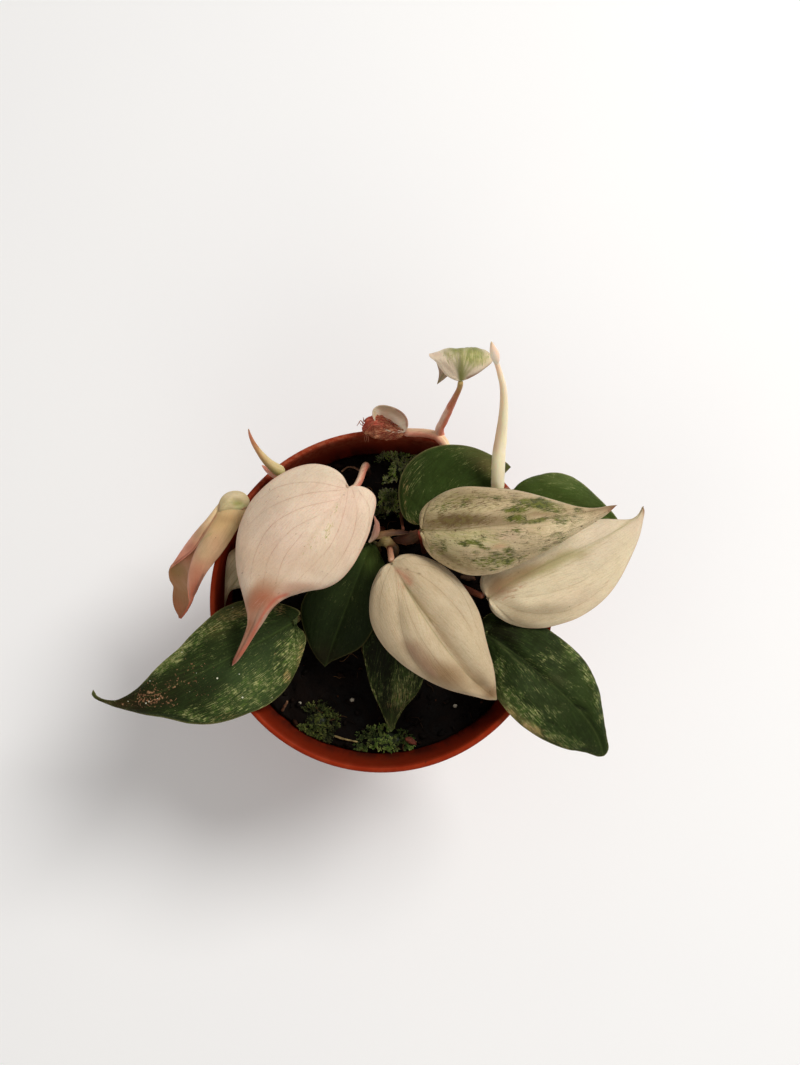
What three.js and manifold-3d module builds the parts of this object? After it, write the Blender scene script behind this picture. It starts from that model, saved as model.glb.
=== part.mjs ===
// Potted velvet leaf philodendron: a vining aroid with pink, cream, marbled and
// green heart-shaped leaves, planted in a 10.5 cm terracotta-coloured plastic pot.
// Millimetres, +Z up. The origin is the centre of the pot's underside.
import * as THREE from 'three';
import { mergeVertices } from 'three/addons/utils/BufferGeometryUtils.js';
import Module from 'manifold-3d';

const wasm = await Module();
wasm.setup();

// ---------------------------------------------------------------- driving dimensions
const POT_TOP_D = 105;        // outside diameter over the rim collar
const POT_H = 90;             // height of the pot
const POT_BASE_D = 75;        // outside diameter of the foot ring
const LIP = 2.0;              // width of the rim's top edge
const COLLAR_H = 9.5;         // height of the thicker rim collar
const WALL = 1.2;             // thickness of the side wall
const FLOOR_Z0 = 2.0;         // underside of the recessed floor
const FLOOR_Z1 = 3.2;         // inside of the floor
const PAD_R = 9;              // flat centre pad, level with the foot ring
const DRAIN_D = 6;            // drain holes
const DRAIN_N = 8;
const DRAIN_R = 25;           // pitch radius of the drain holes
const SOIL_Z = 76;            // top of the potting mix, 14 mm below the rim
const GAP = 0.3;              // clearance between neighbouring pieces
const BLADE_T = 0.6;          // thickness of a leaf blade
const POT_SEG = 48;

const rInAt = (z) => {        // inside radius of the pot wall at height z
  const r0 = POT_BASE_D / 2 - 0.4, r1 = POT_TOP_D / 2 - LIP;
  return r0 + (r1 - r0) * (z - FLOOR_Z1) / (POT_H - FLOOR_Z1);
};

// ---------------------------------------------------------------- helpers
const part = new THREE.Group();
part.name = 'potted_velvet_leaf_philodendron';

function add(name, geometry, color, roughness = 0.6, metalness = 0) {
  const mesh = new THREE.Mesh(geometry, new THREE.MeshStandardMaterial({ color, roughness, metalness }));
  mesh.name = name;
  part.add(mesh);
  return mesh;
}

function geometryFrom(verts, tris) {
  const g = new THREE.BufferGeometry();
  g.setAttribute('position', new THREE.Float32BufferAttribute(verts.flatMap((v) => [v.x, v.y, v.z]), 3));
  g.setIndex(tris.flat());
  g.computeVertexNormals();
  return g;
}

// a geometry with only positions and merged vertices, as a solid
function toSolid(geometry) {
  let g = geometry.clone();
  for (const k of Object.keys(g.attributes)) if (k !== 'position') g.deleteAttribute(k);
  g = mergeVertices(g, 1e-4);
  return new wasm.Manifold(new wasm.Mesh({
    numProp: 3,
    vertProperties: new Float32Array(g.attributes.position.array),
    triVerts: new Uint32Array(g.index.array),
  }));
}

function fromSolid(solid) {
  const m = solid.getMesh();
  const g = new THREE.BufferGeometry();
  const p = [];
  for (let i = 0; i < m.vertProperties.length; i += m.numProp) p.push(m.vertProperties[i], m.vertProperties[i + 1], m.vertProperties[i + 2]);
  g.setAttribute('position', new THREE.Float32BufferAttribute(p, 3));
  g.setIndex(Array.from(m.triVerts));
  g.computeVertexNormals();
  return g;
}

const V = (a) => new THREE.Vector3(a[0], a[1], a[2]);

// round or oval stem of constant thickness, swept along its own centre line
function sweep(points, radius, sides = 8, steps = 14) {
  const ring = [];
  for (let i = 0; i < sides; i++) {
    const a = 2 * Math.PI * i / sides;
    ring.push(new THREE.Vector2(radius * Math.cos(a), radius * Math.sin(a)));
  }
  const path = new THREE.CatmullRomCurve3(points.map(V), false, 'centripetal');
  return new THREE.ExtrudeGeometry(new THREE.Shape(ring), { steps, bevelEnabled: false, extrudePath: path });
}

// tapering rolled leaf or bract: rings of changing radius along a curve, closed at both ends
function taper(points, sides = 8, steps = 12) {
  const path = new THREE.CatmullRomCurve3(points.map(V), false, 'centripetal');
  const radii = new THREE.SplineCurve(points.map((p, i) => new THREE.Vector2(i / (points.length - 1), p[3])));
  const frames = path.computeFrenetFrames(steps, false);
  const verts = [], tris = [];
  for (let i = 0; i <= steps; i++) {
    const c = path.getPoint(i / steps), r = Math.max(0.1, radii.getPoint(i / steps).y);
    for (let k = 0; k < sides; k++) {
      const a = 2 * Math.PI * k / sides;
      verts.push(c.clone().addScaledVector(frames.normals[i], r * Math.cos(a)).addScaledVector(frames.binormals[i], r * Math.sin(a)));
    }
  }
  const first = verts.push(path.getPoint(0)) - 1, last = verts.push(path.getPoint(1)) - 1;
  for (let k = 0; k < sides; k++) {
    const k2 = (k + 1) % sides;
    tris.push([first, k2, k]);
    tris.push([last, steps * sides + k, steps * sides + k2]);
    for (let i = 0; i < steps; i++) {
      const a = i * sides + k, b = i * sides + k2, c = a + sides, d = b + sides;
      tris.push([a, b, d], [a, d, c]);
    }
  }
  return geometryFrom(verts, tris);
}

// Heart-shaped leaf blade. mid: the midrib from the petiole to the drip tip.
// left, right: the margins from beside the petiole, round the basal lobe, to the tip.
// Each half is ruled between the midrib and its margin; the rulings of the basal
// lobe fan out of the petiole's end. bulge: how far each half is puffed up.
function blade({ mid, left, right, s0 = 0.2, bulge = 1.2, thick = BLADE_T, ns = 15, nt = 3 }) {
  const M = new THREE.CatmullRomCurve3(mid.map(V), false, 'centripetal');
  const C = [left, right].map((m) => new THREE.CatmullRomCurve3(m.map(V), false, 'centripetal'));
  const i0 = Math.max(1, Math.round(s0 * ns));
  const verts = [], tris = [];
  const midIndex = [];
  for (let i = 0; i <= ns; i++) {
    if (i <= i0 && i > 0) { midIndex[i] = midIndex[0]; continue; }
    const u = i <= i0 ? 0 : (i - i0) / (ns - i0);
    midIndex[i] = verts.push(M.getPointAt(u)) - 1;
  }
  const grid = [0, 1].map((side) => {
    const rows = [];
    for (let i = 0; i <= ns; i++) {
      const row = [midIndex[i]];
      for (let j = 1; j <= nt; j++) {
        if (i === ns) { row.push(midIndex[ns]); continue; }
        const a = verts[midIndex[i]], b = C[side].getPointAt(i / ns);
        row.push(verts.push(a.clone().lerp(b, j / nt)) - 1);
      }
      rows.push(row);
    }
    return rows;
  });
  const addTri = (a, b, c) => { if (a !== b && b !== c && a !== c) tris.push([a, b, c]); };
  grid.forEach((rows, side) => {
    for (let i = 0; i < ns; i++) for (let j = 0; j < nt; j++) {
      const a = rows[i][j], b = rows[i + 1][j], c = rows[i + 1][j + 1], d = rows[i][j + 1];
      if (side === 0) { addTri(a, c, b); addTri(a, d, c); } else { addTri(a, b, c); addTri(a, c, d); }
    }
  });
  const normals = () => {
    const n = verts.map(() => new THREE.Vector3());
    const e1 = new THREE.Vector3(), e2 = new THREE.Vector3();
    for (const [a, b, c] of tris) {
      e1.subVectors(verts[b], verts[a]); e2.subVectors(verts[c], verts[a]); e1.cross(e2);
      n[a].add(e1); n[b].add(e1); n[c].add(e1);
    }
    return n.map((v) => v.normalize());
  };
  let n = normals();
  const flip = n.reduce((s, v) => s + v.z, 0) < 0;
  if (flip) { tris.forEach((t) => t.reverse()); n = normals(); }
  grid.forEach((rows) => {
    for (let i = 0; i < ns; i++) for (let j = 1; j < nt; j++) {
      const s = i / ns, t = j / nt;
      verts[rows[i][j]].addScaledVector(n[rows[i][j]], bulge * Math.sin(Math.PI * t) * Math.min(1, 4 * s + 0.2, 3 * (1 - s)));
    }
  });
  n = normals();
  const count = verts.length, out = [], solid = [];
  for (const s of [0.5, -0.5]) verts.forEach((v, k) => out.push(v.clone().addScaledVector(n[k], s * thick)));
  const edges = new Map();
  for (const [a, b, c] of tris) {
    solid.push([a, b, c], [a + count, c + count, b + count]);
    for (const [p, q] of [[a, b], [b, c], [c, a]]) {
      if (edges.has(q + '_' + p)) edges.delete(q + '_' + p); else edges.set(p + '_' + q, [p, q]);
    }
  }
  for (const [p, q] of edges.values()) solid.push([p, p + count, q + count], [p, q + count, q]);
  return geometryFrom(out, solid);
}

// low lumpy cushion with a flat underside
function cushion(cx, cy, rx, ry, h, z0, seed, nu = 12, nv = 4) {
  const verts = [], tris = [];
  const wob = (a, b) => 1 + 0.12 * Math.sin(3 * a + seed) + 0.09 * Math.sin(5 * a - 2 * seed + 4 * b) + 0.06 * Math.cos(8 * a + 3 * seed);
  for (let j = 0; j < nv; j++) {
    const e = 0.5 * Math.PI * j / nv;
    for (let i = 0; i < nu; i++) {
      const a = 2 * Math.PI * i / nu, w = wob(a, e);
      verts.push(new THREE.Vector3(cx + rx * w * Math.cos(e) * Math.cos(a), cy + ry * w * Math.cos(e) * Math.sin(a), z0 + h * Math.sin(e) * (1 + 0.15 * Math.sin(2 * a + seed))));
    }
  }
  const top = verts.push(new THREE.Vector3(cx, cy, z0 + h)) - 1;
  const bot = verts.push(new THREE.Vector3(cx, cy, z0)) - 1;
  for (let i = 0; i < nu; i++) {
    const k = (i + 1) % nu;
    tris.push([bot, k, i]);
    for (let j = 0; j < nv - 1; j++) tris.push([j * nu + i, j * nu + k, (j + 1) * nu + k], [j * nu + i, (j + 1) * nu + k, (j + 1) * nu + i]);
    tris.push([(nv - 1) * nu + i, (nv - 1) * nu + k, top]);
  }
  return geometryFrom(verts, tris);
}

// ---------------------------------------------------------------- pot
const Rt = POT_TOP_D / 2, Rb = POT_BASE_D / 2;
const bodyTop = rInAt(POT_H - COLLAR_H) + WALL;
const potProfile = [
  [0, 0], [PAD_R, 0], [PAD_R + 0.8, FLOOR_Z0], [Rb - 4.2, FLOOR_Z0], [Rb - 3.6, 0], [Rb - 0.6, 0], [Rb, 0.8],
  [bodyTop, POT_H - COLLAR_H], [Rt - 0.9, POT_H - COLLAR_H + 0.5], [Rt - 0.35, POT_H - COLLAR_H + 1.4], [Rt, POT_H - 0.9],
  [Rt - 0.35, POT_H - 0.2], [Rt - 1.0, POT_H], [Rt - LIP + 0.35, POT_H - 0.15], [rInAt(POT_H - 0.9), POT_H - 0.9],
  [rInAt(SOIL_Z), SOIL_Z], [rInAt(FLOOR_Z1 + 1.2), FLOOR_Z1 + 1.2], [rInAt(FLOOR_Z1) - 1.2, FLOOR_Z1], [0, FLOOR_Z1],
].map(([r, z]) => new THREE.Vector2(r, z));
const lathe = new THREE.LatheGeometry(potProfile, POT_SEG);
lathe.rotateX(Math.PI / 2);
let pot = toSolid(lathe);
for (let i = 0; i < DRAIN_N; i++) {
  const a = 2 * Math.PI * (i + 0.5) / DRAIN_N;
  const hole = new THREE.CylinderGeometry(DRAIN_D / 2, DRAIN_D / 2, 8, 16);
  hole.rotateX(Math.PI / 2);
  hole.translate(DRAIN_R * Math.cos(a), DRAIN_R * Math.sin(a), FLOOR_Z0);
  pot = pot.subtract(toSolid(hole));
}
add('pot', fromSolid(pot), 0xb5472c, 0.32);

// ---------------------------------------------------------------- measured shapes, millimetres
// midrib and the two margins of each blade
const BLADES = {
  leaf_pink_large: {
    mid: [
      [-9.22, 30.1, 111.0], [-13.32, 23.93, 113.0], [-17.42, 17.75, 114.0], [-21.58, 11.52, 113.8],
      [-25.84, 5.43, 112.6], [-30.53, -0.05, 110.5], [-34.55, -4.98, 107.6], [-37.55, -10.55, 104.2],
      [-40.54, -15.65, 101.2], [-43.52, -20.85, 98.5],
    ],
    left: [
      [-9.22, 30.1, 111.0], [-9.85, 31.96, 110.46], [-11.06, 34.0, 109.81], [-13.15, 35.79, 109.06],
      [-16.14, 37.15, 108.25], [-20.01, 37.77, 107.47], [-23.54, 37.24, 107.17], [-27.01, 35.86, 107.32],
      [-30.77, 33.64, 107.28], [-34.51, 30.53, 107.25], [-37.99, 26.76, 106.81], [-40.04, 23.02, 106.21],
      [-41.51, 18.99, 105.57], [-42.1, 14.56, 105.73], [-42.16, 10.19, 105.55], [-41.68, 5.86, 105.22],
      [-40.64, 1.54, 104.72], [-39.25, -2.22, 104.74], [-38.07, -5.38, 104.4], [-38.0, -7.65, 103.62],
      [-39.12, -10.78, 102.55], [-40.56, -13.92, 101.35], [-42.01, -16.8, 100.11], [-43.25, -19.4, 99.05],
      [-43.52, -20.85, 98.5],
    ],
    right: [
      [-9.22, 30.1, 111.0], [-8.1, 30.46, 110.62], [-6.4, 30.72, 110.06], [-4.4, 30.41, 109.4],
      [-2.68, 29.5, 108.76], [-1.39, 27.98, 108.23], [-1.1, 26.0, 107.77], [-1.55, 23.45, 107.18],
      [-2.26, 20.51, 107.21], [-2.97, 17.56, 107.34], [-4.11, 14.64, 107.31], [-5.53, 11.73, 107.33],
      [-7.24, 8.54, 107.4], [-9.11, 5.97, 107.01], [-11.28, 3.7, 106.63], [-13.9, 2.02, 106.03],
      [-17.06, 0.87, 105.95], [-20.24, 0.44, 105.82], [-23.16, 0.04, 105.4], [-25.5, -0.51, 105.11],
      [-27.44, -1.41, 105.59], [-29.68, -3.44, 105.82], [-31.64, -5.74, 105.86], [-33.45, -8.28, 104.94],
      [-35.57, -11.11, 103.89], [-37.79, -14.23, 102.21], [-40.04, -17.38, 100.5], [-42.1, -19.83, 99.19],
      [-43.52, -20.85, 98.5],
    ],
    s0: 0.16,
    bulge: 1.6,
    color: 0xe3c3b2,
  },
  leaf_green_left: {
    mid: [
      [-26.49, -7.66, 90.5], [-33.86, -12.27, 93.5], [-41.62, -16.76, 96.5], [-49.99, -21.43, 98.3],
      [-58.52, -25.76, 98.8], [-67.25, -29.37, 98.4], [-74.8, -31.14, 97.3], [-80.0, -31.17, 96.6],
      [-83.03, -30.54, 96.4], [-84.21, -29.42, 96.8], [-84.09, -27.8, 98.0],
    ],
    left: [
      [-26.49, -7.66, 90.5], [-25.63, -6.13, 90.28], [-24.76, -4.61, 90.05], [-26.33, -3.37, 89.81],
      [-29.45, -2.28, 89.44], [-32.56, -1.5, 89.21], [-36.51, -1.06, 89.43], [-40.02, -1.07, 90.42],
      [-42.92, -1.33, 91.25], [-45.77, -2.45, 92.12], [-48.57, -4.01, 93.06], [-51.32, -6.31, 94.0],
      [-54.12, -9.03, 94.54], [-56.86, -11.87, 95.27], [-59.58, -15.13, 95.88], [-62.34, -17.78, 96.35],
      [-65.14, -20.27, 96.59], [-67.37, -22.61, 96.73], [-69.29, -24.93, 96.94], [-72.15, -27.69, 96.81],
      [-75.35, -29.72, 96.65], [-77.39, -30.53, 96.57], [-79.5, -30.68, 96.38], [-81.89, -30.31, 96.3],
      [-83.31, -29.58, 96.57], [-83.77, -28.54, 97.26], [-84.09, -27.8, 98.0],
    ],
    right: [
      [-26.49, -7.66, 90.5], [-25.27, -9.16, 90.28], [-23.76, -10.67, 90.04], [-22.84, -12.47, 89.8],
      [-23.29, -15.48, 89.47], [-24.33, -18.79, 89.23], [-25.36, -21.79, 89.04], [-26.6, -24.47, 89.78],
      [-28.26, -27.28, 90.62], [-30.22, -29.62, 91.4], [-33.03, -31.93, 92.36], [-36.12, -33.64, 93.31],
      [-38.66, -34.63, 93.96], [-41.53, -35.77, 94.35], [-44.95, -36.9, 94.82], [-48.61, -37.71, 95.53],
      [-52.34, -37.92, 95.94], [-55.78, -37.66, 96.32], [-58.67, -37.07, 96.56], [-61.61, -36.35, 96.62],
      [-64.52, -35.71, 96.78], [-67.41, -35.32, 96.96], [-70.38, -34.76, 96.86], [-73.38, -33.99, 96.74],
      [-76.37, -33.24, 96.63], [-78.78, -32.53, 96.54], [-80.93, -31.75, 96.36], [-82.74, -31.03, 96.3],
      [-84.19, -30.16, 96.5], [-84.8, -29.07, 97.02], [-84.09, -27.8, 98.0],
    ],
    s0: 0.24,
    bulge: 1.2,
    color: 0x35512c,
  },
  leaf_green_center: {
    mid: [
      [-2.88, 16.94, 91.0], [-5.64, 10.38, 90.3], [-8.4, 3.4, 89.2], [-11.2, -3.86, 87.6], [-14.36, -12.05, 85.2],
      [-17.61, -21.23, 82.0],
    ],
    left: [
      [-2.88, 16.94, 91.0], [-3.81, 16.49, 90.88], [-5.96, 14.68, 90.54], [-9.04, 12.56, 90.1],
      [-12.45, 10.17, 89.35], [-16.49, 7.49, 88.38], [-20.24, 4.48, 87.41], [-23.38, 1.15, 86.46],
      [-24.93, -2.23, 86.01], [-25.08, -5.6, 85.52], [-24.33, -9.27, 84.81], [-23.11, -12.94, 84.16],
      [-21.59, -16.32, 83.37], [-19.75, -19.08, 82.65], [-17.61, -21.23, 82.0],
    ],
    right: [
      [-2.88, 16.94, 91.0], [-1.96, 16.03, 90.87], [-0.58, 13.44, 90.56], [0.81, 10.69, 90.32], [1.73, 7.34, 89.84],
      [1.88, 3.41, 89.16], [1.11, -0.84, 88.36], [-0.44, -5.38, 87.35], [-2.59, -9.94, 86.52],
      [-5.07, -13.89, 85.53], [-7.56, -16.03, 84.8], [-10.68, -17.55, 84.02], [-13.5, -18.77, 83.23],
      [-15.71, -19.69, 82.62], [-17.61, -21.23, 82.0],
    ],
    s0: 0.2,
    bulge: 1.2,
    color: 0x24401f,
  },
  leaf_green_small: {
    ns: 14,
    mid: [
      [5.41, -4.39, 86.0], [5.1, -11.46, 86.0], [4.48, -18.48, 85.4], [3.87, -25.79, 84.0], [3.4, -33.16, 82.0],
      [2.93, -41.18, 80.0],
    ],
    left: [
      [5.41, -4.39, 86.0], [4.17, -4.38, 85.86], [1.07, -4.98, 85.52], [-2.34, -6.81, 84.97], [-4.83, -10.18, 84.37],
      [-5.91, -14.17, 83.96], [-5.59, -17.85, 83.48], [-4.82, -21.54, 83.01], [-4.04, -25.21, 82.63],
      [-2.95, -28.59, 82.15], [-1.72, -31.35, 81.61], [-0.48, -33.96, 81.14], [0.6, -36.57, 80.74],
      [1.69, -38.88, 80.37], [2.93, -41.18, 80.0],
    ],
    right: [
      [5.41, -4.39, 86.0], [6.64, -4.38, 85.86], [9.43, -5.29, 85.54], [12.22, -7.43, 85.05], [14.08, -10.8, 84.5],
      [15.01, -14.79, 84.08], [14.85, -18.77, 83.57], [14.08, -22.15, 83.11], [12.83, -25.52, 82.75],
      [12.06, -27.66, 82.52], [10.82, -29.81, 82.15], [9.12, -31.81, 81.67], [7.27, -33.81, 81.23],
      [5.87, -35.96, 80.86], [4.79, -37.96, 80.53], [3.86, -39.8, 80.24], [2.93, -41.18, 80.0],
    ],
    s0: 0.2,
    bulge: 1.0,
    color: 0x2c4a27,
  },
  leaf_cream_center: {
    mid: [
      [3.24, 8.9, 104.0], [6.0, 4.02, 106.3], [8.86, -1.01, 108.0], [11.96, -6.19, 109.0], [15.33, -11.28, 109.2],
      [19.01, -16.32, 108.5], [22.74, -20.81, 107.0], [26.26, -24.77, 105.0], [29.87, -27.66, 102.6],
      [33.84, -30.59, 100.0],
    ],
    left: [
      [3.24, 8.9, 104.0], [2.21, 8.78, 103.77], [1.04, 8.23, 103.47], [-0.13, 7.23, 103.11], [-1.46, 4.94, 102.51],
      [-2.64, 2.07, 101.79], [-3.3, -1.13, 101.49], [-3.39, -4.38, 102.04], [-3.01, -7.59, 102.38],
      [-1.97, -10.64, 102.87], [-0.36, -13.53, 103.14], [1.68, -16.26, 103.27], [3.99, -18.54, 103.1],
      [6.43, -20.62, 103.54], [9.16, -22.58, 103.74], [12.6, -24.71, 103.82], [16.33, -26.5, 103.38],
      [20.06, -27.92, 103.13], [22.94, -28.69, 102.93], [25.84, -29.42, 102.45], [28.77, -30.16, 101.65],
      [31.44, -30.65, 100.77], [33.84, -30.59, 100.0],
    ],
    right: [
      [3.24, 8.9, 104.0], [3.96, 9.81, 103.72], [5.13, 11.04, 103.31], [6.89, 11.68, 102.85], [9.24, 11.84, 102.27],
      [11.9, 11.53, 101.62], [14.85, 10.58, 101.63], [17.75, 9.0, 102.24], [20.36, 6.99, 102.58],
      [22.8, 4.45, 103.09], [24.95, 1.66, 103.24], [26.96, -1.53, 103.1], [28.61, -5.05, 103.69],
      [29.72, -8.66, 103.77], [30.55, -12.54, 103.64], [31.49, -16.26, 103.21], [32.53, -19.97, 102.98],
      [33.2, -23.4, 102.44], [33.61, -26.84, 101.36], [33.84, -30.59, 100.0],
    ],
    s0: 0.18,
    bulge: 1.8,
    color: 0xe2d3b8,
  },
  leaf_splash: {
    mid: [
      [11.92, 18.05, 108.0], [17.65, 17.33, 112.0], [23.42, 17.46, 115.0], [29.42, 17.87, 117.0],
      [35.7, 18.4, 118.2], [42.33, 19.18, 118.6], [49.04, 20.19, 118.4], [55.82, 21.38, 118.0],
      [61.42, 22.51, 118.0], [65.95, 23.47, 119.0],
    ],
    left: [
      [11.92, 18.05, 108.0], [11.36, 19.58, 107.52], [11.23, 21.58, 106.95], [11.69, 23.74, 106.32],
      [13.03, 25.77, 105.71], [15.1, 27.66, 105.1], [17.73, 29.34, 105.68], [20.44, 30.25, 107.13],
      [23.43, 30.79, 108.21], [26.25, 30.7, 109.39], [29.35, 30.4, 110.18], [32.45, 30.03, 110.88],
      [36.42, 29.69, 111.29], [40.25, 28.83, 112.6], [44.07, 27.69, 113.61], [48.18, 26.34, 114.37],
      [52.26, 25.0, 115.09], [56.02, 23.8, 115.9], [58.93, 23.25, 116.67], [61.61, 23.21, 117.24],
      [63.67, 23.49, 118.05], [65.95, 23.47, 119.0],
    ],
    right: [
      [11.92, 18.05, 108.0], [12.01, 16.93, 107.66], [12.17, 14.97, 107.08], [13.04, 12.87, 106.4],
      [14.56, 10.9, 105.71], [16.61, 9.23, 105.04], [18.93, 7.62, 105.06], [21.17, 6.35, 106.16],
      [23.69, 5.29, 107.24], [26.35, 4.72, 108.05], [28.84, 4.63, 109.06], [31.5, 4.86, 109.65],
      [34.15, 5.46, 110.23], [36.97, 6.42, 110.57], [39.75, 7.55, 111.21], [42.48, 8.82, 112.12],
      [45.22, 10.16, 112.87], [47.98, 11.62, 113.5], [50.75, 13.2, 113.99], [53.51, 14.83, 114.51],
      [56.21, 16.43, 115.29], [58.89, 18.0, 116.13], [61.54, 19.7, 117.06], [63.41, 21.02, 117.63],
      [64.81, 22.31, 118.37], [65.95, 23.47, 119.0],
    ],
    s0: 0.18,
    bulge: 1.7,
    color: 0xc9bd92,
  },
  leaf_cream_right: {
    mid: [
      [32.12, -0.89, 98.0], [37.53, 3.06, 100.5], [43.2, 6.12, 102.5], [49.18, 9.05, 104.0], [55.19, 11.72, 105.0],
      [61.25, 14.43, 105.6], [67.12, 17.34, 105.8], [72.23, 20.46, 105.6], [75.18, 22.94, 105.8],
      [76.41, 25.25, 107.0],
    ],
    left: [
      [32.12, -0.89, 98.0], [30.97, 0.02, 97.71], [29.98, 1.54, 97.37], [29.59, 3.36, 97.01], [29.95, 5.49, 96.62],
      [31.53, 7.94, 96.1], [34.24, 10.63, 96.37], [37.79, 13.25, 97.2], [41.89, 15.68, 98.27], [46.59, 17.82, 99.14],
      [51.53, 19.63, 100.18], [56.68, 21.09, 101.46], [61.55, 21.99, 102.4], [65.81, 22.22, 103.23],
      [69.16, 21.99, 103.95], [72.25, 21.87, 104.53], [74.19, 22.24, 105.0], [75.63, 23.2, 105.48],
      [76.05, 24.2, 106.23], [76.41, 25.25, 107.0],
    ],
    right: [
      [32.12, -0.89, 98.0], [32.12, -2.06, 97.8], [32.57, -3.97, 97.47], [34.07, -5.87, 97.07],
      [36.48, -7.48, 96.55], [39.36, -8.78, 95.95], [42.47, -9.67, 95.92], [45.53, -9.98, 96.33],
      [48.74, -9.85, 96.73], [51.95, -9.13, 97.14], [55.15, -8.17, 97.58], [58.11, -7.0, 97.78],
      [61.07, -5.41, 97.97], [63.99, -3.43, 98.43], [66.58, -1.11, 99.11], [68.9, 1.65, 99.69],
      [70.95, 4.86, 100.21], [72.74, 8.23, 100.61], [74.21, 11.52, 101.68], [75.5, 14.79, 102.84],
      [76.46, 18.05, 103.89], [76.99, 21.18, 104.79], [77.1, 23.93, 106.09], [76.41, 25.25, 107.0],
    ],
    s0: 0.2,
    bulge: 1.4,
    color: 0xe4d6bb,
  },
  leaf_green_right: {
    mid: [
      [31.65, -11.33, 92.0], [36.39, -14.68, 95.0], [41.13, -18.23, 97.0], [45.91, -22.3, 98.0],
      [50.79, -26.64, 98.0], [55.83, -31.29, 97.0], [60.5, -36.02, 95.0], [64.22, -41.15, 92.0],
      [66.77, -47.54, 89.0],
    ],
    left: [
      [31.65, -11.33, 92.0], [31.1, -9.52, 91.73], [30.71, -7.09, 91.39], [32.43, -5.26, 91.04],
      [35.51, -4.64, 90.71], [39.75, -5.1, 90.84], [44.06, -6.54, 92.42], [48.07, -8.54, 93.5],
      [51.19, -10.65, 94.31], [54.07, -12.89, 94.63], [56.66, -15.12, 94.84], [58.97, -17.33, 94.89],
      [60.96, -19.84, 95.03], [62.56, -22.48, 94.79], [63.87, -25.27, 94.51], [65.08, -28.36, 94.0],
      [65.72, -31.75, 93.3], [66.36, -35.58, 92.52], [67.1, -39.46, 91.33], [67.81, -43.04, 90.32],
      [68.16, -44.98, 89.8], [67.76, -46.48, 89.39], [66.77, -47.54, 89.0],
    ],
    right: [
      [31.65, -11.33, 92.0], [30.76, -12.52, 91.75], [29.86, -14.61, 91.36], [29.56, -17.3, 90.92],
      [30.16, -20.29, 90.53], [31.26, -23.26, 91.29], [32.58, -26.49, 92.72], [34.21, -29.83, 93.75],
      [36.17, -32.71, 94.44], [38.44, -35.45, 94.83], [41.04, -37.9, 94.89], [43.93, -40.06, 94.97],
      [46.88, -41.9, 94.59], [49.88, -43.39, 94.05], [52.63, -44.52, 93.33], [55.05, -45.34, 92.85],
      [58.2, -45.91, 91.75], [61.05, -46.49, 90.78], [63.26, -47.23, 90.08], [65.16, -47.79, 89.48],
      [66.77, -47.54, 89.0],
    ],
    s0: 0.2,
    bulge: 1.3,
    color: 0x2e4d28,
  },
  leaf_green_back: {
    ns: 14,
    mid: [
      [15.44, 25.46, 95.0], [19.01, 28.75, 97.3], [23.16, 31.54, 98.8], [27.36, 34.04, 99.3], [31.61, 36.05, 99.2],
      [35.61, 37.72, 98.6], [39.33, 38.77, 98.0],
    ],
    left: [
      [15.44, 25.46, 95.0], [14.53, 23.97, 94.72], [13.32, 22.32, 94.39], [11.2, 21.67, 94.04], [8.77, 22.45, 93.54],
      [6.94, 24.07, 93.07], [5.81, 26.39, 93.09], [5.29, 29.48, 93.23], [5.16, 32.56, 93.45], [5.72, 36.07, 93.82],
      [7.25, 39.46, 94.1], [9.56, 42.13, 94.37], [12.17, 44.1, 94.66], [14.92, 45.35, 95.12], [17.98, 46.08, 95.58],
      [21.03, 46.37, 95.84], [24.08, 46.18, 96.09], [27.1, 45.64, 96.53], [30.1, 44.52, 97.03],
      [33.07, 42.96, 97.55], [35.76, 41.44, 97.82], [38.0, 40.24, 97.92], [39.33, 38.77, 98.0],
    ],
    right: [
      [15.44, 25.46, 95.0], [16.98, 25.24, 94.47], [19.45, 25.19, 93.82], [22.48, 25.59, 94.23],
      [25.77, 26.63, 95.37], [28.77, 28.36, 96.06], [31.45, 30.52, 96.85], [33.86, 33.05, 97.34],
      [35.98, 35.29, 97.68], [37.8, 37.1, 97.87], [39.33, 38.77, 98.0],
    ],
    s0: 0.2,
    bulge: 1.1,
    color: 0x365a2c,
  },
  leaf_green_back_right: {
    ns: 14,
    mid: [
      [40.4, 32.2, 94.5], [44.15, 30.34, 97.0], [49.67, 28.9, 98.2], [56.26, 27.52, 98.2], [63.16, 25.81, 96.6],
      [68.99, 23.83, 94.6], [73.67, 21.22, 92.5],
    ],
    left: [
      [40.4, 32.2, 94.5], [41.06, 33.33, 94.27], [42.2, 34.54, 93.97], [44.44, 35.99, 93.48], [47.25, 37.12, 93.29],
      [50.15, 37.65, 94.51], [52.86, 37.89, 94.86], [55.54, 37.51, 95.2], [58.59, 36.44, 95.07],
      [61.51, 34.34, 95.46], [64.22, 31.96, 95.3], [66.64, 29.62, 95.06], [68.83, 27.55, 94.49],
      [70.72, 25.63, 93.94], [72.35, 23.58, 93.25], [73.67, 21.22, 92.5],
    ],
    right: [
      [40.4, 32.2, 94.5], [39.8, 31.16, 94.26], [39.51, 28.76, 93.79], [40.3, 26.06, 93.21], [42.03, 23.81, 93.75],
      [44.61, 22.13, 94.67], [48.15, 20.67, 95.16], [52.09, 19.77, 95.03], [56.24, 19.4, 95.48],
      [60.55, 19.6, 95.17], [64.93, 20.06, 94.55], [69.09, 20.58, 93.69], [73.67, 21.22, 92.5],
    ],
    s0: 0.2,
    bulge: 1.0,
    color: 0x355a2b,
  },
  leaf_pink_folded: {
    mid: [
      [-48.11, 25.02, 99.5], [-51.31, 21.32, 98.0], [-54.95, 17.55, 94.5], [-58.19, 13.62, 89.0],
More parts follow.
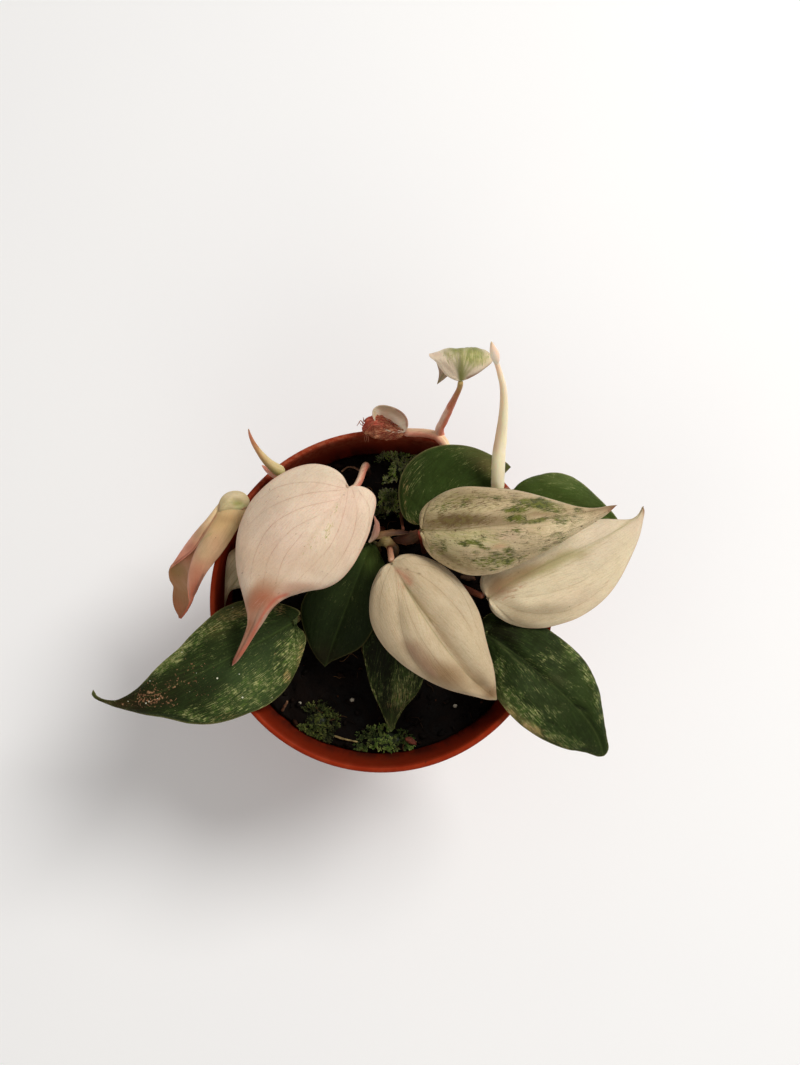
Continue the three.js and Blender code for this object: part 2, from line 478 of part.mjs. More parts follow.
      [-60.66, 9.27, 83.0], [-62.49, 4.77, 76.5], [-63.48, 0.98, 71.0], [-65.4, -2.35, 66.5], [-68.03, -5.27, 62.0],
    ],
    left: [
      [-48.11, 25.02, 99.5], [-50.25, 25.32, 98.6], [-51.94, 24.09, 96.8], [-55.12, 22.23, 93.0],
      [-58.81, 19.77, 88.5], [-62.37, 16.82, 83.5], [-65.69, 13.91, 78.5], [-68.39, 11.22, 75.0],
      [-69.82, 9.02, 72.5], [-69.75, 6.91, 70.5], [-69.08, 5.23, 69.0], [-69.81, 2.62, 66.5], [-69.93, -0.4, 64.5],
      [-69.21, -2.98, 63.0], [-68.03, -5.27, 62.0],
    ],
    right: [
      [-48.11, 25.02, 99.5], [-48.33, 27.45, 99.5], [-47.59, 29.67, 99.0], [-46.32, 31.08, 98.0],
      [-44.25, 31.63, 97.0], [-42.05, 31.2, 96.5], [-40.35, 29.82, 96.5], [-39.77, 27.89, 97.0],
      [-40.54, 25.51, 97.5], [-41.68, 23.07, 97.5], [-43.35, 20.25, 97.0], [-45.41, 17.04, 96.0],
      [-47.87, 13.73, 94.5], [-50.46, 10.76, 92.5], [-53.03, 7.95, 90.0], [-55.71, 5.15, 85.0], [-58.35, 2.65, 79.0],
      [-61.05, 0.35, 73.0], [-64.02, -2.08, 67.5], [-66.26, -4.03, 64.0], [-68.03, -5.27, 62.0],
    ],
    s0: 0.2,
    bulge: 0.5,
    color: 0xdba18f,
  },
  leaf_cream_small: {
    ns: 11,
    nt: 2,
    mid: [
      [-37.17, 16.31, 87.5], [-40.63, 11.51, 88.5], [-43.65, 6.88, 88.2], [-46.31, 2.62, 87.4],
      [-47.85, -0.73, 86.8], [-48.68, -3.45, 85.8],
    ],
    left: [
      [-37.17, 16.31, 87.5], [-38.47, 17.58, 87.32], [-40.69, 17.92, 87.12], [-43.16, 16.98, 87.1],
      [-45.57, 15.38, 87.36], [-47.35, 13.79, 87.57], [-48.16, 11.01, 87.34], [-48.47, 7.28, 87.27],
      [-48.56, 3.9, 86.98], [-48.58, 0.51, 86.69], [-48.67, -1.93, 86.21], [-48.68, -3.45, 85.8],
    ],
    right: [
      [-37.17, 16.31, 87.5], [-35.95, 15.09, 87.18], [-35.35, 12.64, 86.71], [-35.92, 9.53, 86.58],
      [-37.7, 6.4, 86.7], [-40.18, 4.25, 86.41], [-42.92, 3.0, 86.52], [-45.09, 2.6, 86.49], [-46.62, 1.92, 86.46],
      [-47.4, 0.53, 86.42], [-48.06, -1.32, 86.28], [-48.68, -3.45, 85.8],
    ],
    s0: 0.2,
    bulge: 0.5,
    color: 0xc9c2ab,
  },
  leaf_top_small: {
    mid: [
      [23.2, 59.05, 120.0], [22.95, 60.95, 124.0], [22.8, 63.26, 126.5], [22.86, 65.59, 126.0],
      [22.58, 67.43, 122.0], [21.83, 68.36, 116.0], [20.72, 67.7, 110.0], [19.04, 65.98, 105.0],
      [16.94, 63.82, 101.0],
    ],
    left: [
      [23.2, 59.05, 120.0], [22.07, 58.76, 120.0], [20.35, 59.18, 120.5], [18.62, 59.88, 121.5],
      [17.02, 61.28, 123.0], [15.73, 62.96, 124.0], [14.21, 64.41, 124.0], [13.83, 65.62, 123.0],
      [14.53, 67.31, 119.0], [15.57, 68.15, 114.0], [16.64, 67.74, 109.0], [17.37, 66.43, 105.5],
      [17.32, 65.07, 103.0], [16.94, 63.82, 101.0],
    ],
    right: [
      [23.2, 59.05, 120.0], [24.33, 59.34, 120.0], [26.27, 60.06, 120.5], [28.4, 60.88, 122.0],
      [30.23, 61.83, 123.5], [31.4, 62.94, 124.5], [31.24, 64.5, 125.0], [29.97, 66.29, 124.0],
      [28.39, 68.14, 120.0], [26.52, 69.01, 115.0], [24.26, 68.62, 110.0], [21.8, 67.03, 106.5],
      [19.28, 65.07, 103.0], [16.94, 63.82, 101.0],
    ],
    s0: 0.2,
    bulge: 0.5,
    color: 0xd3cc9c,
  },
  leaf_unfurling_top: {
    ns: 11,
    nt: 2,
    mid: [
      [6.95, 50.6, 95.5], [5.09, 53.69, 92.2], [2.59, 55.89, 91.2], [0.12, 57.0, 93.0], [-2.53, 56.55, 98.0],
    ],
    left: [
      [6.95, 50.6, 95.5], [7.86, 51.6, 96.5], [7.71, 53.67, 97.0], [6.48, 55.72, 97.0], [4.49, 57.14, 97.0],
      [2.04, 57.88, 97.2], [-0.4, 57.71, 97.8], [-2.53, 56.55, 98.0],
    ],
    right: [
      [6.95, 50.6, 95.5], [5.72, 50.19, 96.5], [3.27, 50.4, 97.5], [0.84, 51.21, 98.0], [-0.99, 53.04, 98.2],
      [-2.06, 54.92, 98.2], [-2.53, 56.55, 98.0],
    ],
    s0: 0.2,
    bulge: 0.3,
    color: 0xd9c9b8,
  },
};

// centre lines of petioles and vines, with the radius
const STEMS = {
  petiole_pink_large: {
    points: [
      [-5.17, 41.26, 64.0], [-4.99, 40.94, 74.0], [-5.08, 41.91, 85.0], [-5.5, 38.38, 95.5], [-6.2, 33.72, 103.2],
      [-7.4, 30.66, 107.3], [-8.58, 29.78, 109.0],
    ],
    r: 1.1,
    steps: 15,
    color: 0xc27a62,
  },
  petiole_cream_center: {
    points: [
      [-1.04, 26.81, 64.0], [-0.33, 23.63, 74.0], [0.8, 20.21, 82.0], [2.02, 16.61, 90.0], [2.81, 12.91, 97.5],
      [3.16, 10.15, 102.0], [3.2, 9.49, 102.9],
    ],
    r: 0.9,
    steps: 13,
    color: 0xc27a62,
  },
  petiole_cream_right: {
    points: [
      [15.12, 12.2, 64.0], [16.07, 10.08, 75.0], [19.18, 6.97, 84.0], [23.44, 3.6, 90.5], [27.65, 1.14, 94.8],
      [30.76, -0.44, 96.7],
    ],
    r: 0.95,
    steps: 13,
    color: 0xc27a62,
  },
  petiole_splash: {
    points: [
      [13.79, 16.26, 64.0], [13.53, 15.74, 74.0], [13.08, 16.31, 85.0], [12.53, 17.18, 95.0], [12.05, 17.8, 102.5],
      [11.91, 17.93, 106.0],
    ],
    r: 0.95,
    steps: 13,
    color: 0xc27a62,
  },
  petiole_green_back: {
    points: [
      [11.1, 18.63, 64.0], [11.26, 18.69, 74.0], [12.04, 20.71, 83.0], [13.46, 23.23, 89.5], [14.83, 25.07, 93.2],
    ],
    r: 0.9,
    steps: 10,
    color: 0xc27a62,
  },
  petiole_green_center: {
    points: [
      [-2.35, 15.58, 64.0], [-1.77, 15.08, 74.0], [-1.09, 15.41, 82.0], [-1.57, 16.18, 88.0], [-2.37, 16.71, 89.7],
    ],
    r: 0.85,
    steps: 8,
    color: 0xc27a62,
  },
  petiole_green_small: {
    points: [
      [7.05, 3.47, 64.0], [7.01, 1.74, 74.0], [6.51, -0.94, 80.5], [5.78, -3.19, 84.0], [5.59, -3.86, 84.8],
    ],
    r: 0.8,
    steps: 7,
    color: 0xc27a62,
  },
  petiole_green_right: {
    points: [
      [21.05, -3.2, 64.0], [21.51, -4.38, 74.0], [24.13, -7.03, 83.0], [27.69, -9.57, 89.0], [30.89, -10.94, 91.2],
    ],
    r: 0.9,
    steps: 10,
    color: 0xc27a62,
  },
  petiole_green_left: {
    points: [
      [-16.36, 4.14, 64.0], [-16.27, 2.71, 74.0], [-19.05, -0.21, 79.0], [-22.34, -2.84, 80.7], [-25.2, -5.25, 81.6],
      [-26.2, -6.99, 87.0], [-26.3, -7.33, 88.5],
    ],
    r: 0.9,
    steps: 10,
    color: 0xc27a62,
  },
  petiole_pink_folded: {
    points: [
      [-26.75, 27.83, 64.0], [-26.88, 26.45, 75.0], [-29.77, 26.63, 86.0], [-34.74, 27.03, 93.0],
      [-41.08, 26.64, 95.3], [-45.98, 25.66, 96.6], [-48.08, 25.06, 97.4],
    ],
    r: 0.85,
    steps: 14,
    color: 0xc27a62,
  },
  petiole_cream_small: {
    points: [
      [-30.65, 18.29, 64.0], [-30.43, 17.38, 74.0], [-32.76, 17.14, 81.0], [-35.88, 16.84, 85.8],
      [-36.58, 16.63, 86.7],
    ],
    r: 0.75,
    steps: 8,
    color: 0xc27a62,
  },
  petiole_green_back_right: {
    points: [
      [35.47, 30.32, 94.6], [37.12, 31.47, 95.1], [38.53, 32.15, 95.1], [39.44, 32.26, 95.15],
    ],
    r: 0.95,
    steps: 5,
    color: 0xc27a62,
  },
  petiole_top_small: {
    points: [
      [17.88, 51.21, 95.0], [18.96, 52.96, 98.5], [20.36, 55.01, 104.0], [21.74, 56.63, 111.0],
      [22.72, 57.83, 116.4], [23.05, 58.49, 119.2],
    ],
    r: 0.95,
    steps: 8,
    color: 0xc27a62,
  },
  stem_left: {
    points: [
      [-10.59, 23.68, 62.0], [-10.61, 22.31, 74.0], [-12.77, 22.28, 81.0], [-17.26, 23.92, 85.0],
      [-22.35, 26.93, 88.0], [-25.82, 30.51, 91.0], [-28.07, 34.13, 93.4], [-28.89, 35.8, 94.4],
    ],
    r: 1.3,
    steps: 14,
    color: 0x8a5a48,
  },
  stem_right: {
    points: [
      [18.57, 14.45, 62.0], [18.72, 14.43, 74.0], [22.25, 17.14, 81.0], [27.01, 21.23, 86.0], [31.67, 25.58, 90.5],
      [34.08, 28.43, 93.0],
    ],
    r: 1.4,
    steps: 13,
    color: 0x8a5a48,
  },
  stem_over_rim: {
    points: [
      [17.96, 26.77, 62.0], [17.82, 26.94, 74.0], [18.8, 31.49, 82.0], [20.16, 37.52, 87.5], [20.66, 42.28, 90.6],
      [20.3, 45.45, 92.0], [19.06, 48.06, 92.4], [17.06, 49.92, 92.2], [14.13, 50.8, 91.75], [10.7, 51.07, 91.7],
      [8.05, 51.0, 92.0],
    ],
    r: 1.2,
    steps: 17,
    color: 0x8a5a48,
  },
  stem_center: {
    points: [
      [3.01, 12.41, 62.0], [3.12, 12.14, 74.0], [3.49, 13.73, 80.0], [3.98, 15.24, 83.4], [3.68, 16.57, 85.4],
    ],
    r: 1.3,
    steps: 8,
    color: 0x8a5a48,
  },
  petiole_dry_stub: {
    points: [
      [5.72, 31.61, 64.0], [5.88, 28.93, 74.0], [6.19, 25.03, 84.0], [6.49, 21.9, 90.0], [6.63, 20.34, 92.2],
    ],
    r: 0.5,
    steps: 10,
    color: 0x6d3b2e,
  },
};

// rolled new leaves and bracts: centre line and radius at each point
const SPIKES = {
  sheath_red_fibrous: {
    sides: 8,
    steps: 8,
    points: [
      [-5.79, 51.45, 92.2, 0.7], [-3.6, 51.96, 92.7, 2.0], [-0.49, 51.59, 92.9, 2.45], [3.23, 50.98, 92.8, 2.1],
      [6.65, 50.77, 92.4, 1.0],
    ],
    color: 0xb05a44,
  },
  node_crown: {
    sides: 6,
    steps: 8,
    points: [
      [-0.74, 14.96, 96.8, 0.5], [0.92, 15.49, 97.4, 1.2], [2.72, 15.66, 97.3, 1.25], [4.21, 15.58, 96.7, 0.7],
    ],
    color: 0xb05a44,
  },
  cataphyll_left: {
    sides: 6,
    steps: 8,
    points: [
      [-3.14, 17.04, 92.6, 0.35], [-1.0, 18.54, 92.9, 0.9], [2.36, 18.96, 93.2, 1.0], [6.02, 19.11, 93.2, 0.4],
    ],
    color: 0xb05a44,
  },
  cataphyll_right: {
    sides: 6,
    steps: 8,
    points: [
      [3.88, 17.12, 92.0, 0.4], [6.33, 17.35, 92.6, 1.3], [8.77, 17.75, 93.0, 1.6], [10.75, 18.34, 93.2, 0.9],
    ],
    color: 0xb05a44,
  },
  bract_center: {
    sides: 6,
    steps: 8,
    points: [
      [-2.1, 23.44, 98.0, 0.2], [-1.51, 20.86, 97.0, 0.8], [-2.29, 18.29, 95.8, 0.7], [-3.52, 16.57, 95.0, 0.2],
    ],
    color: 0xb05a44,
  },
  spike_tall: {
    sides: 8,
    steps: 12,
    points: [
      [34.93, 30.74, 99.8, 2.1], [34.72, 32.75, 102.0, 2.35], [34.68, 35.9, 104.3, 2.25], [34.73, 40.37, 107.2, 2.1],
      [35.02, 44.66, 110.5, 1.85], [35.14, 48.75, 115.2, 1.5], [34.94, 52.65, 120.0, 1.2],
      [34.21, 55.91, 124.5, 0.95], [32.88, 58.71, 128.2, 0.75], [31.82, 60.66, 130.8, 0.7],
    ],
    color: 0xe6d9bd,
  },
  spike_left: {
    sides: 8,
    steps: 8,
    points: [
      [-29.49, 37.34, 96.0, 1.5], [-31.6, 38.13, 97.4, 1.75], [-34.05, 39.81, 99.6, 1.35],
      [-36.17, 42.15, 102.8, 0.95], [-37.43, 44.17, 106.4, 0.65], [-38.01, 45.83, 109.4, 0.42],
      [-38.15, 47.1, 111.4, 0.16],
    ],
    color: 0xd8b99a,
  },
  bract_left: {
    sides: 6,
    steps: 8,
    points: [
      [-31.03, 36.47, 93.4, 0.75], [-33.23, 37.61, 93.2, 0.8], [-35.2, 38.94, 93.6, 0.55],
      [-36.67, 40.13, 94.2, 0.14],
    ],
    color: 0xd79c8a,
  },
  bract_tall_tip: {
    sides: 6,
    steps: 8,
    points: [
      [31.65, 60.81, 131.6, 0.95], [31.01, 61.87, 133.8, 1.25], [30.31, 63.03, 135.6, 0.8],
      [29.84, 64.18, 137.0, 0.15],
    ],
    color: 0xdcb0a2,
  },
};

// ---------------------------------------------------------------- blades
for (const [name, b] of Object.entries(BLADES)) add(name, blade(b), b.color, 0.62);

// ---------------------------------------------------------------- petioles and vines
const bores = [];
for (const [name, s] of Object.entries(STEMS)) {
  add(name, sweep(s.points, s.r, 8, s.steps), s.color, 0.5);
  if (s.points[0][2] < SOIL_Z - 1) bores.push(sweep([[s.points[0][0], s.points[0][1], s.points[0][2] - 0.6], ...s.points.slice(1)], s.r + GAP + 0.1, 8, s.steps));
}

// ---------------------------------------------------------------- rolled leaves, bracts and sheaths
for (const [name, s] of Object.entries(SPIKES)) add(name, taper(s.points, s.sides ?? 8, s.steps ?? 12), s.color, 0.5);

// ---------------------------------------------------------------- soil, with the planted stems let into it
const soilProfile = [
  [0, FLOOR_Z1 + GAP], [rInAt(FLOOR_Z1) - 1.4, FLOOR_Z1 + GAP], [rInAt(FLOOR_Z1 + 1.4) - GAP, FLOOR_Z1 + 1.5],
  [rInAt(SOIL_Z - 1) - GAP, SOIL_Z - 1], [rInAt(SOIL_Z) - 1.6, SOIL_Z], [0, SOIL_Z],
].map(([r, z]) => new THREE.Vector2(r, z));
const soilLathe = new THREE.LatheGeometry(soilProfile, POT_SEG);
soilLathe.rotateX(Math.PI / 2);
let soil = toSolid(soilLathe);
for (const b of bores) soil = soil.subtract(toSolid(b));
add('soil', fromSolid(soil), 0x241a14, 0.95);

// ---------------------------------------------------------------- moss, bark, straw and grains on the soil
const ON = SOIL_Z + GAP;
for (const [name, c] of Object.entries({
  moss_back: {
    at: [5.89, 42.59, 3.65, 2.83, 5.2],
    seed: 1.0,
    color: 0x2f4a1c,
  },
  moss_middle: {
    at: [1.82, 30.66, 3.19, 3.38, 3.4],
    seed: 2.1,
    color: 0x35521f,
  },
  moss_front_left: {
    at: [-20.04, -38.67, 3.88, 3.85, 3.2],
    seed: 3.3,
    color: 0x3f5226,
  },
  moss_front: {
    at: [0.71, -44.51, 5.87, 3.01, 2.4],
    seed: 4.2,
    color: 0x26361a,
  },
})) add(name, cushion(...c.at, ON, c.seed), c.color, 0.95);
for (const [name, c] of Object.entries({
  straw: {
    points: [
      [-14.96, -42.65, 76.8], [-11.16, -43.68, 77.4], [-7.42, -44.47, 77.0],
    ],
    r: 0.35,
    steps: 6,
    color: 0xb09a6a,
  },
  stick_wall: {
    points: [
      [-31.36, -34.94, 77.1], [-30.4, -33.47, 78.7], [-29.28, -31.71, 80.4],
    ],
    r: 0.45,
    steps: 6,
    color: 0x6e4a34,
  },
  bark_bit_front: {
    points: [
      [7.9, -43.52, 77.4], [9.15, -44.12, 77.6], [10.09, -44.74, 77.4],
    ],
    r: 0.8,
    steps: 6,
    color: 0x7a3f2c,
  },
  bark_bit_left: {
    points: [
      [-43.45, -0.1, 77.4], [-41.84, 0.84, 77.6], [-39.95, 0.54, 77.4],
    ],
    r: 0.8,
    steps: 6,
    color: 0x4a3326,
  },
  bark_bit_right: {
    points: [
      [25.58, 7.57, 77.5], [27.47, 6.59, 77.7], [29.09, 6.93, 77.5],
    ],
    r: 0.85,
    steps: 6,
    color: 0x4a3326,
  },
  root_thread_back: {
    points: [
      [-13.53, 41.67, 76.9], [-11.23, 43.23, 77.4], [-8.96, 42.96, 77.1], [-7.66, 42.0, 76.9],
    ],
    r: 0.35,
    steps: 6,
    color: 0x6b4a38,
  },
})) add(name, sweep(c.points, c.r, 6, c.steps), c.color, 0.85);

for (const [name, x, y, r] of [
  ['perlite_grain_left', -38.4, -3.88, 0.8], ['perlite_grain_front', -9.42, -31.56, 0.85],
  ['perlite_grain_front_left', -25.81, -32.49, 0.7], ['perlite_grain_right', 23.04, -33.42, 0.8],
  ['perlite_grain_middle', 10.28, 36.44, 0.6],
]) {
  const g = new THREE.IcosahedronGeometry(r, 0);
  g.rotateZ(x); g.rotateX(y);
  g.translate(x, y, ON + r);
  add(name, g, 0xe8e4da, 0.9);
}

export default part;
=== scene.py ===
# Potted velvet leaf philodendron: the finished surfaces of the plant, its soil and its pot.
# Lengths in the tables are millimetres and are turned into metres by MM.
import math

import bmesh
import bpy
import numpy as np
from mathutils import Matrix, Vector


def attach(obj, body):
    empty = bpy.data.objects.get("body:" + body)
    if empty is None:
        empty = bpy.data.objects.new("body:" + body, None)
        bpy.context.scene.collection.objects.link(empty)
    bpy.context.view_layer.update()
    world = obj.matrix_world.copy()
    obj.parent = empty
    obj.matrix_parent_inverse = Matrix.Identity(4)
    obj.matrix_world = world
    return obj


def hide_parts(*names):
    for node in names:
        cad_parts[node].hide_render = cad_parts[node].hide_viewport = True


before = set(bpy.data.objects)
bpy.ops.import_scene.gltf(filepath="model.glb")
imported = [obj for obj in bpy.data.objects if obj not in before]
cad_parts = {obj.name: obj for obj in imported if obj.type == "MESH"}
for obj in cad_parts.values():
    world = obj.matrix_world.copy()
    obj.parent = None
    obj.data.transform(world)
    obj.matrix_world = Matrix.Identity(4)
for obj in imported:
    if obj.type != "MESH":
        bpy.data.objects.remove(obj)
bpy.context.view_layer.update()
scene = bpy.context.scene
MM = 0.001
RIM_Z = 90.0
SOIL_Z = 76.0

# ------------------------------------------------------------------ camera: looks down into the pot, leaning 8 degrees
cam_data = bpy.data.cameras.new("view")
cam_data.sensor_width = 36.0
cam_data.lens = 30.72676
cam_data.clip_start = 0.01
cam_data.clip_end = 20.0
cam = bpy.data.objects.new("view", cam_data)
cam.location = (0.00571570, -0.01954774, 0.36774314)
cam.rotation_euler = (math.radians(8.078460519), 0.0, 0.0)
scene.collection.objects.link(cam)
scene.camera = cam
CAM = np.array(cam.location) / MM
CAM_A = cam.rotation_euler[0]
FOCAL = cam_data.lens / 36.0 * 1065.0


def frame_xy(P):
    """Where points (millimetres) fall in the 800 x 1065 view, used to place the listed patches of colour."""
    v = np.asarray(P, float) - CAM
    c, s = math.cos(-CAM_A), math.sin(-CAM_A)
    y = v[..., 1] * c - v[..., 2] * s
    z = v[..., 1] * s + v[..., 2] * c
    return 400 + FOCAL * v[..., 0] / (-z), 532.5 - FOCAL * y / (-z)


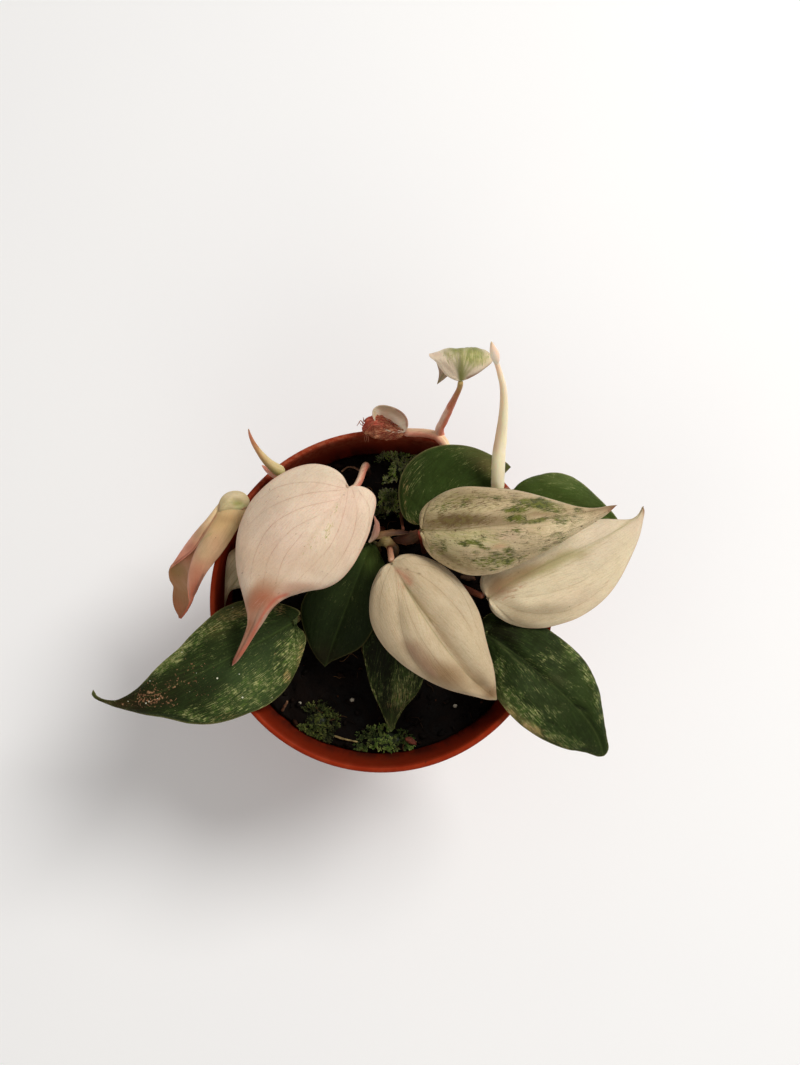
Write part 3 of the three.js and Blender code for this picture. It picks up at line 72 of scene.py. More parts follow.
# ------------------------------------------------------------------ tables
BLADES = {
    "leaf_pink_large": {"s0": 0.16, "bulge": 1.6,
        "mid": [(-9.22, 30.1, 111), (-13.32, 23.93, 113), (-17.42, 17.75, 114), (-21.58, 11.52, 113.8), (-25.84, 5.43, 112.6), (-30.53, -0.05, 110.5), (-34.55, -4.98, 107.6), (-37.55, -10.55, 104.2), (-40.54, -15.65, 101.2), (-43.52, -20.85, 98.5)],
        "left": [(-9.22, 30.1, 111), (-9.85, 31.96, 110.46), (-11.06, 34, 109.81), (-13.15, 35.79, 109.06), (-16.14, 37.15, 108.25), (-20.01, 37.77, 107.47), (-23.54, 37.24, 107.17), (-27.01, 35.86, 107.32), (-30.77, 33.64, 107.28), (-34.51, 30.53, 107.25), (-37.99, 26.76, 106.81), (-40.04, 23.02, 106.21), (-41.51, 18.99, 105.57), (-42.1, 14.56, 105.73), (-42.16, 10.19, 105.55), (-41.68, 5.86, 105.22), (-40.64, 1.54, 104.72), (-39.25, -2.22, 104.74), (-38.07, -5.38, 104.4), (-38, -7.65, 103.62), (-39.12, -10.78, 102.55), (-40.56, -13.92, 101.35), (-42.01, -16.8, 100.11), (-43.25, -19.4, 99.05), (-43.52, -20.85, 98.5)],
        "right": [(-9.22, 30.1, 111), (-8.1, 30.46, 110.62), (-6.4, 30.72, 110.06), (-4.4, 30.41, 109.4), (-2.68, 29.5, 108.76), (-1.39, 27.98, 108.23), (-1.1, 26, 107.77), (-1.55, 23.45, 107.18), (-2.26, 20.51, 107.21), (-2.97, 17.56, 107.34), (-4.11, 14.64, 107.31), (-5.53, 11.73, 107.33), (-7.24, 8.54, 107.4), (-9.11, 5.97, 107.01), (-11.28, 3.7, 106.63), (-13.9, 2.02, 106.03), (-17.06, 0.87, 105.95), (-20.24, 0.44, 105.82), (-23.16, 0.04, 105.4), (-25.5, -0.51, 105.11), (-27.44, -1.41, 105.59), (-29.68, -3.44, 105.82), (-31.64, -5.74, 105.86), (-33.45, -8.28, 104.94), (-35.57, -11.11, 103.89), (-37.79, -14.23, 102.21), (-40.04, -17.38, 100.5), (-42.1, -19.83, 99.19), (-43.52, -20.85, 98.5)],
    },
    "leaf_green_left": {"s0": 0.24, "bulge": 1.2,
        "mid": [(-26.49, -7.66, 90.5), (-33.86, -12.27, 93.5), (-41.62, -16.76, 96.5), (-49.99, -21.43, 98.3), (-58.52, -25.76, 98.8), (-67.25, -29.37, 98.4), (-74.8, -31.14, 97.3), (-80, -31.17, 96.6), (-83.03, -30.54, 96.4), (-84.21, -29.42, 96.8), (-84.09, -27.8, 98)],
        "left": [(-26.49, -7.66, 90.5), (-25.63, -6.13, 90.28), (-24.76, -4.61, 90.05), (-26.33, -3.37, 89.81), (-29.45, -2.28, 89.44), (-32.56, -1.5, 89.21), (-36.51, -1.06, 89.43), (-40.02, -1.07, 90.42), (-42.92, -1.33, 91.25), (-45.77, -2.45, 92.12), (-48.57, -4.01, 93.06), (-51.32, -6.31, 94), (-54.12, -9.03, 94.54), (-56.86, -11.87, 95.27), (-59.58, -15.13, 95.88), (-62.34, -17.78, 96.35), (-65.14, -20.27, 96.59), (-67.37, -22.61, 96.73), (-69.29, -24.93, 96.94), (-72.15, -27.69, 96.81), (-75.35, -29.72, 96.65), (-77.39, -30.53, 96.57), (-79.5, -30.68, 96.38), (-81.89, -30.31, 96.3), (-83.31, -29.58, 96.57), (-83.77, -28.54, 97.26), (-84.09, -27.8, 98)],
        "right": [(-26.49, -7.66, 90.5), (-25.27, -9.16, 90.28), (-23.76, -10.67, 90.04), (-22.84, -12.47, 89.8), (-23.29, -15.48, 89.47), (-24.33, -18.79, 89.23), (-25.36, -21.79, 89.04), (-26.6, -24.47, 89.78), (-28.26, -27.28, 90.62), (-30.22, -29.62, 91.4), (-33.03, -31.93, 92.36), (-36.12, -33.64, 93.31), (-38.66, -34.63, 93.96), (-41.53, -35.77, 94.35), (-44.95, -36.9, 94.82), (-48.61, -37.71, 95.53), (-52.34, -37.92, 95.94), (-55.78, -37.66, 96.32), (-58.67, -37.07, 96.56), (-61.61, -36.35, 96.62), (-64.52, -35.71, 96.78), (-67.41, -35.32, 96.96), (-70.38, -34.76, 96.86), (-73.38, -33.99, 96.74), (-76.37, -33.24, 96.63), (-78.78, -32.53, 96.54), (-80.93, -31.75, 96.36), (-82.74, -31.03, 96.3), (-84.19, -30.16, 96.5), (-84.8, -29.07, 97.02), (-84.09, -27.8, 98)],
    },
    "leaf_green_center": {"s0": 0.2, "bulge": 1.2,
        "mid": [(-2.88, 16.94, 91), (-5.64, 10.38, 90.3), (-8.4, 3.4, 89.2), (-11.2, -3.86, 87.6), (-14.36, -12.05, 85.2), (-17.61, -21.23, 82)],
        "left": [(-2.88, 16.94, 91), (-3.81, 16.49, 90.88), (-5.96, 14.68, 90.54), (-9.04, 12.56, 90.1), (-12.45, 10.17, 89.35), (-16.49, 7.49, 88.38), (-20.24, 4.48, 87.41), (-23.38, 1.15, 86.46), (-24.93, -2.23, 86.01), (-25.08, -5.6, 85.52), (-24.33, -9.27, 84.81), (-23.11, -12.94, 84.16), (-21.59, -16.32, 83.37), (-19.75, -19.08, 82.65), (-17.61, -21.23, 82)],
        "right": [(-2.88, 16.94, 91), (-1.96, 16.03, 90.87), (-0.58, 13.44, 90.56), (0.81, 10.69, 90.32), (1.73, 7.34, 89.84), (1.88, 3.41, 89.16), (1.11, -0.84, 88.36), (-0.44, -5.38, 87.35), (-2.59, -9.94, 86.52), (-5.07, -13.89, 85.53), (-7.56, -16.03, 84.8), (-10.68, -17.55, 84.02), (-13.5, -18.77, 83.23), (-15.71, -19.69, 82.62), (-17.61, -21.23, 82)],
    },
    "leaf_green_small": {"s0": 0.2, "bulge": 1,
        "mid": [(5.41, -4.39, 86), (5.1, -11.46, 86), (4.48, -18.48, 85.4), (3.87, -25.79, 84), (3.4, -33.16, 82), (2.93, -41.18, 80)],
        "left": [(5.41, -4.39, 86), (4.17, -4.38, 85.86), (1.07, -4.98, 85.52), (-2.34, -6.81, 84.97), (-4.83, -10.18, 84.37), (-5.91, -14.17, 83.96), (-5.59, -17.85, 83.48), (-4.82, -21.54, 83.01), (-4.04, -25.21, 82.63), (-2.95, -28.59, 82.15), (-1.72, -31.35, 81.61), (-0.48, -33.96, 81.14), (0.6, -36.57, 80.74), (1.69, -38.88, 80.37), (2.93, -41.18, 80)],
        "right": [(5.41, -4.39, 86), (6.64, -4.38, 85.86), (9.43, -5.29, 85.54), (12.22, -7.43, 85.05), (14.08, -10.8, 84.5), (15.01, -14.79, 84.08), (14.85, -18.77, 83.57), (14.08, -22.15, 83.11), (12.83, -25.52, 82.75), (12.06, -27.66, 82.52), (10.82, -29.81, 82.15), (9.12, -31.81, 81.67), (7.27, -33.81, 81.23), (5.87, -35.96, 80.86), (4.79, -37.96, 80.53), (3.86, -39.8, 80.24), (2.93, -41.18, 80)],
    },
    "leaf_cream_center": {"s0": 0.18, "bulge": 1.8,
        "mid": [(3.24, 8.9, 104), (6, 4.02, 106.3), (8.86, -1.01, 108), (11.96, -6.19, 109), (15.33, -11.28, 109.2), (19.01, -16.32, 108.5), (22.74, -20.81, 107), (26.26, -24.77, 105), (29.87, -27.66, 102.6), (33.84, -30.59, 100)],
        "left": [(3.24, 8.9, 104), (2.21, 8.78, 103.77), (1.04, 8.23, 103.47), (-0.13, 7.23, 103.11), (-1.46, 4.94, 102.51), (-2.64, 2.07, 101.79), (-3.3, -1.13, 101.49), (-3.39, -4.38, 102.04), (-3.01, -7.59, 102.38), (-1.97, -10.64, 102.87), (-0.36, -13.53, 103.14), (1.68, -16.26, 103.27), (3.99, -18.54, 103.1), (6.43, -20.62, 103.54), (9.16, -22.58, 103.74), (12.6, -24.71, 103.82), (16.33, -26.5, 103.38), (20.06, -27.92, 103.13), (22.94, -28.69, 102.93), (25.84, -29.42, 102.45), (28.77, -30.16, 101.65), (31.44, -30.65, 100.77), (33.84, -30.59, 100)],
        "right": [(3.24, 8.9, 104), (3.96, 9.81, 103.72), (5.13, 11.04, 103.31), (6.89, 11.68, 102.85), (9.24, 11.84, 102.27), (11.9, 11.53, 101.62), (14.85, 10.58, 101.63), (17.75, 9, 102.24), (20.36, 6.99, 102.58), (22.8, 4.45, 103.09), (24.95, 1.66, 103.24), (26.96, -1.53, 103.1), (28.61, -5.05, 103.69), (29.72, -8.66, 103.77), (30.55, -12.54, 103.64), (31.49, -16.26, 103.21), (32.53, -19.97, 102.98), (33.2, -23.4, 102.44), (33.61, -26.84, 101.36), (33.84, -30.59, 100)],
    },
    "leaf_splash": {"s0": 0.18, "bulge": 1.7,
        "mid": [(11.92, 18.05, 108), (17.65, 17.33, 112), (23.42, 17.46, 115), (29.42, 17.87, 117), (35.7, 18.4, 118.2), (42.33, 19.18, 118.6), (49.04, 20.19, 118.4), (55.82, 21.38, 118), (61.42, 22.51, 118), (65.95, 23.47, 119)],
        "left": [(11.92, 18.05, 108), (11.36, 19.58, 107.52), (11.23, 21.58, 106.95), (11.69, 23.74, 106.32), (13.03, 25.77, 105.71), (15.1, 27.66, 105.1), (17.73, 29.34, 105.68), (20.44, 30.25, 107.13), (23.43, 30.79, 108.21), (26.25, 30.7, 109.39), (29.35, 30.4, 110.18), (32.45, 30.03, 110.88), (36.42, 29.69, 111.29), (40.25, 28.83, 112.6), (44.07, 27.69, 113.61), (48.18, 26.34, 114.37), (52.26, 25, 115.09), (56.02, 23.8, 115.9), (58.93, 23.25, 116.67), (61.61, 23.21, 117.24), (63.67, 23.49, 118.05), (65.95, 23.47, 119)],
        "right": [(11.92, 18.05, 108), (12.01, 16.93, 107.66), (12.17, 14.97, 107.08), (13.04, 12.87, 106.4), (14.56, 10.9, 105.71), (16.61, 9.23, 105.04), (18.93, 7.62, 105.06), (21.17, 6.35, 106.16), (23.69, 5.29, 107.24), (26.35, 4.72, 108.05), (28.84, 4.63, 109.06), (31.5, 4.86, 109.65), (34.15, 5.46, 110.23), (36.97, 6.42, 110.57), (39.75, 7.55, 111.21), (42.48, 8.82, 112.12), (45.22, 10.16, 112.87), (47.98, 11.62, 113.5), (50.75, 13.2, 113.99), (53.51, 14.83, 114.51), (56.21, 16.43, 115.29), (58.89, 18, 116.13), (61.54, 19.7, 117.06), (63.41, 21.02, 117.63), (64.81, 22.31, 118.37), (65.95, 23.47, 119)],
    },
    "leaf_cream_right": {"s0": 0.2, "bulge": 1.4,
        "mid": [(32.12, -0.89, 98), (37.53, 3.06, 100.5), (43.2, 6.12, 102.5), (49.18, 9.05, 104), (55.19, 11.72, 105), (61.25, 14.43, 105.6), (67.12, 17.34, 105.8), (72.23, 20.46, 105.6), (75.18, 22.94, 105.8), (76.41, 25.25, 107)],
        "left": [(32.12, -0.89, 98), (30.97, 0.02, 97.71), (29.98, 1.54, 97.37), (29.59, 3.36, 97.01), (29.95, 5.49, 96.62), (31.53, 7.94, 96.1), (34.24, 10.63, 96.37), (37.79, 13.25, 97.2), (41.89, 15.68, 98.27), (46.59, 17.82, 99.14), (51.53, 19.63, 100.18), (56.68, 21.09, 101.46), (61.55, 21.99, 102.4), (65.81, 22.22, 103.23), (69.16, 21.99, 103.95), (72.25, 21.87, 104.53), (74.19, 22.24, 105), (75.63, 23.2, 105.48), (76.05, 24.2, 106.23), (76.41, 25.25, 107)],
        "right": [(32.12, -0.89, 98), (32.12, -2.06, 97.8), (32.57, -3.97, 97.47), (34.07, -5.87, 97.07), (36.48, -7.48, 96.55), (39.36, -8.78, 95.95), (42.47, -9.67, 95.92), (45.53, -9.98, 96.33), (48.74, -9.85, 96.73), (51.95, -9.13, 97.14), (55.15, -8.17, 97.58), (58.11, -7, 97.78), (61.07, -5.41, 97.97), (63.99, -3.43, 98.43), (66.58, -1.11, 99.11), (68.9, 1.65, 99.69), (70.95, 4.86, 100.21), (72.74, 8.23, 100.61), (74.21, 11.52, 101.68), (75.5, 14.79, 102.84), (76.46, 18.05, 103.89), (76.99, 21.18, 104.79), (77.1, 23.93, 106.09), (76.41, 25.25, 107)],
    },
    "leaf_green_right": {"s0": 0.2, "bulge": 1.3,
        "mid": [(31.65, -11.33, 92), (36.39, -14.68, 95), (41.13, -18.23, 97), (45.91, -22.3, 98), (50.79, -26.64, 98), (55.83, -31.29, 97), (60.5, -36.02, 95), (64.22, -41.15, 92), (66.77, -47.54, 89)],
        "left": [(31.65, -11.33, 92), (31.1, -9.52, 91.73), (30.71, -7.09, 91.39), (32.43, -5.26, 91.04), (35.51, -4.64, 90.71), (39.75, -5.1, 90.84), (44.06, -6.54, 92.42), (48.07, -8.54, 93.5), (51.19, -10.65, 94.31), (54.07, -12.89, 94.63), (56.66, -15.12, 94.84), (58.97, -17.33, 94.89), (60.96, -19.84, 95.03), (62.56, -22.48, 94.79), (63.87, -25.27, 94.51), (65.08, -28.36, 94), (65.72, -31.75, 93.3), (66.36, -35.58, 92.52), (67.1, -39.46, 91.33), (67.81, -43.04, 90.32), (68.16, -44.98, 89.8), (67.76, -46.48, 89.39), (66.77, -47.54, 89)],
        "right": [(31.65, -11.33, 92), (30.76, -12.52, 91.75), (29.86, -14.61, 91.36), (29.56, -17.3, 90.92), (30.16, -20.29, 90.53), (31.26, -23.26, 91.29), (32.58, -26.49, 92.72), (34.21, -29.83, 93.75), (36.17, -32.71, 94.44), (38.44, -35.45, 94.83), (41.04, -37.9, 94.89), (43.93, -40.06, 94.97), (46.88, -41.9, 94.59), (49.88, -43.39, 94.05), (52.63, -44.52, 93.33), (55.05, -45.34, 92.85), (58.2, -45.91, 91.75), (61.05, -46.49, 90.78), (63.26, -47.23, 90.08), (65.16, -47.79, 89.48), (66.77, -47.54, 89)],
    },
    "leaf_green_back": {"s0": 0.2, "bulge": 1.1,
        "mid": [(15.44, 25.46, 95), (19.01, 28.75, 97.3), (23.16, 31.54, 98.8), (27.36, 34.04, 99.3), (31.61, 36.05, 99.2), (35.61, 37.72, 98.6), (39.33, 38.77, 98)],
        "left": [(15.44, 25.46, 95), (14.53, 23.97, 94.72), (13.32, 22.32, 94.39), (11.2, 21.67, 94.04), (8.77, 22.45, 93.54), (6.94, 24.07, 93.07), (5.81, 26.39, 93.09), (5.29, 29.48, 93.23), (5.16, 32.56, 93.45), (5.72, 36.07, 93.82), (7.25, 39.46, 94.1), (9.56, 42.13, 94.37), (12.17, 44.1, 94.66), (14.92, 45.35, 95.12), (17.98, 46.08, 95.58), (21.03, 46.37, 95.84), (24.08, 46.18, 96.09), (27.1, 45.64, 96.53), (30.1, 44.52, 97.03), (33.07, 42.96, 97.55), (35.76, 41.44, 97.82), (38, 40.24, 97.92), (39.33, 38.77, 98)],
        "right": [(15.44, 25.46, 95), (16.98, 25.24, 94.47), (19.45, 25.19, 93.82), (22.48, 25.59, 94.23), (25.77, 26.63, 95.37), (28.77, 28.36, 96.06), (31.45, 30.52, 96.85), (33.86, 33.05, 97.34), (35.98, 35.29, 97.68), (37.8, 37.1, 97.87), (39.33, 38.77, 98)],
    },
    "leaf_green_back_right": {"s0": 0.2, "bulge": 1,
        "mid": [(40.4, 32.2, 94.5), (44.15, 30.34, 97), (49.67, 28.9, 98.2), (56.26, 27.52, 98.2), (63.16, 25.81, 96.6), (68.99, 23.83, 94.6), (73.67, 21.22, 92.5)],
        "left": [(40.4, 32.2, 94.5), (41.06, 33.33, 94.27), (42.2, 34.54, 93.97), (44.44, 35.99, 93.48), (47.25, 37.12, 93.29), (50.15, 37.65, 94.51), (52.86, 37.89, 94.86), (55.54, 37.51, 95.2), (58.59, 36.44, 95.07), (61.51, 34.34, 95.46), (64.22, 31.96, 95.3), (66.64, 29.62, 95.06), (68.83, 27.55, 94.49), (70.72, 25.63, 93.94), (72.35, 23.58, 93.25), (73.67, 21.22, 92.5)],
        "right": [(40.4, 32.2, 94.5), (39.8, 31.16, 94.26), (39.51, 28.76, 93.79), (40.3, 26.06, 93.21), (42.03, 23.81, 93.75), (44.61, 22.13, 94.67), (48.15, 20.67, 95.16), (52.09, 19.77, 95.03), (56.24, 19.4, 95.48), (60.55, 19.6, 95.17), (64.93, 20.06, 94.55), (69.09, 20.58, 93.69), (73.67, 21.22, 92.5)],
    },
    "leaf_pink_folded": {"s0": 0.2, "bulge": 0.5,
        "mid": [(-48.11, 25.02, 99.5), (-51.31, 21.32, 98), (-54.95, 17.55, 94.5), (-58.19, 13.62, 89), (-60.66, 9.27, 83), (-62.49, 4.77, 76.5), (-63.48, 0.98, 71), (-65.4, -2.35, 66.5), (-68.03, -5.27, 62)],
        "left": [(-48.11, 25.02, 99.5), (-50.25, 25.32, 98.6), (-51.94, 24.09, 96.8), (-55.12, 22.23, 93), (-58.81, 19.77, 88.5), (-62.37, 16.82, 83.5), (-65.69, 13.91, 78.5), (-68.39, 11.22, 75), (-69.82, 9.02, 72.5), (-69.75, 6.91, 70.5), (-69.08, 5.23, 69), (-69.81, 2.62, 66.5), (-69.93, -0.4, 64.5), (-69.21, -2.98, 63), (-68.03, -5.27, 62)],
        "right": [(-48.11, 25.02, 99.5), (-48.33, 27.45, 99.5), (-47.59, 29.67, 99), (-46.32, 31.08, 98), (-44.25, 31.63, 97), (-42.05, 31.2, 96.5), (-40.35, 29.82, 96.5), (-39.77, 27.89, 97), (-40.54, 25.51, 97.5), (-41.68, 23.07, 97.5), (-43.35, 20.25, 97), (-45.41, 17.04, 96), (-47.87, 13.73, 94.5), (-50.46, 10.76, 92.5), (-53.03, 7.95, 90), (-55.71, 5.15, 85), (-58.35, 2.65, 79), (-61.05, 0.35, 73), (-64.02, -2.08, 67.5), (-66.26, -4.03, 64), (-68.03, -5.27, 62)],
    },
    "leaf_cream_small": {"s0": 0.2, "bulge": 0.5,
        "mid": [(-37.17, 16.31, 87.5), (-40.63, 11.51, 88.5), (-43.65, 6.88, 88.2), (-46.31, 2.62, 87.4), (-47.85, -0.73, 86.8), (-48.68, -3.45, 85.8)],
        "left": [(-37.17, 16.31, 87.5), (-38.47, 17.58, 87.32), (-40.69, 17.92, 87.12), (-43.16, 16.98, 87.1), (-45.57, 15.38, 87.36), (-47.35, 13.79, 87.57), (-48.16, 11.01, 87.34), (-48.47, 7.28, 87.27), (-48.56, 3.9, 86.98), (-48.58, 0.51, 86.69), (-48.67, -1.93, 86.21), (-48.68, -3.45, 85.8)],
        "right": [(-37.17, 16.31, 87.5), (-35.95, 15.09, 87.18), (-35.35, 12.64, 86.71), (-35.92, 9.53, 86.58), (-37.7, 6.4, 86.7), (-40.18, 4.25, 86.41), (-42.92, 3, 86.52), (-45.09, 2.6, 86.49), (-46.62, 1.92, 86.46), (-47.4, 0.53, 86.42), (-48.06, -1.32, 86.28), (-48.68, -3.45, 85.8)],
    },
    "leaf_top_small": {"s0": 0.2, "bulge": 0.5,
        "mid": [(23.2, 59.05, 120), (22.95, 60.95, 124), (22.8, 63.26, 126.5), (22.86, 65.59, 126), (22.58, 67.43, 122), (21.83, 68.36, 116), (20.72, 67.7, 110), (19.04, 65.98, 105), (16.94, 63.82, 101)],
        "left": [(23.2, 59.05, 120), (22.07, 58.76, 120), (20.35, 59.18, 120.5), (18.62, 59.88, 121.5), (17.02, 61.28, 123), (15.73, 62.96, 124), (14.21, 64.41, 124), (13.83, 65.62, 123), (14.53, 67.31, 119), (15.57, 68.15, 114), (16.64, 67.74, 109), (17.37, 66.43, 105.5), (17.32, 65.07, 103), (16.94, 63.82, 101)],
        "right": [(23.2, 59.05, 120), (24.33, 59.34, 120), (26.27, 60.06, 120.5), (28.4, 60.88, 122), (30.23, 61.83, 123.5), (31.4, 62.94, 124.5), (31.24, 64.5, 125), (29.97, 66.29, 124), (28.39, 68.14, 120), (26.52, 69.01, 115), (24.26, 68.62, 110), (21.8, 67.03, 106.5), (19.28, 65.07, 103), (16.94, 63.82, 101)],
    },
    "leaf_unfurling_top": {"s0": 0.2, "bulge": 0.3,
        "mid": [(6.95, 50.6, 95.5), (5.09, 53.69, 92.2), (2.59, 55.89, 91.2), (0.12, 57, 93), (-2.53, 56.55, 98)],
        "left": [(6.95, 50.6, 95.5), (7.86, 51.6, 96.5), (7.71, 53.67, 97), (6.48, 55.72, 97), (4.49, 57.14, 97), (2.04, 57.88, 97.2), (-0.4, 57.71, 97.8), (-2.53, 56.55, 98)],
        "right": [(6.95, 50.6, 95.5), (5.72, 50.19, 96.5), (3.27, 50.4, 97.5), (0.84, 51.21, 98), (-0.99, 53.04, 98.2), (-2.06, 54.92, 98.2), (-2.53, 56.55, 98)],
    },
}
STEMS = {
    "petiole_pink_large": [(-5.17, 41.26, 64), (-4.99, 40.94, 74), (-5.08, 41.91, 85), (-5.5, 38.38, 95.5), (-6.2, 33.72, 103.2), (-7.4, 30.66, 107.3), (-8.58, 29.78, 109)],
    "petiole_cream_center": [(-1.04, 26.81, 64), (-0.33, 23.63, 74), (0.8, 20.21, 82), (2.02, 16.61, 90), (2.81, 12.91, 97.5), (3.16, 10.15, 102), (3.2, 9.49, 102.9)],
    "petiole_cream_right": [(15.12, 12.2, 64), (16.07, 10.08, 75), (19.18, 6.97, 84), (23.44, 3.6, 90.5), (27.65, 1.14, 94.8), (30.76, -0.44, 96.7)],
    "petiole_splash": [(13.79, 16.26, 64), (13.53, 15.74, 74), (13.08, 16.31, 85), (12.53, 17.18, 95), (12.05, 17.8, 102.5), (11.91, 17.93, 106)],
    "petiole_green_back": [(11.1, 18.63, 64), (11.26, 18.69, 74), (12.04, 20.71, 83), (13.46, 23.23, 89.5), (14.83, 25.07, 93.2)],
    "petiole_green_center": [(-2.35, 15.58, 64), (-1.77, 15.08, 74), (-1.09, 15.41, 82), (-1.57, 16.18, 88), (-2.37, 16.71, 89.7)],
    "petiole_green_small": [(7.05, 3.47, 64), (7.01, 1.74, 74), (6.51, -0.94, 80.5), (5.78, -3.19, 84), (5.59, -3.86, 84.8)],
    "petiole_green_right": [(21.05, -3.2, 64), (21.51, -4.38, 74), (24.13, -7.03, 83), (27.69, -9.57, 89), (30.89, -10.94, 91.2)],
    "petiole_green_left": [(-16.36, 4.14, 64), (-16.27, 2.71, 74), (-19.05, -0.21, 79), (-22.34, -2.84, 80.7), (-25.2, -5.25, 81.6), (-26.2, -6.99, 87), (-26.3, -7.33, 88.5)],
    "petiole_pink_folded": [(-26.75, 27.83, 64), (-26.88, 26.45, 75), (-29.77, 26.63, 86), (-34.74, 27.03, 93), (-41.08, 26.64, 95.3), (-45.98, 25.66, 96.6), (-48.08, 25.06, 97.4)],
    "petiole_cream_small": [(-30.65, 18.29, 64), (-30.43, 17.38, 74), (-32.76, 17.14, 81), (-35.88, 16.84, 85.8), (-36.58, 16.63, 86.7)],
    "petiole_green_back_right": [(35.47, 30.32, 94.6), (37.12, 31.47, 95.1), (38.53, 32.15, 95.1), (39.44, 32.26, 95.15)],
    "petiole_top_small": [(17.88, 51.21, 95), (18.96, 52.96, 98.5), (20.36, 55.01, 104), (21.74, 56.63, 111), (22.72, 57.83, 116.4), (23.05, 58.49, 119.2)],
    "stem_left": [(-10.59, 23.68, 62), (-10.61, 22.31, 74), (-12.77, 22.28, 81), (-17.26, 23.92, 85), (-22.35, 26.93, 88), (-25.82, 30.51, 91), (-28.07, 34.13, 93.4), (-28.89, 35.8, 94.4)],
    "stem_right": [(18.57, 14.45, 62), (18.72, 14.43, 74), (22.25, 17.14, 81), (27.01, 21.23, 86), (31.67, 25.58, 90.5), (34.08, 28.43, 93)],
    "stem_over_rim": [(17.96, 26.77, 62), (17.82, 26.94, 74), (18.8, 31.49, 82), (20.16, 37.52, 87.5), (20.66, 42.28, 90.6), (20.3, 45.45, 92), (19.06, 48.06, 92.4), (17.06, 49.92, 92.2), (14.13, 50.8, 91.75), (10.7, 51.07, 91.7), (8.05, 51, 92)],
    "stem_center": [(3.01, 12.41, 62), (3.12, 12.14, 74), (3.49, 13.73, 80), (3.98, 15.24, 83.4), (3.68, 16.57, 85.4)],
    "petiole_dry_stub": [(5.72, 31.61, 64), (5.88, 28.93, 74), (6.19, 25.03, 84), (6.49, 21.9, 90), (6.63, 20.34, 92.2)],
}
SPIKES = {
    "sheath_red_fibrous": [(-5.79, 51.45, 92.2, 0.7), (-3.6, 51.96, 92.7, 2), (-0.49, 51.59, 92.9, 2.45), (3.23, 50.98, 92.8, 2.1), (6.65, 50.77, 92.4, 1)],
    "node_crown": [(-0.74, 14.96, 96.8, 0.5), (0.92, 15.49, 97.4, 1.2), (2.72, 15.66, 97.3, 1.25), (4.21, 15.58, 96.7, 0.7)],
    "cataphyll_left": [(-3.14, 17.04, 92.6, 0.35), (-1, 18.54, 92.9, 0.9), (2.36, 18.96, 93.2, 1), (6.02, 19.11, 93.2, 0.4)],
    "cataphyll_right": [(3.88, 17.12, 92, 0.4), (6.33, 17.35, 92.6, 1.3), (8.77, 17.75, 93, 1.6), (10.75, 18.34, 93.2, 0.9)],
    "bract_center": [(-2.1, 23.44, 98, 0.2), (-1.51, 20.86, 97, 0.8), (-2.29, 18.29, 95.8, 0.7), (-3.52, 16.57, 95, 0.2)],
    "spike_tall": [(34.93, 30.74, 99.8, 2.1), (34.72, 32.75, 102, 2.35), (34.68, 35.9, 104.3, 2.25), (34.73, 40.37, 107.2, 2.1), (35.02, 44.66, 110.5, 1.85), (35.14, 48.75, 115.2, 1.5), (34.94, 52.65, 120, 1.2), (34.21, 55.91, 124.5, 0.95), (32.88, 58.71, 128.2, 0.75), (31.82, 60.66, 130.8, 0.7)],
    "spike_left": [(-29.49, 37.34, 96, 1.5), (-31.6, 38.13, 97.4, 1.75), (-34.05, 39.81, 99.6, 1.35), (-36.17, 42.15, 102.8, 0.95), (-37.43, 44.17, 106.4, 0.65), (-38.01, 45.83, 109.4, 0.42), (-38.15, 47.1, 111.4, 0.16)],
    "bract_left": [(-31.03, 36.47, 93.4, 0.75), (-33.23, 37.61, 93.2, 0.8), (-35.2, 38.94, 93.6, 0.55), (-36.67, 40.13, 94.2, 0.14)],
    "bract_tall_tip": [(31.65, 60.81, 131.6, 0.95), (31.01, 61.87, 133.8, 1.25), (30.31, 63.03, 135.6, 0.8), (29.84, 64.18, 137, 0.15)],
}
CUSHIONS = {"moss_back": {"at": (5.89, 42.59, 3.65, 2.83, 5.2)}, "moss_middle": {"at": (1.82, 30.66, 3.19, 3.38, 3.4)}, "moss_front_left": {"at": (-20.04, -38.67, 3.88, 3.85, 3.2)}, "moss_front": {"at": (0.71, -44.51, 5.87, 3.01, 2.4)}}
BITS = {"straw": {"points": [(-14.96, -42.65, 76.8), (-11.16, -43.68, 77.4), (-7.42, -44.47, 77)], "r": 0.35}, "stick_wall": {"points": [(-31.36, -34.94, 77.1), (-30.4, -33.47, 78.7), (-29.28, -31.71, 80.4)], "r": 0.45}, "bark_bit_front": {"points": [(7.9, -43.52, 77.4), (9.15, -44.12, 77.6), (10.09, -44.74, 77.4)], "r": 0.8}, "bark_bit_left": {"points": [(-43.45, -0.1, 77.4), (-41.84, 0.84, 77.6), (-39.95, 0.54, 77.4)], "r": 0.8}, "bark_bit_right": {"points": [(25.58, 7.57, 77.5), (27.47, 6.59, 77.7), (29.09, 6.93, 77.5)], "r": 0.85}, "root_thread_back": {"points": [(-13.53, 41.67, 76.9), (-11.23, 43.23, 77.4), (-8.96, 42.96, 77.1), (-7.66, 42, 76.9)], "r": 0.35}}
GRAINS = [("perlite_grain_left", -38.4, -3.88, 0.8), ("perlite_grain_front", -9.42, -31.56, 0.85), ("perlite_grain_front_left", -25.81, -32.49, 0.7), ("perlite_grain_right", 23.04, -33.42, 0.8), ("perlite_grain_middle", 10.28, 36.44, 0.6)]

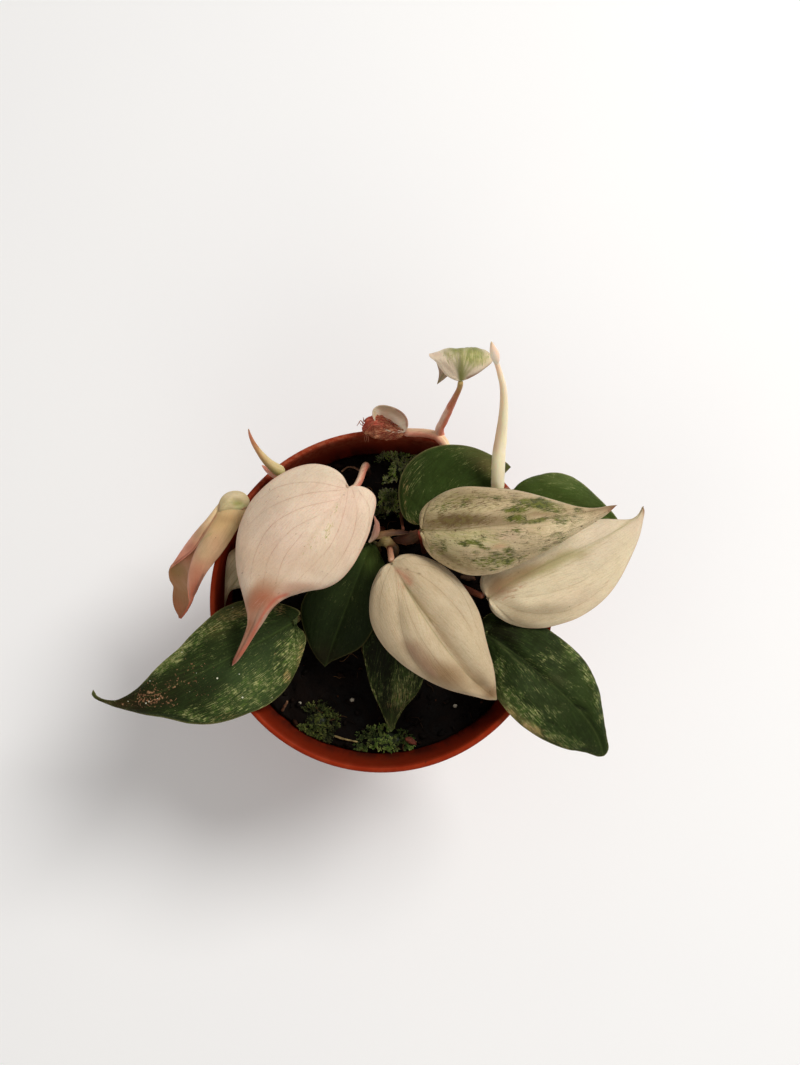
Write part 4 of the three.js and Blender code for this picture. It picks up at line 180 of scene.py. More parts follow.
PETIOLE_OF = {
    "petiole_pink_large": "leaf_pink_large", "petiole_cream_center": "leaf_cream_center",
    "petiole_cream_right": "leaf_cream_right", "petiole_splash": "leaf_splash",
    "petiole_green_back": "leaf_green_back", "petiole_green_center": "leaf_green_center",
    "petiole_green_small": "leaf_green_small", "petiole_green_right": "leaf_green_right",
    "petiole_green_left": "leaf_green_left", "petiole_pink_folded": "leaf_pink_folded",
    "petiole_cream_small": "leaf_cream_small", "petiole_green_back_right": "leaf_green_back_right",
    "petiole_top_small": "leaf_top_small",
}


# ------------------------------------------------------------------ small tools
def lin(*c):
    out = []
    for v in c[:3]:
        v = v / 255.0
        out.append(((v + 0.055) / 1.055) ** 2.4 if v > 0.04045 else v / 12.92)
    return tuple(out)


def lin4(*c):
    return lin(*c) + (1.0,)


def smooth(a, b, x):
    t = np.clip((np.asarray(x, float) - a) / (b - a), 0, 1)
    return t * t * (3 - 2 * t)


def catmull(P, n=24):
    """Dense points of a centripetal Catmull-Rom spline through P."""
    P = np.asarray(P, float)
    out = []
    for i in range(len(P) - 1):
        p1, p2 = P[i], P[i + 1]
        p0 = P[i - 1] if i > 0 else 2 * p1 - p2
        p3 = P[i + 2] if i + 2 < len(P) else 2 * p2 - p1
        d0, d1, d2 = (max(1e-6, np.linalg.norm(b - a)) ** 0.5 for a, b in ((p0, p1), (p1, p2), (p2, p3)))
        t1 = ((p1 - p0) / d0 - (p2 - p0) / (d0 + d1) + (p2 - p1) / d1) * d1
        t2 = ((p2 - p1) / d1 - (p3 - p1) / (d1 + d2) + (p3 - p2) / d2) * d1
        x = np.linspace(0, 1, n, endpoint=False)[:, None]
        out.append(p1 + t1 * x + (-3 * p1 + 3 * p2 - 2 * t1 - t2) * x ** 2 + (2 * p1 - 2 * p2 + t1 + t2) * x ** 3)
    out.append(P[-1:])
    return np.concatenate(out)


def along(P, u):
    """Points at the given fractions of the length of the polyline P."""
    d = np.r_[0, np.cumsum(np.linalg.norm(np.diff(P, axis=0), axis=1))]
    d /= d[-1]
    return np.stack([np.interp(u, d, P[:, k]) for k in range(P.shape[1])], -1)


def length(P):
    return float(np.linalg.norm(np.diff(P, axis=0), axis=1).sum())


def unit(v):
    return v / np.maximum(1e-9, np.linalg.norm(v, axis=-1, keepdims=True))


class Noise:
    """Seeded smooth value noise for moving vertices."""

    def __init__(self, seed, n=24):
        self.g = np.random.default_rng(seed).uniform(-1, 1, (n, n, n))
        self.n = n

    def __call__(self, P, scale=1.0):
        Q = np.asarray(P, float) * scale
        i = np.floor(Q).astype(int)
        f = Q - i
        f = f * f * (3 - 2 * f)
        r = 0.0
        for a in (0, 1):
            for b in (0, 1):
                for c in (0, 1):
                    w = (f[..., 0] if a else 1 - f[..., 0]) * (f[..., 1] if b else 1 - f[..., 1]) * (f[..., 2] if c else 1 - f[..., 2])
                    r = r + w * self.g[(i[..., 0] + a) % self.n, (i[..., 1] + b) % self.n, (i[..., 2] + c) % self.n]
        return r

    def fractal(self, P, scale=1.0, octaves=4):
        return sum(self(np.asarray(P) + 3.7 * k, scale * 2 ** k) * 0.5 ** k for k in range(octaves))


def make(name, verts, faces, material, attrs=None, sharp=None, flat=False, replaces=()):
    """A mesh object from millimetre vertices, riding on the plant's one body."""
    me = bpy.data.meshes.new(name)
    me.from_pydata((np.asarray(verts, float) * MM).tolist(), [], [list(map(int, f)) for f in faces])
    for key, (kind, values) in (attrs or {}).items():
        a = me.attributes.new(key, kind, "POINT")
        v = np.asarray(values, np.float32)
        if kind == "FLOAT":
            a.data.foreach_set("value", v.ravel())
        elif kind == "FLOAT_VECTOR":
            a.data.foreach_set("vector", v.ravel())
        else:
            a.data.foreach_set("color", v.ravel())
    me.validate()
    me.update()
    if not flat:
        me.polygons.foreach_set("use_smooth", [True] * len(me.polygons))
    if sharp:
        keys = {tuple(sorted(e)) for e in sharp}
        sh = me.attributes.new("sharp_edge", "BOOLEAN", "EDGE")
        sh.data.foreach_set("value", [tuple(sorted(e.vertices)) in keys for e in me.edges])
    ob = bpy.data.objects.new(name, me)
    scene.collection.objects.link(ob)
    me.materials.append(material)
    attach(ob, "root")
    if replaces:
        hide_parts(*replaces)
    return ob


class Mat:
    """Builds one procedural material."""

    def __init__(self, name, rough=0.5, **sockets):
        self.m = bpy.data.materials.new(name)
        self.m.use_nodes = True
        self.t = self.m.node_tree
        self.t.nodes.clear()
        self.out = self.t.nodes.new("ShaderNodeOutputMaterial")
        self.b = self.t.nodes.new("ShaderNodeBsdfPrincipled")
        self.t.links.new(self.b.outputs[0], self.out.inputs[0])
        self.b.inputs["Roughness"].default_value = rough
        for k, v in sockets.items():
            self.b.inputs[k.replace("_", " ")].default_value = v

    def put(self, socket, value):
        if hasattr(value, "is_linked") or hasattr(value, "links"):
            self.t.links.new(value, socket)
        else:
            if isinstance(value, (tuple, list)) and len(value) == 3 and socket.type == "RGBA":
                value = tuple(value) + (1.0,)
            socket.default_value = value

    def node(self, kind, ins=None, **props):
        n = self.t.nodes.new(kind)
        for k, v in props.items():
            setattr(n, k, v)
        for k, v in (ins or {}).items():
            self.put(n.inputs[k], v)
        return n

    def attr(self, name, out="Color"):
        return self.node("ShaderNodeAttribute", attribute_name=name).outputs[out]

    def math(self, op, a, b=0.0, c=0.0, clamp=False):
        return self.node("ShaderNodeMath", {0: a, 1: b, 2: c}, operation=op, use_clamp=clamp).outputs[0]

    def mix(self, fac, a, b, blend="MIX"):
        n = self.node("ShaderNodeMix", data_type="RGBA", blend_type=blend)
        self.put(n.inputs[0], fac)
        self.put(n.inputs[6], a)
        self.put(n.inputs[7], b)
        return n.outputs[2]

    def noise(self, vec, scale=1.0, detail=3.0, rough=0.55, dist=0.0):
        return self.node("ShaderNodeTexNoise", {"Vector": vec, "Scale": scale, "Detail": detail, "Roughness": rough, "Distortion": dist}).outputs[0]

    def voronoi(self, vec, scale=1.0, feature="F1", rand=1.0):
        return self.node("ShaderNodeTexVoronoi", {"Vector": vec, "Scale": scale, "Randomness": rand}, feature=feature).outputs["Distance"]

    def remap(self, v, a, b, c=0.0, d=1.0, smooth=True):
        return self.node("ShaderNodeMapRange", {0: v, 1: a, 2: b, 3: c, 4: d}, interpolation_type="SMOOTHSTEP" if smooth else "LINEAR").outputs[0]

    def mapping(self, vec, scale=(1, 1, 1), loc=(0, 0, 0)):
        return self.node("ShaderNodeMapping", {"Vector": vec, "Scale": scale, "Location": loc}).outputs[0]

    def sep(self, vec):
        return self.node("ShaderNodeSeparateXYZ", {0: vec}).outputs

    def obj(self):
        return self.node("ShaderNodeTexCoord").outputs["Object"]

    def bump(self, height, strength=0.3, distance=0.0003, normal=None):
        n = self.node("ShaderNodeBump", {"Height": height, "Strength": strength, "Distance": distance})
        if normal is not None:
            self.put(n.inputs["Normal"], normal)
        return n.outputs[0]

    def color(self, v):
        self.put(self.b.inputs["Base Color"], v)

    def rough(self, v):
        self.put(self.b.inputs["Roughness"], v)

    def normal(self, v):
        self.put(self.b.inputs["Normal"], v)


# ------------------------------------------------------------------ leaf blades
VEIN_C = 0.27


def vein_fields(s, t, s0):
    """The vein coordinate w, constant along each lateral vein, and the vein index W with main veins at whole numbers."""
    g = -np.log(1 - 0.955 * np.clip(t, 0, 1))
    q = s - VEIN_C * g
    front = (q - s0) / (1 - s0)
    c = (s - s0) / np.maximum(g, 0.02)
    back = -0.30 + 0.30 * np.clip(c / VEIN_C, -1.2, 1.0)
    w = np.where(q >= s0, front, back)
    W = np.interp(w, [-0.70, -0.42, -0.20, 0.0, 0.13, 0.28, 0.45, 0.64, 0.84, 1.1], [-3.5, -2, -1, 0, 1, 2, 3, 4, 5, 6])
    return w, W


def line_distance(px, py, pts):
    """Distance in view pixels from points to a polyline, and the fraction along it."""
    best = np.full(np.shape(px), 1e9)
    frac = np.zeros(np.shape(px))
    pts = catmull([(a, b, 0.0) for a, b in pts], 6)[:, :2] if len(pts) > 2 else np.array(pts, float)
    for i in range(len(pts) - 1):
        a, b = pts[i], pts[i + 1]
        ab = b - a
        t = np.clip(((px - a[0]) * ab[0] + (py - a[1]) * ab[1]) / max(1e-9, ab @ ab), 0, 1)
        d = np.hypot(px - a[0] - ab[0] * t, py - a[1] - ab[1] * t)
        frac = np.where(d < best, (i + t) / (len(pts) - 1), frac)
        best = np.minimum(best, d)
    return best, frac


def side_distance(px, py, pts):
    """Distance in view pixels from points to a polyline, below zero on its left side."""
    pts = catmull([(a, b, 0.0) for a, b in pts], 6)[:, :2]
    best = np.full(np.shape(px), 1e9)
    frac = np.zeros(np.shape(px))
    sign = np.ones(np.shape(px))
    for i in range(len(pts) - 1):
        a, b = pts[i], pts[i + 1]
        ab = b - a
        t = np.clip(((px - a[0]) * ab[0] + (py - a[1]) * ab[1]) / max(1e-9, ab @ ab), 0, 1)
        d = np.hypot(px - a[0] - ab[0] * t, py - a[1] - ab[1] * t)
        cr = np.sign(ab[0] * (py - a[1]) - ab[1] * (px - a[0]))
        sign = np.where(d < best, np.where(cr == 0, 1, cr), sign)
        frac = np.where(d < best, (i + t) / (len(pts) - 1), frac)
        best = np.minimum(best, d)
    return (best + 1.2 * smooth(0.65, 1.0, frac)) * sign


def paint(P, tone, patches=(), lines=(), seed=3, warp=5.0):
    """Soft patches and lines of colour laid over a tone, the leaf's own markings and also painted shade; places are
    given in the 800 x 1065 view.
    """
    px, py = frame_xy(P)
    nz = Noise(seed + 50)
    wx, wy = nz(P, 0.16) * warp, nz(P + 40, 0.16) * warp
    for (bx, by, rx, ry, ang, col, amt) in patches:
        ca, sa = math.cos(math.radians(ang)), math.sin(math.radians(ang))
        dx, dy = px + wx - bx, py + wy - by
        e = ((dx * ca + dy * sa) / rx) ** 2 + ((-dx * sa + dy * ca) / ry) ** 2
        m = (np.exp(-e ** 1.4) * amt)[:, None]
        tone = tone * (1 - m) + np.array(lin(*col)) * m
    for (pts, width, col, amt) in lines:
        d, f = line_distance(px, py, pts)
        m = (np.exp(-(d / width) ** 2) * amt * smooth(0, 0.12, f + 0.06) * smooth(0, 0.12, 1.06 - f))[:, None]
        tone = tone * (1 - m) + np.array(lin(*col)) * m
    return tone


def mark_channels(P, look, edge, seed=3):
    px, py = frame_xy(P)
    nz = Noise(seed + 50)
    wp = look.get("mark_warp", 3.0)
    wx, wy = nz(P, 0.22) * wp, nz(P + 40, 0.22) * wp
    marks = np.zeros((len(P), 4))
    marks[:, 3] = 1
    for ch, v in enumerate(look.get("mark_base", (0, 0, 0))):
        marks[:, ch] = v
    for (bx, by, rx, ry, ang, ch, amt) in look.get("marks", []):
        ca, sa = math.cos(math.radians(ang)), math.sin(math.radians(ang))
        dx, dy = px + wx - bx, py + wy - by
        e = ((dx * ca + dy * sa) / rx) ** 2 + ((-dx * sa + dy * ca) / ry) ** 2
        marks[:, ch] = np.maximum(marks[:, ch], amt * np.exp(-e ** 1.6))
    for (width, ch, amt) in look.get("edge_marks", []):
        marks[:, ch] = np.maximum(marks[:, ch], amt * np.exp(-(edge / width) ** 2))
    return marks


def leaf(name, material, look, ns=112, nt=30):
    d = BLADES[name]
    s0 = d["s0"]
    M_ = catmull(d["mid"])
    C_ = [catmull(d["left"]), catmull(d["right"])]
    L = length(M_)
    i0 = max(1, round(s0 * ns))
    s = np.linspace(0, 1, ns + 1)
    u = np.clip((np.arange(ns + 1) - i0) / (ns - i0), 0, 1)
    t = np.linspace(0, 1, nt + 1) ** 0.92
    Mid = along(M_, u)
    S, T = np.meshgrid(s, t, indexing="ij")
    nz = Noise(look.get("seed", 3))
    P, N, half = [], [], []
    for k in (0, 1):
        C = along(C_[k], s)
        C[-1] = Mid[-1]
        p = Mid[:, None, :] * (1 - t[None, :, None]) + C[:, None, :] * t[None, :, None]
        n = np.cross(np.gradient(p, axis=0), np.gradient(p, axis=1))
        n = unit(n) * (1 if k == 0 else -1)
        n[: i0 + 1, 0] = n[: i0 + 1, 1]
        n[-1, :] = n[-2, :]
        P.append(p)
        N.append(n)
        half.append(np.linalg.norm(C - Mid, axis=1))
    if (N[0][..., 2].sum() + N[1][..., 2].sum()) < 0:
        N = [-n for n in N]
    # even out the normals across the midrib and along the blade
    for _ in range(look.get("even", 6)):
        for k in (0, 1):
            n = N[k]
            n[1:-1] = unit(n[:-2] + 2 * n[1:-1] + n[2:])
            n[:, 1:-1] = unit(n[:, :-2] + 2 * n[:, 1:-1] + n[:, 2:])
        m = unit(N[0][:, 0] + N[1][:, 0] + 0.5 * (N[0][:, 1] + N[1][:, 1]))
        m[: i0 + 1] = unit(m[: i0 + 1].sum(0))
        N[0][:, 0] = m
        N[1][:, 0] = m
    tip_n = unit(N[0][-1, 0] + N[1][-1, 0])
    bulge = d["bulge"]
    for k in (0, 1):
        N[k][-1] = tip_n
        h = half[k][:, None]
        w, W = vein_fields(S, T, s0)
        env = np.minimum(1, np.minimum(4 * S + 0.2, 3 * (1 - S)))
        disp = bulge * np.sin(np.pi * T) * env
        dist = T * h
        edge = (1 - T) * h
        # quilting: the blade is puffed between its lateral veins
        fade = smooth(0.02, 0.22, T) * (1 - smooth(0.80, 0.99, T)) * smooth(0.0, 0.14, S) * (1 - smooth(0.80, 0.97, S))
        phase = W * look.get("wmul", 1.0) + look.get("wadd", 0.0) + 0.10 * nz(np.stack([S * 5, T * 3, S * 0 + k * 4.1], -1))
        puff = np.abs(np.sin(np.pi * phase)) ** look.get("sharp", 0.8)
        disp = disp + look.get("quilt", 0.15) * (puff - 0.55) * fade
        for (wc, ww, depth) in look.get("grooves" + "AB"[k], look.get("grooves", [])):
            disp = disp - depth * np.exp(-((w - wc) / ww) ** 2) * fade
        # midrib channel, edge curl and slow waves
        disp = disp - look.get("rib", 0.35) * np.exp(-(dist / look.get("ribw", 1.1)) ** 2) * smooth(0, 0.1, S) * (1 - smooth(0.85, 1, S))
        disp = disp - look.get("curl", 0.25) * (1 - smooth(0.0, 1.6, edge)) * np.minimum(1, h / 3)
        disp = disp + look.get("wave", 0.18) * nz(np.stack([S * 7, T * 2.5, S * 0 + k * 7.7], -1)) * smooth(0.0, 0.3, T) * np.minimum(1, 4 * (1 - S))
        wob = look.get("ruffle", 0.0)
        if wob:
            disp = disp + wob * np.sin(2 * np.pi * (look.get("ruffles", 5) * S + 0.3 * k)) * smooth(0.6, 1, T) * env
        qx, qy = frame_xy(P[k])
        mm_px = (CAM[2] - P[k][..., 2]) / FOCAL
        for (pts_, width_, depth_) in look.get("creases", []) + [(q, 0.45, look.get("vein_depth", 0.06)) for q in look.get("veins", [])]:
            dd, ff = line_distance(qx, qy, pts_)
            disp = disp - depth_ * np.exp(-(dd * mm_px / width_) ** 2) * smooth(0, 0.2, ff + 0.05) * smooth(0, 0.2, 1.05 - ff)
        disp = disp + look.get("crinkle", 0.0) * nz.fractal(P[k] * 1.0, 0.55, 3) * smooth(0.0, 0.2, T)
        P[k] = P[k] + N[k] * disp[..., None]
    P[1][:, 0] = P[0][:, 0]
    for k in (0, 1):
        P[k][: i0 + 1, 0] = P[0][i0, 0]
    P[1][-1] = P[0][-1] = P[0][-1, 0]
    # faces: the midrib is shared by both halves
    idx = [np.zeros((ns + 1, nt + 1), int), np.zeros((ns + 1, nt + 1), int)]
    pts, rows = [], []
    mid_id = np.zeros(ns + 1, int)
    for i in range(ns + 1):
        if 0 < i <= i0:
            mid_id[i] = mid_id[0]
            continue
        mid_id[i] = len(pts)
        pts.append((0, i, 0))
    for k in (0, 1):
        idx[k][:, 0] = mid_id
        for j in range(1, nt + 1):
            for i in range(ns):
                idx[k][i, j] = len(pts)
                pts.append((k, i, j))
            idx[k][ns, j] = mid_id[ns]
    pts = np.array(pts)
    kk, ii, jj = pts.T
    Pa, Na = np.stack(P), np.stack(N)
    top = Pa[kk, ii, jj]
    nor = Na[kk, ii, jj]
    faces = []
    flip = None
    for k in (0, 1):
        a, b, c, e = idx[k][:-1, :-1], idx[k][1:, :-1], idx[k][1:, 1:], idx[k][:-1, 1:]
        for q in np.stack([a, b, c, e], -1).reshape(-1, 4):
            f = []
            for v in (q if k == 1 else q[::-1]):
                if v not in f:
                    f.append(int(v))
            if len(f) >= 3:
                faces.append(f)
    f = faces[len(faces) // 2]
    fn = np.cross(top[f[1]] - top[f[0]], top[f[2]] - top[f[0]])
    if np.dot(fn, nor[f[0]]) < 0:
        faces = [q[::-1] for q in faces]
    tt = t[jj]
    hw = np.where(kk == 0, half[0][ii], half[1][ii])
    dist, edge = tt * hw, (1 - tt) * hw
    ss = s[ii]
    thick = look.get("thick", 0.5) * (0.45 + 0.55 * smooth(0, 2.5, edge)) * (0.5 + 0.5 * smooth(0, 0.1, 1 - ss))
    ridge = look.get("keel", 0.55) * np.exp(-(dist / 0.7) ** 2) * (1 - 0.7 * ss)
    w, W = vein_fields(ss, tt, s0)
    under = top - nor * (thick + ridge)[:, None]
    n = len(top)
    edges = {}
    for f in faces:
        for a, b in zip(f, f[1:] + f[:1]):
            if (b, a) in edges:
                del edges[(b, a)]
            else:
                edges[(a, b)] = 1
    allf = faces + [[v + n for v in f[::-1]] for f in faces]
    sharp = []
    for a, b in edges:
        allf.append([a, a + n, b + n, b])
        sharp += [(a, b), (a + n, b + n)]
    V = np.concatenate([top, under])
    # spacing of the vein coordinate per millimetre, for vein lines of even width
    gw = np.sqrt((1.0 / L) ** 2 + (VEIN_C * 0.955 / (1 - 0.955 * np.clip(tt, 0, 1)) / np.maximum(hw, 1.0)) ** 2)
    gW = gw * 7.0
    vc = np.stack([w * 50, ss * L + tt * hw * 0.8, tt], -1)
    st = np.stack([ss, dist, edge], -1)
    tone = np.tile(np.array(lin(*look["base"])), (n, 1))
    for key, col, amt in look.get("margins", []):
        m = np.exp(-(edge / key) ** 2)[:, None] * amt
        tone = tone * (1 - m) + np.array(lin(*col)) * m
    for key, col, amt in look.get("ribs", []):
        m = np.exp(-(dist / key) ** 2)[:, None] * amt
        tone = tone * (1 - m) + np.array(lin(*col)) * m
    tone = paint(top, tone, look.get("patches", []), look.get("lines", []), look.get("seed", 3), look.get("warp", 5.0))
    und = tone * (1 - look.get("under_mix", 0.5)) + np.array(lin(*look.get("under", look["base"]))) * look.get("under_mix", 0.5)
    marks = mark_channels(top, look, edge, look.get("seed", 3))
    # lines drawn out along the veins: across (x) and along (y), in millimetres
    vd = np.stack([dist - look.get("slant", 0.40) * ss * L * (1 - 0.6 * tt) + 200 * kk, ss * L + 0.4 * dist, tt], -1)
    vx, vy = frame_xy(top)
    veins = [side_distance(vx, vy, q) for q in look.get("veins", [])][:9]
    veins = np.stack(veins + [np.full(len(top), 99.0)] * (9 - len(veins)), -1)
    dup = lambda a: np.concatenate([a, a])
    one = np.ones((n, 1))
    attrs = {
        "vc": ("FLOAT_VECTOR", dup(vc)),
        "vd": ("FLOAT_VECTOR", dup(vd)),
        "va": ("FLOAT_VECTOR", dup(veins[:, 0:3])),
        "vb": ("FLOAT_VECTOR", dup(veins[:, 3:6])),
        "ve": ("FLOAT_VECTOR", dup(veins[:, 6:9])),
        "st": ("FLOAT_VECTOR", dup(st)),
        "Wv": ("FLOAT", dup(W)),
        "gW": ("FLOAT", dup(gW)),
        "under": ("FLOAT", np.r_[np.zeros(n), np.ones(n)]),
        "tone": ("FLOAT_COLOR", np.concatenate([np.hstack([tone, one]), np.hstack([und, one])])),
        "marks": ("FLOAT_COLOR", dup(marks)),
    }
    return make(name + "_blade", V, allf, material, attrs, sharp, replaces=(name,))


def leaf_material(name, layers=(), vein=(120, 95, 60), vein_amt=0.5, vein_w=0.10, rough=0.55, sss=0.12, sheen=0.04, mottle=0.12, cells=0.10,
                  rib=(150, 150, 85), rib_amt=0.35, rib_w=0.35, fine=0.35, seed=0.0, spec=0.2, fibre=0.0, fibre_col=(120, 120, 80), sss_scale=0.0008,
                  placed=0.0, placed_w=0.5, placed_col=(150, 112, 88)):
    """Velvet leaf: the blade's tone (its own colour, with the painted shade that paint lays into it), fine lines along
    the veins, layers of streaks or flecks where the marks ask for them, and vein lines.
    """
    m = Mat(name, rough=rough)
    m.b.inputs["Sheen Weight"].default_value = sheen
    m.b.inputs["Sheen Roughness"].default_value = 0.45
    m.b.inputs["Specular IOR Level"].default_value = spec
    m.b.inputs["Subsurface Weight"].default_value = sss
    m.b.inputs["Subsurface Radius"].default_value = (1.0, 0.45, 0.25)
    m.b.inputs["Subsurface Scale"].default_value = sss_scale
    vd = m.attr("vd", "Vector")
    st = m.sep(m.attr("st", "Vector"))
    tone = m.attr("tone")
    marks = m.node("ShaderNodeSeparateColor", {0: m.attr("marks")}).outputs
    obj = m.obj()
    tt = m.sep(vd)[2]
    near = m.remap(tt, 0.45, 0.80)
    # cloudy variation and the grain of the leaf's cells
    cloud = m.noise(obj, 140.0, 4.0, 0.6)
    col = m.mix(m.math("MULTIPLY", m.remap(cloud, 0.35, 0.7, 0.0, 1.0), mottle), tone, m.mix(1.0, tone, (0.62, 0.56, 0.48), "MULTIPLY"))
    grain = m.noise(obj, 2200.0, 3.0, 0.6)
    col = m.mix(m.math("MULTIPLY", m.remap(grain, 0.42, 0.68), cells), col, m.mix(1.0, col, (0.66, 0.60, 0.50), "MULTIPLY"))

    def drawn(across, along_, z, detail=4.0, dist=0.5, ragged=0.72):
        n_ = m.noise(m.mapping(vd, (across[0], along_, 0.0), (seed + z, seed * 0.7 + z, z)), 1.0, detail, ragged, dist)
        return m.math("MULTIPLY_ADD", n_, 2.6, -0.8)

    lines_n = drawn((2.0, 0.7), 0.28, 0.0, 3.0, 0.3)
    if fibre:
        col = m.mix(m.math("MULTIPLY", m.remap(lines_n, 0.52, 0.85), fibre), col, lin4(*fibre_col))
    relief = None
    for k, ly in enumerate(layers):
        across = ly.get("across", (1.7, 0.55))
        if ly.get("spots"):
            n_ = m.math("MULTIPLY_ADD", m.noise(obj, ly["spots"], 3.0, 0.65, 0.4), 2.6, -0.8)
        else:
            n_ = drawn(across, ly.get("along", 0.5), 3.0 + 5.0 * k, ly.get("detail", 4.0), ly.get("dist", 0.6))
        mk = marks[ly["ch"]] if ly.get("ch") is not None else 1.0
        lo = m.math("MULTIPLY_ADD", mk, -ly.get("gain", 0.5), ly.get("thr", 1.05))
        if ly.get("clump"):
            lo = m.math("ADD", lo, m.math("MULTIPLY", m.math("SUBTRACT", 0.5, m.noise(obj, 210.0 + 30 * k, 3.0, 0.6)), ly["clump"]))
        mask = m.math("MULTIPLY", m.math("MULTIPLY", m.math("SUBTRACT", n_, lo), ly.get("sharp", 9.0), clamp=True), ly.get("amt", 0.9))
        c2 = lin4(*ly["col"])
        if "col2" in ly:
            c2 = m.mix(m.remap(m.noise(obj, ly.get("vary", 700.0), 2.0), 0.40, 0.60), lin4(*ly["col"]), lin4(*ly["col2"]))
        col = m.mix(mask, col, c2)
        if ly.get("dots"):
            dv = m.voronoi(obj, ly["dots"])
            dmask = m.math("MULTIPLY", m.remap(dv, 0.15, 0.21, 1.0, 0.0), m.math("GREATER_THAN", m.math("ADD", m.noise(obj, ly["dots"] * 0.6, 1.0), m.math("MULTIPLY", mk, 0.22)), 0.74))
            col = m.mix(dmask, col, lin4(*ly["dot_col"]))
    # vein lines
    W = m.math("ADD", m.attr("Wv", "Fac"), m.math("MULTIPLY", m.math("SUBTRACT", m.noise(obj, 160.0, 2.0), 0.5), 0.16))
    gW = m.attr("gW", "Fac")
    fr = m.math("ABSOLUTE", m.math("SUBTRACT", W, m.math("ROUND", W)))
    dmm = m.math("DIVIDE", fr, gW)
    line = m.remap(dmm, vein_w * 0.30, vein_w * 1.3, 1.0, 0.0)
    vfade = m.math("MULTIPLY", m.remap(tt, 0.03, 0.12), m.remap(tt, 0.78, 0.95, 1.0, 0.0))
    broken = m.remap(m.noise(obj, 420.0, 2.0), 0.34, 0.60, 0.25, 1.0)
    line = m.math("MULTIPLY", m.math("MULTIPLY", m.math("MULTIPLY", line, vfade), broken), vein_amt)
    col = m.mix(line, col, m.mix(1.0, col, lin4(*vein), "MULTIPLY"))
    if placed:
        best = None
        for att in ("va", "vb", "ve"):
            for c in m.sep(m.attr(att, "Vector")):
                a_ = m.math("ABSOLUTE", c)
                best = a_ if best is None else m.math("MINIMUM", best, a_)
        best = m.math("ADD", best, m.math("MULTIPLY", m.math("SUBTRACT", m.noise(obj, 500.0, 2.0), 0.5), 0.5))
        pl = m.math("MULTIPLY", m.math("MULTIPLY", m.remap(best, placed_w * 0.35, placed_w * 1.3, 1.0, 0.0), placed), m.remap(m.noise(obj, 260.0, 2.0), 0.30, 0.55, 0.35, 1.0))
        col = m.mix(pl, col, m.mix(1.0, col, lin4(*placed_col), "MULTIPLY"))
        soft = m.math("MULTIPLY", m.remap(best, 0.0, 2.4, 1.0, 0.0), placed * 0.16)
        col = m.mix(soft, col, m.mix(1.0, col, lin4(*placed_col), "MULTIPLY"))
    ribm = m.math("MULTIPLY", m.math("MULTIPLY", m.remap(st[1], rib_w * 0.3, rib_w * 1.6, 1.0, 0.0), rib_amt), m.remap(st[0], 0.55, 1.0, 1.0, 0.35))
    col = m.mix(ribm, col, lin4(*rib))
    m.color(col)
    # relief of the fine parallel veins and velvety cells
    b1 = m.bump(lines_n, fine, 0.00022)
    b2 = m.bump(grain, 0.16, 0.00010, b1)
    b3 = m.bump(line, -0.25, 0.0003, b2)
    m.normal(b3)
    m.rough(m.remap(cloud, 0.3, 0.7, rough - 0.05, rough + 0.08))
    return m.m


# ------------------------------------------------------------------ stems, rolled leaves and bracts
def tube(points, radii, sides=16, step=0.6, section=None, caps=(True, True), wobble=0.0, seed=1):
    """Rings of varying radius along a curve, with rounded ends. Returns vertices, faces and the (along, around) of each vertex."""
    D = catmull(points)
    L = length(D)
    n = max(6, int(L / step))
    u = np.linspace(0, 1, n + 1)
    r_at = lambda x: np.interp(x, np.linspace(0, 1, len(radii)), radii)
    extra0 = [r_at(0) * (1 - math.cos(a)) / L for a in (0.35, 0.7, 1.05)] if caps[0] else []
    extra1 = [1 - r_at(1) * (1 - math.cos(a)) / L for a in (0.35, 0.7, 1.05)] if caps[1] else []
    u = np.unique(np.clip(np.r_[u, extra0, extra1], 0, 1))
    C = along(D, u)
    tan = unit(np.gradient(C, axis=0))
    ref = np.array([0.0, 0.0, 1.0]) if abs(tan[0][2]) < 0.9 else np.array([1.0, 0, 0])
    nrm = unit(np.cross(tan[0], ref))
    frames = []
    for k in range(len(u)):
        nrm = unit(nrm - tan[k] * np.dot(nrm, tan[k]))
        frames.append((nrm, np.cross(tan[k], nrm)))
    nz = Noise(seed)
    th = np.linspace(0, 2 * np.pi, sides, endpoint=False)
    V, info, rad = [], [], []
    for k, uu in enumerate(u):
        r = r_at(uu)
        x0, x1 = uu * L, (1 - uu) * L
        if caps[0] and x0 < r:
            r = r * math.sqrt(max(0.02, 1 - (1 - x0 / r) ** 2))
        elif caps[1] and x1 < r:
            r = r * math.sqrt(max(0.02, 1 - (1 - x1 / r) ** 2))
        m = np.ones(sides) if section is None else section(th, uu)
        ring = C[k] + (frames[k][0][None] * np.cos(th)[:, None] + frames[k][1][None] * np.sin(th)[:, None]) * (r * m)[:, None]
        if wobble:
            ring = ring + (ring - C[k]) * (wobble * nz(ring, 0.7))[:, None]
        V.append(ring)
        rad.append(unit(ring - C[k]))
        info += [(uu * L, a, uu) for a in th]
    V = np.concatenate(V)
    F = []
    for k in range(len(u) - 1):
        for j in range(sides):
            a, b = k * sides + j, k * sides + (j + 1) % sides
            F.append([a, b, b + sides, a + sides])
    V = np.vstack([V, C[0], C[-1]])
    info += [(0, 0, 0), (L, 0, 1)]
    c0, c1 = len(V) - 2, len(V) - 1
    last = (len(u) - 1) * sides
    for j in range(sides):
        F.append([c0, (j + 1) % sides, j])
        F.append([c1, last + j, last + (j + 1) % sides])
    rad = np.vstack(rad + [-tan[:1], tan[-1:]])
    return V, F, np.array(info), rad


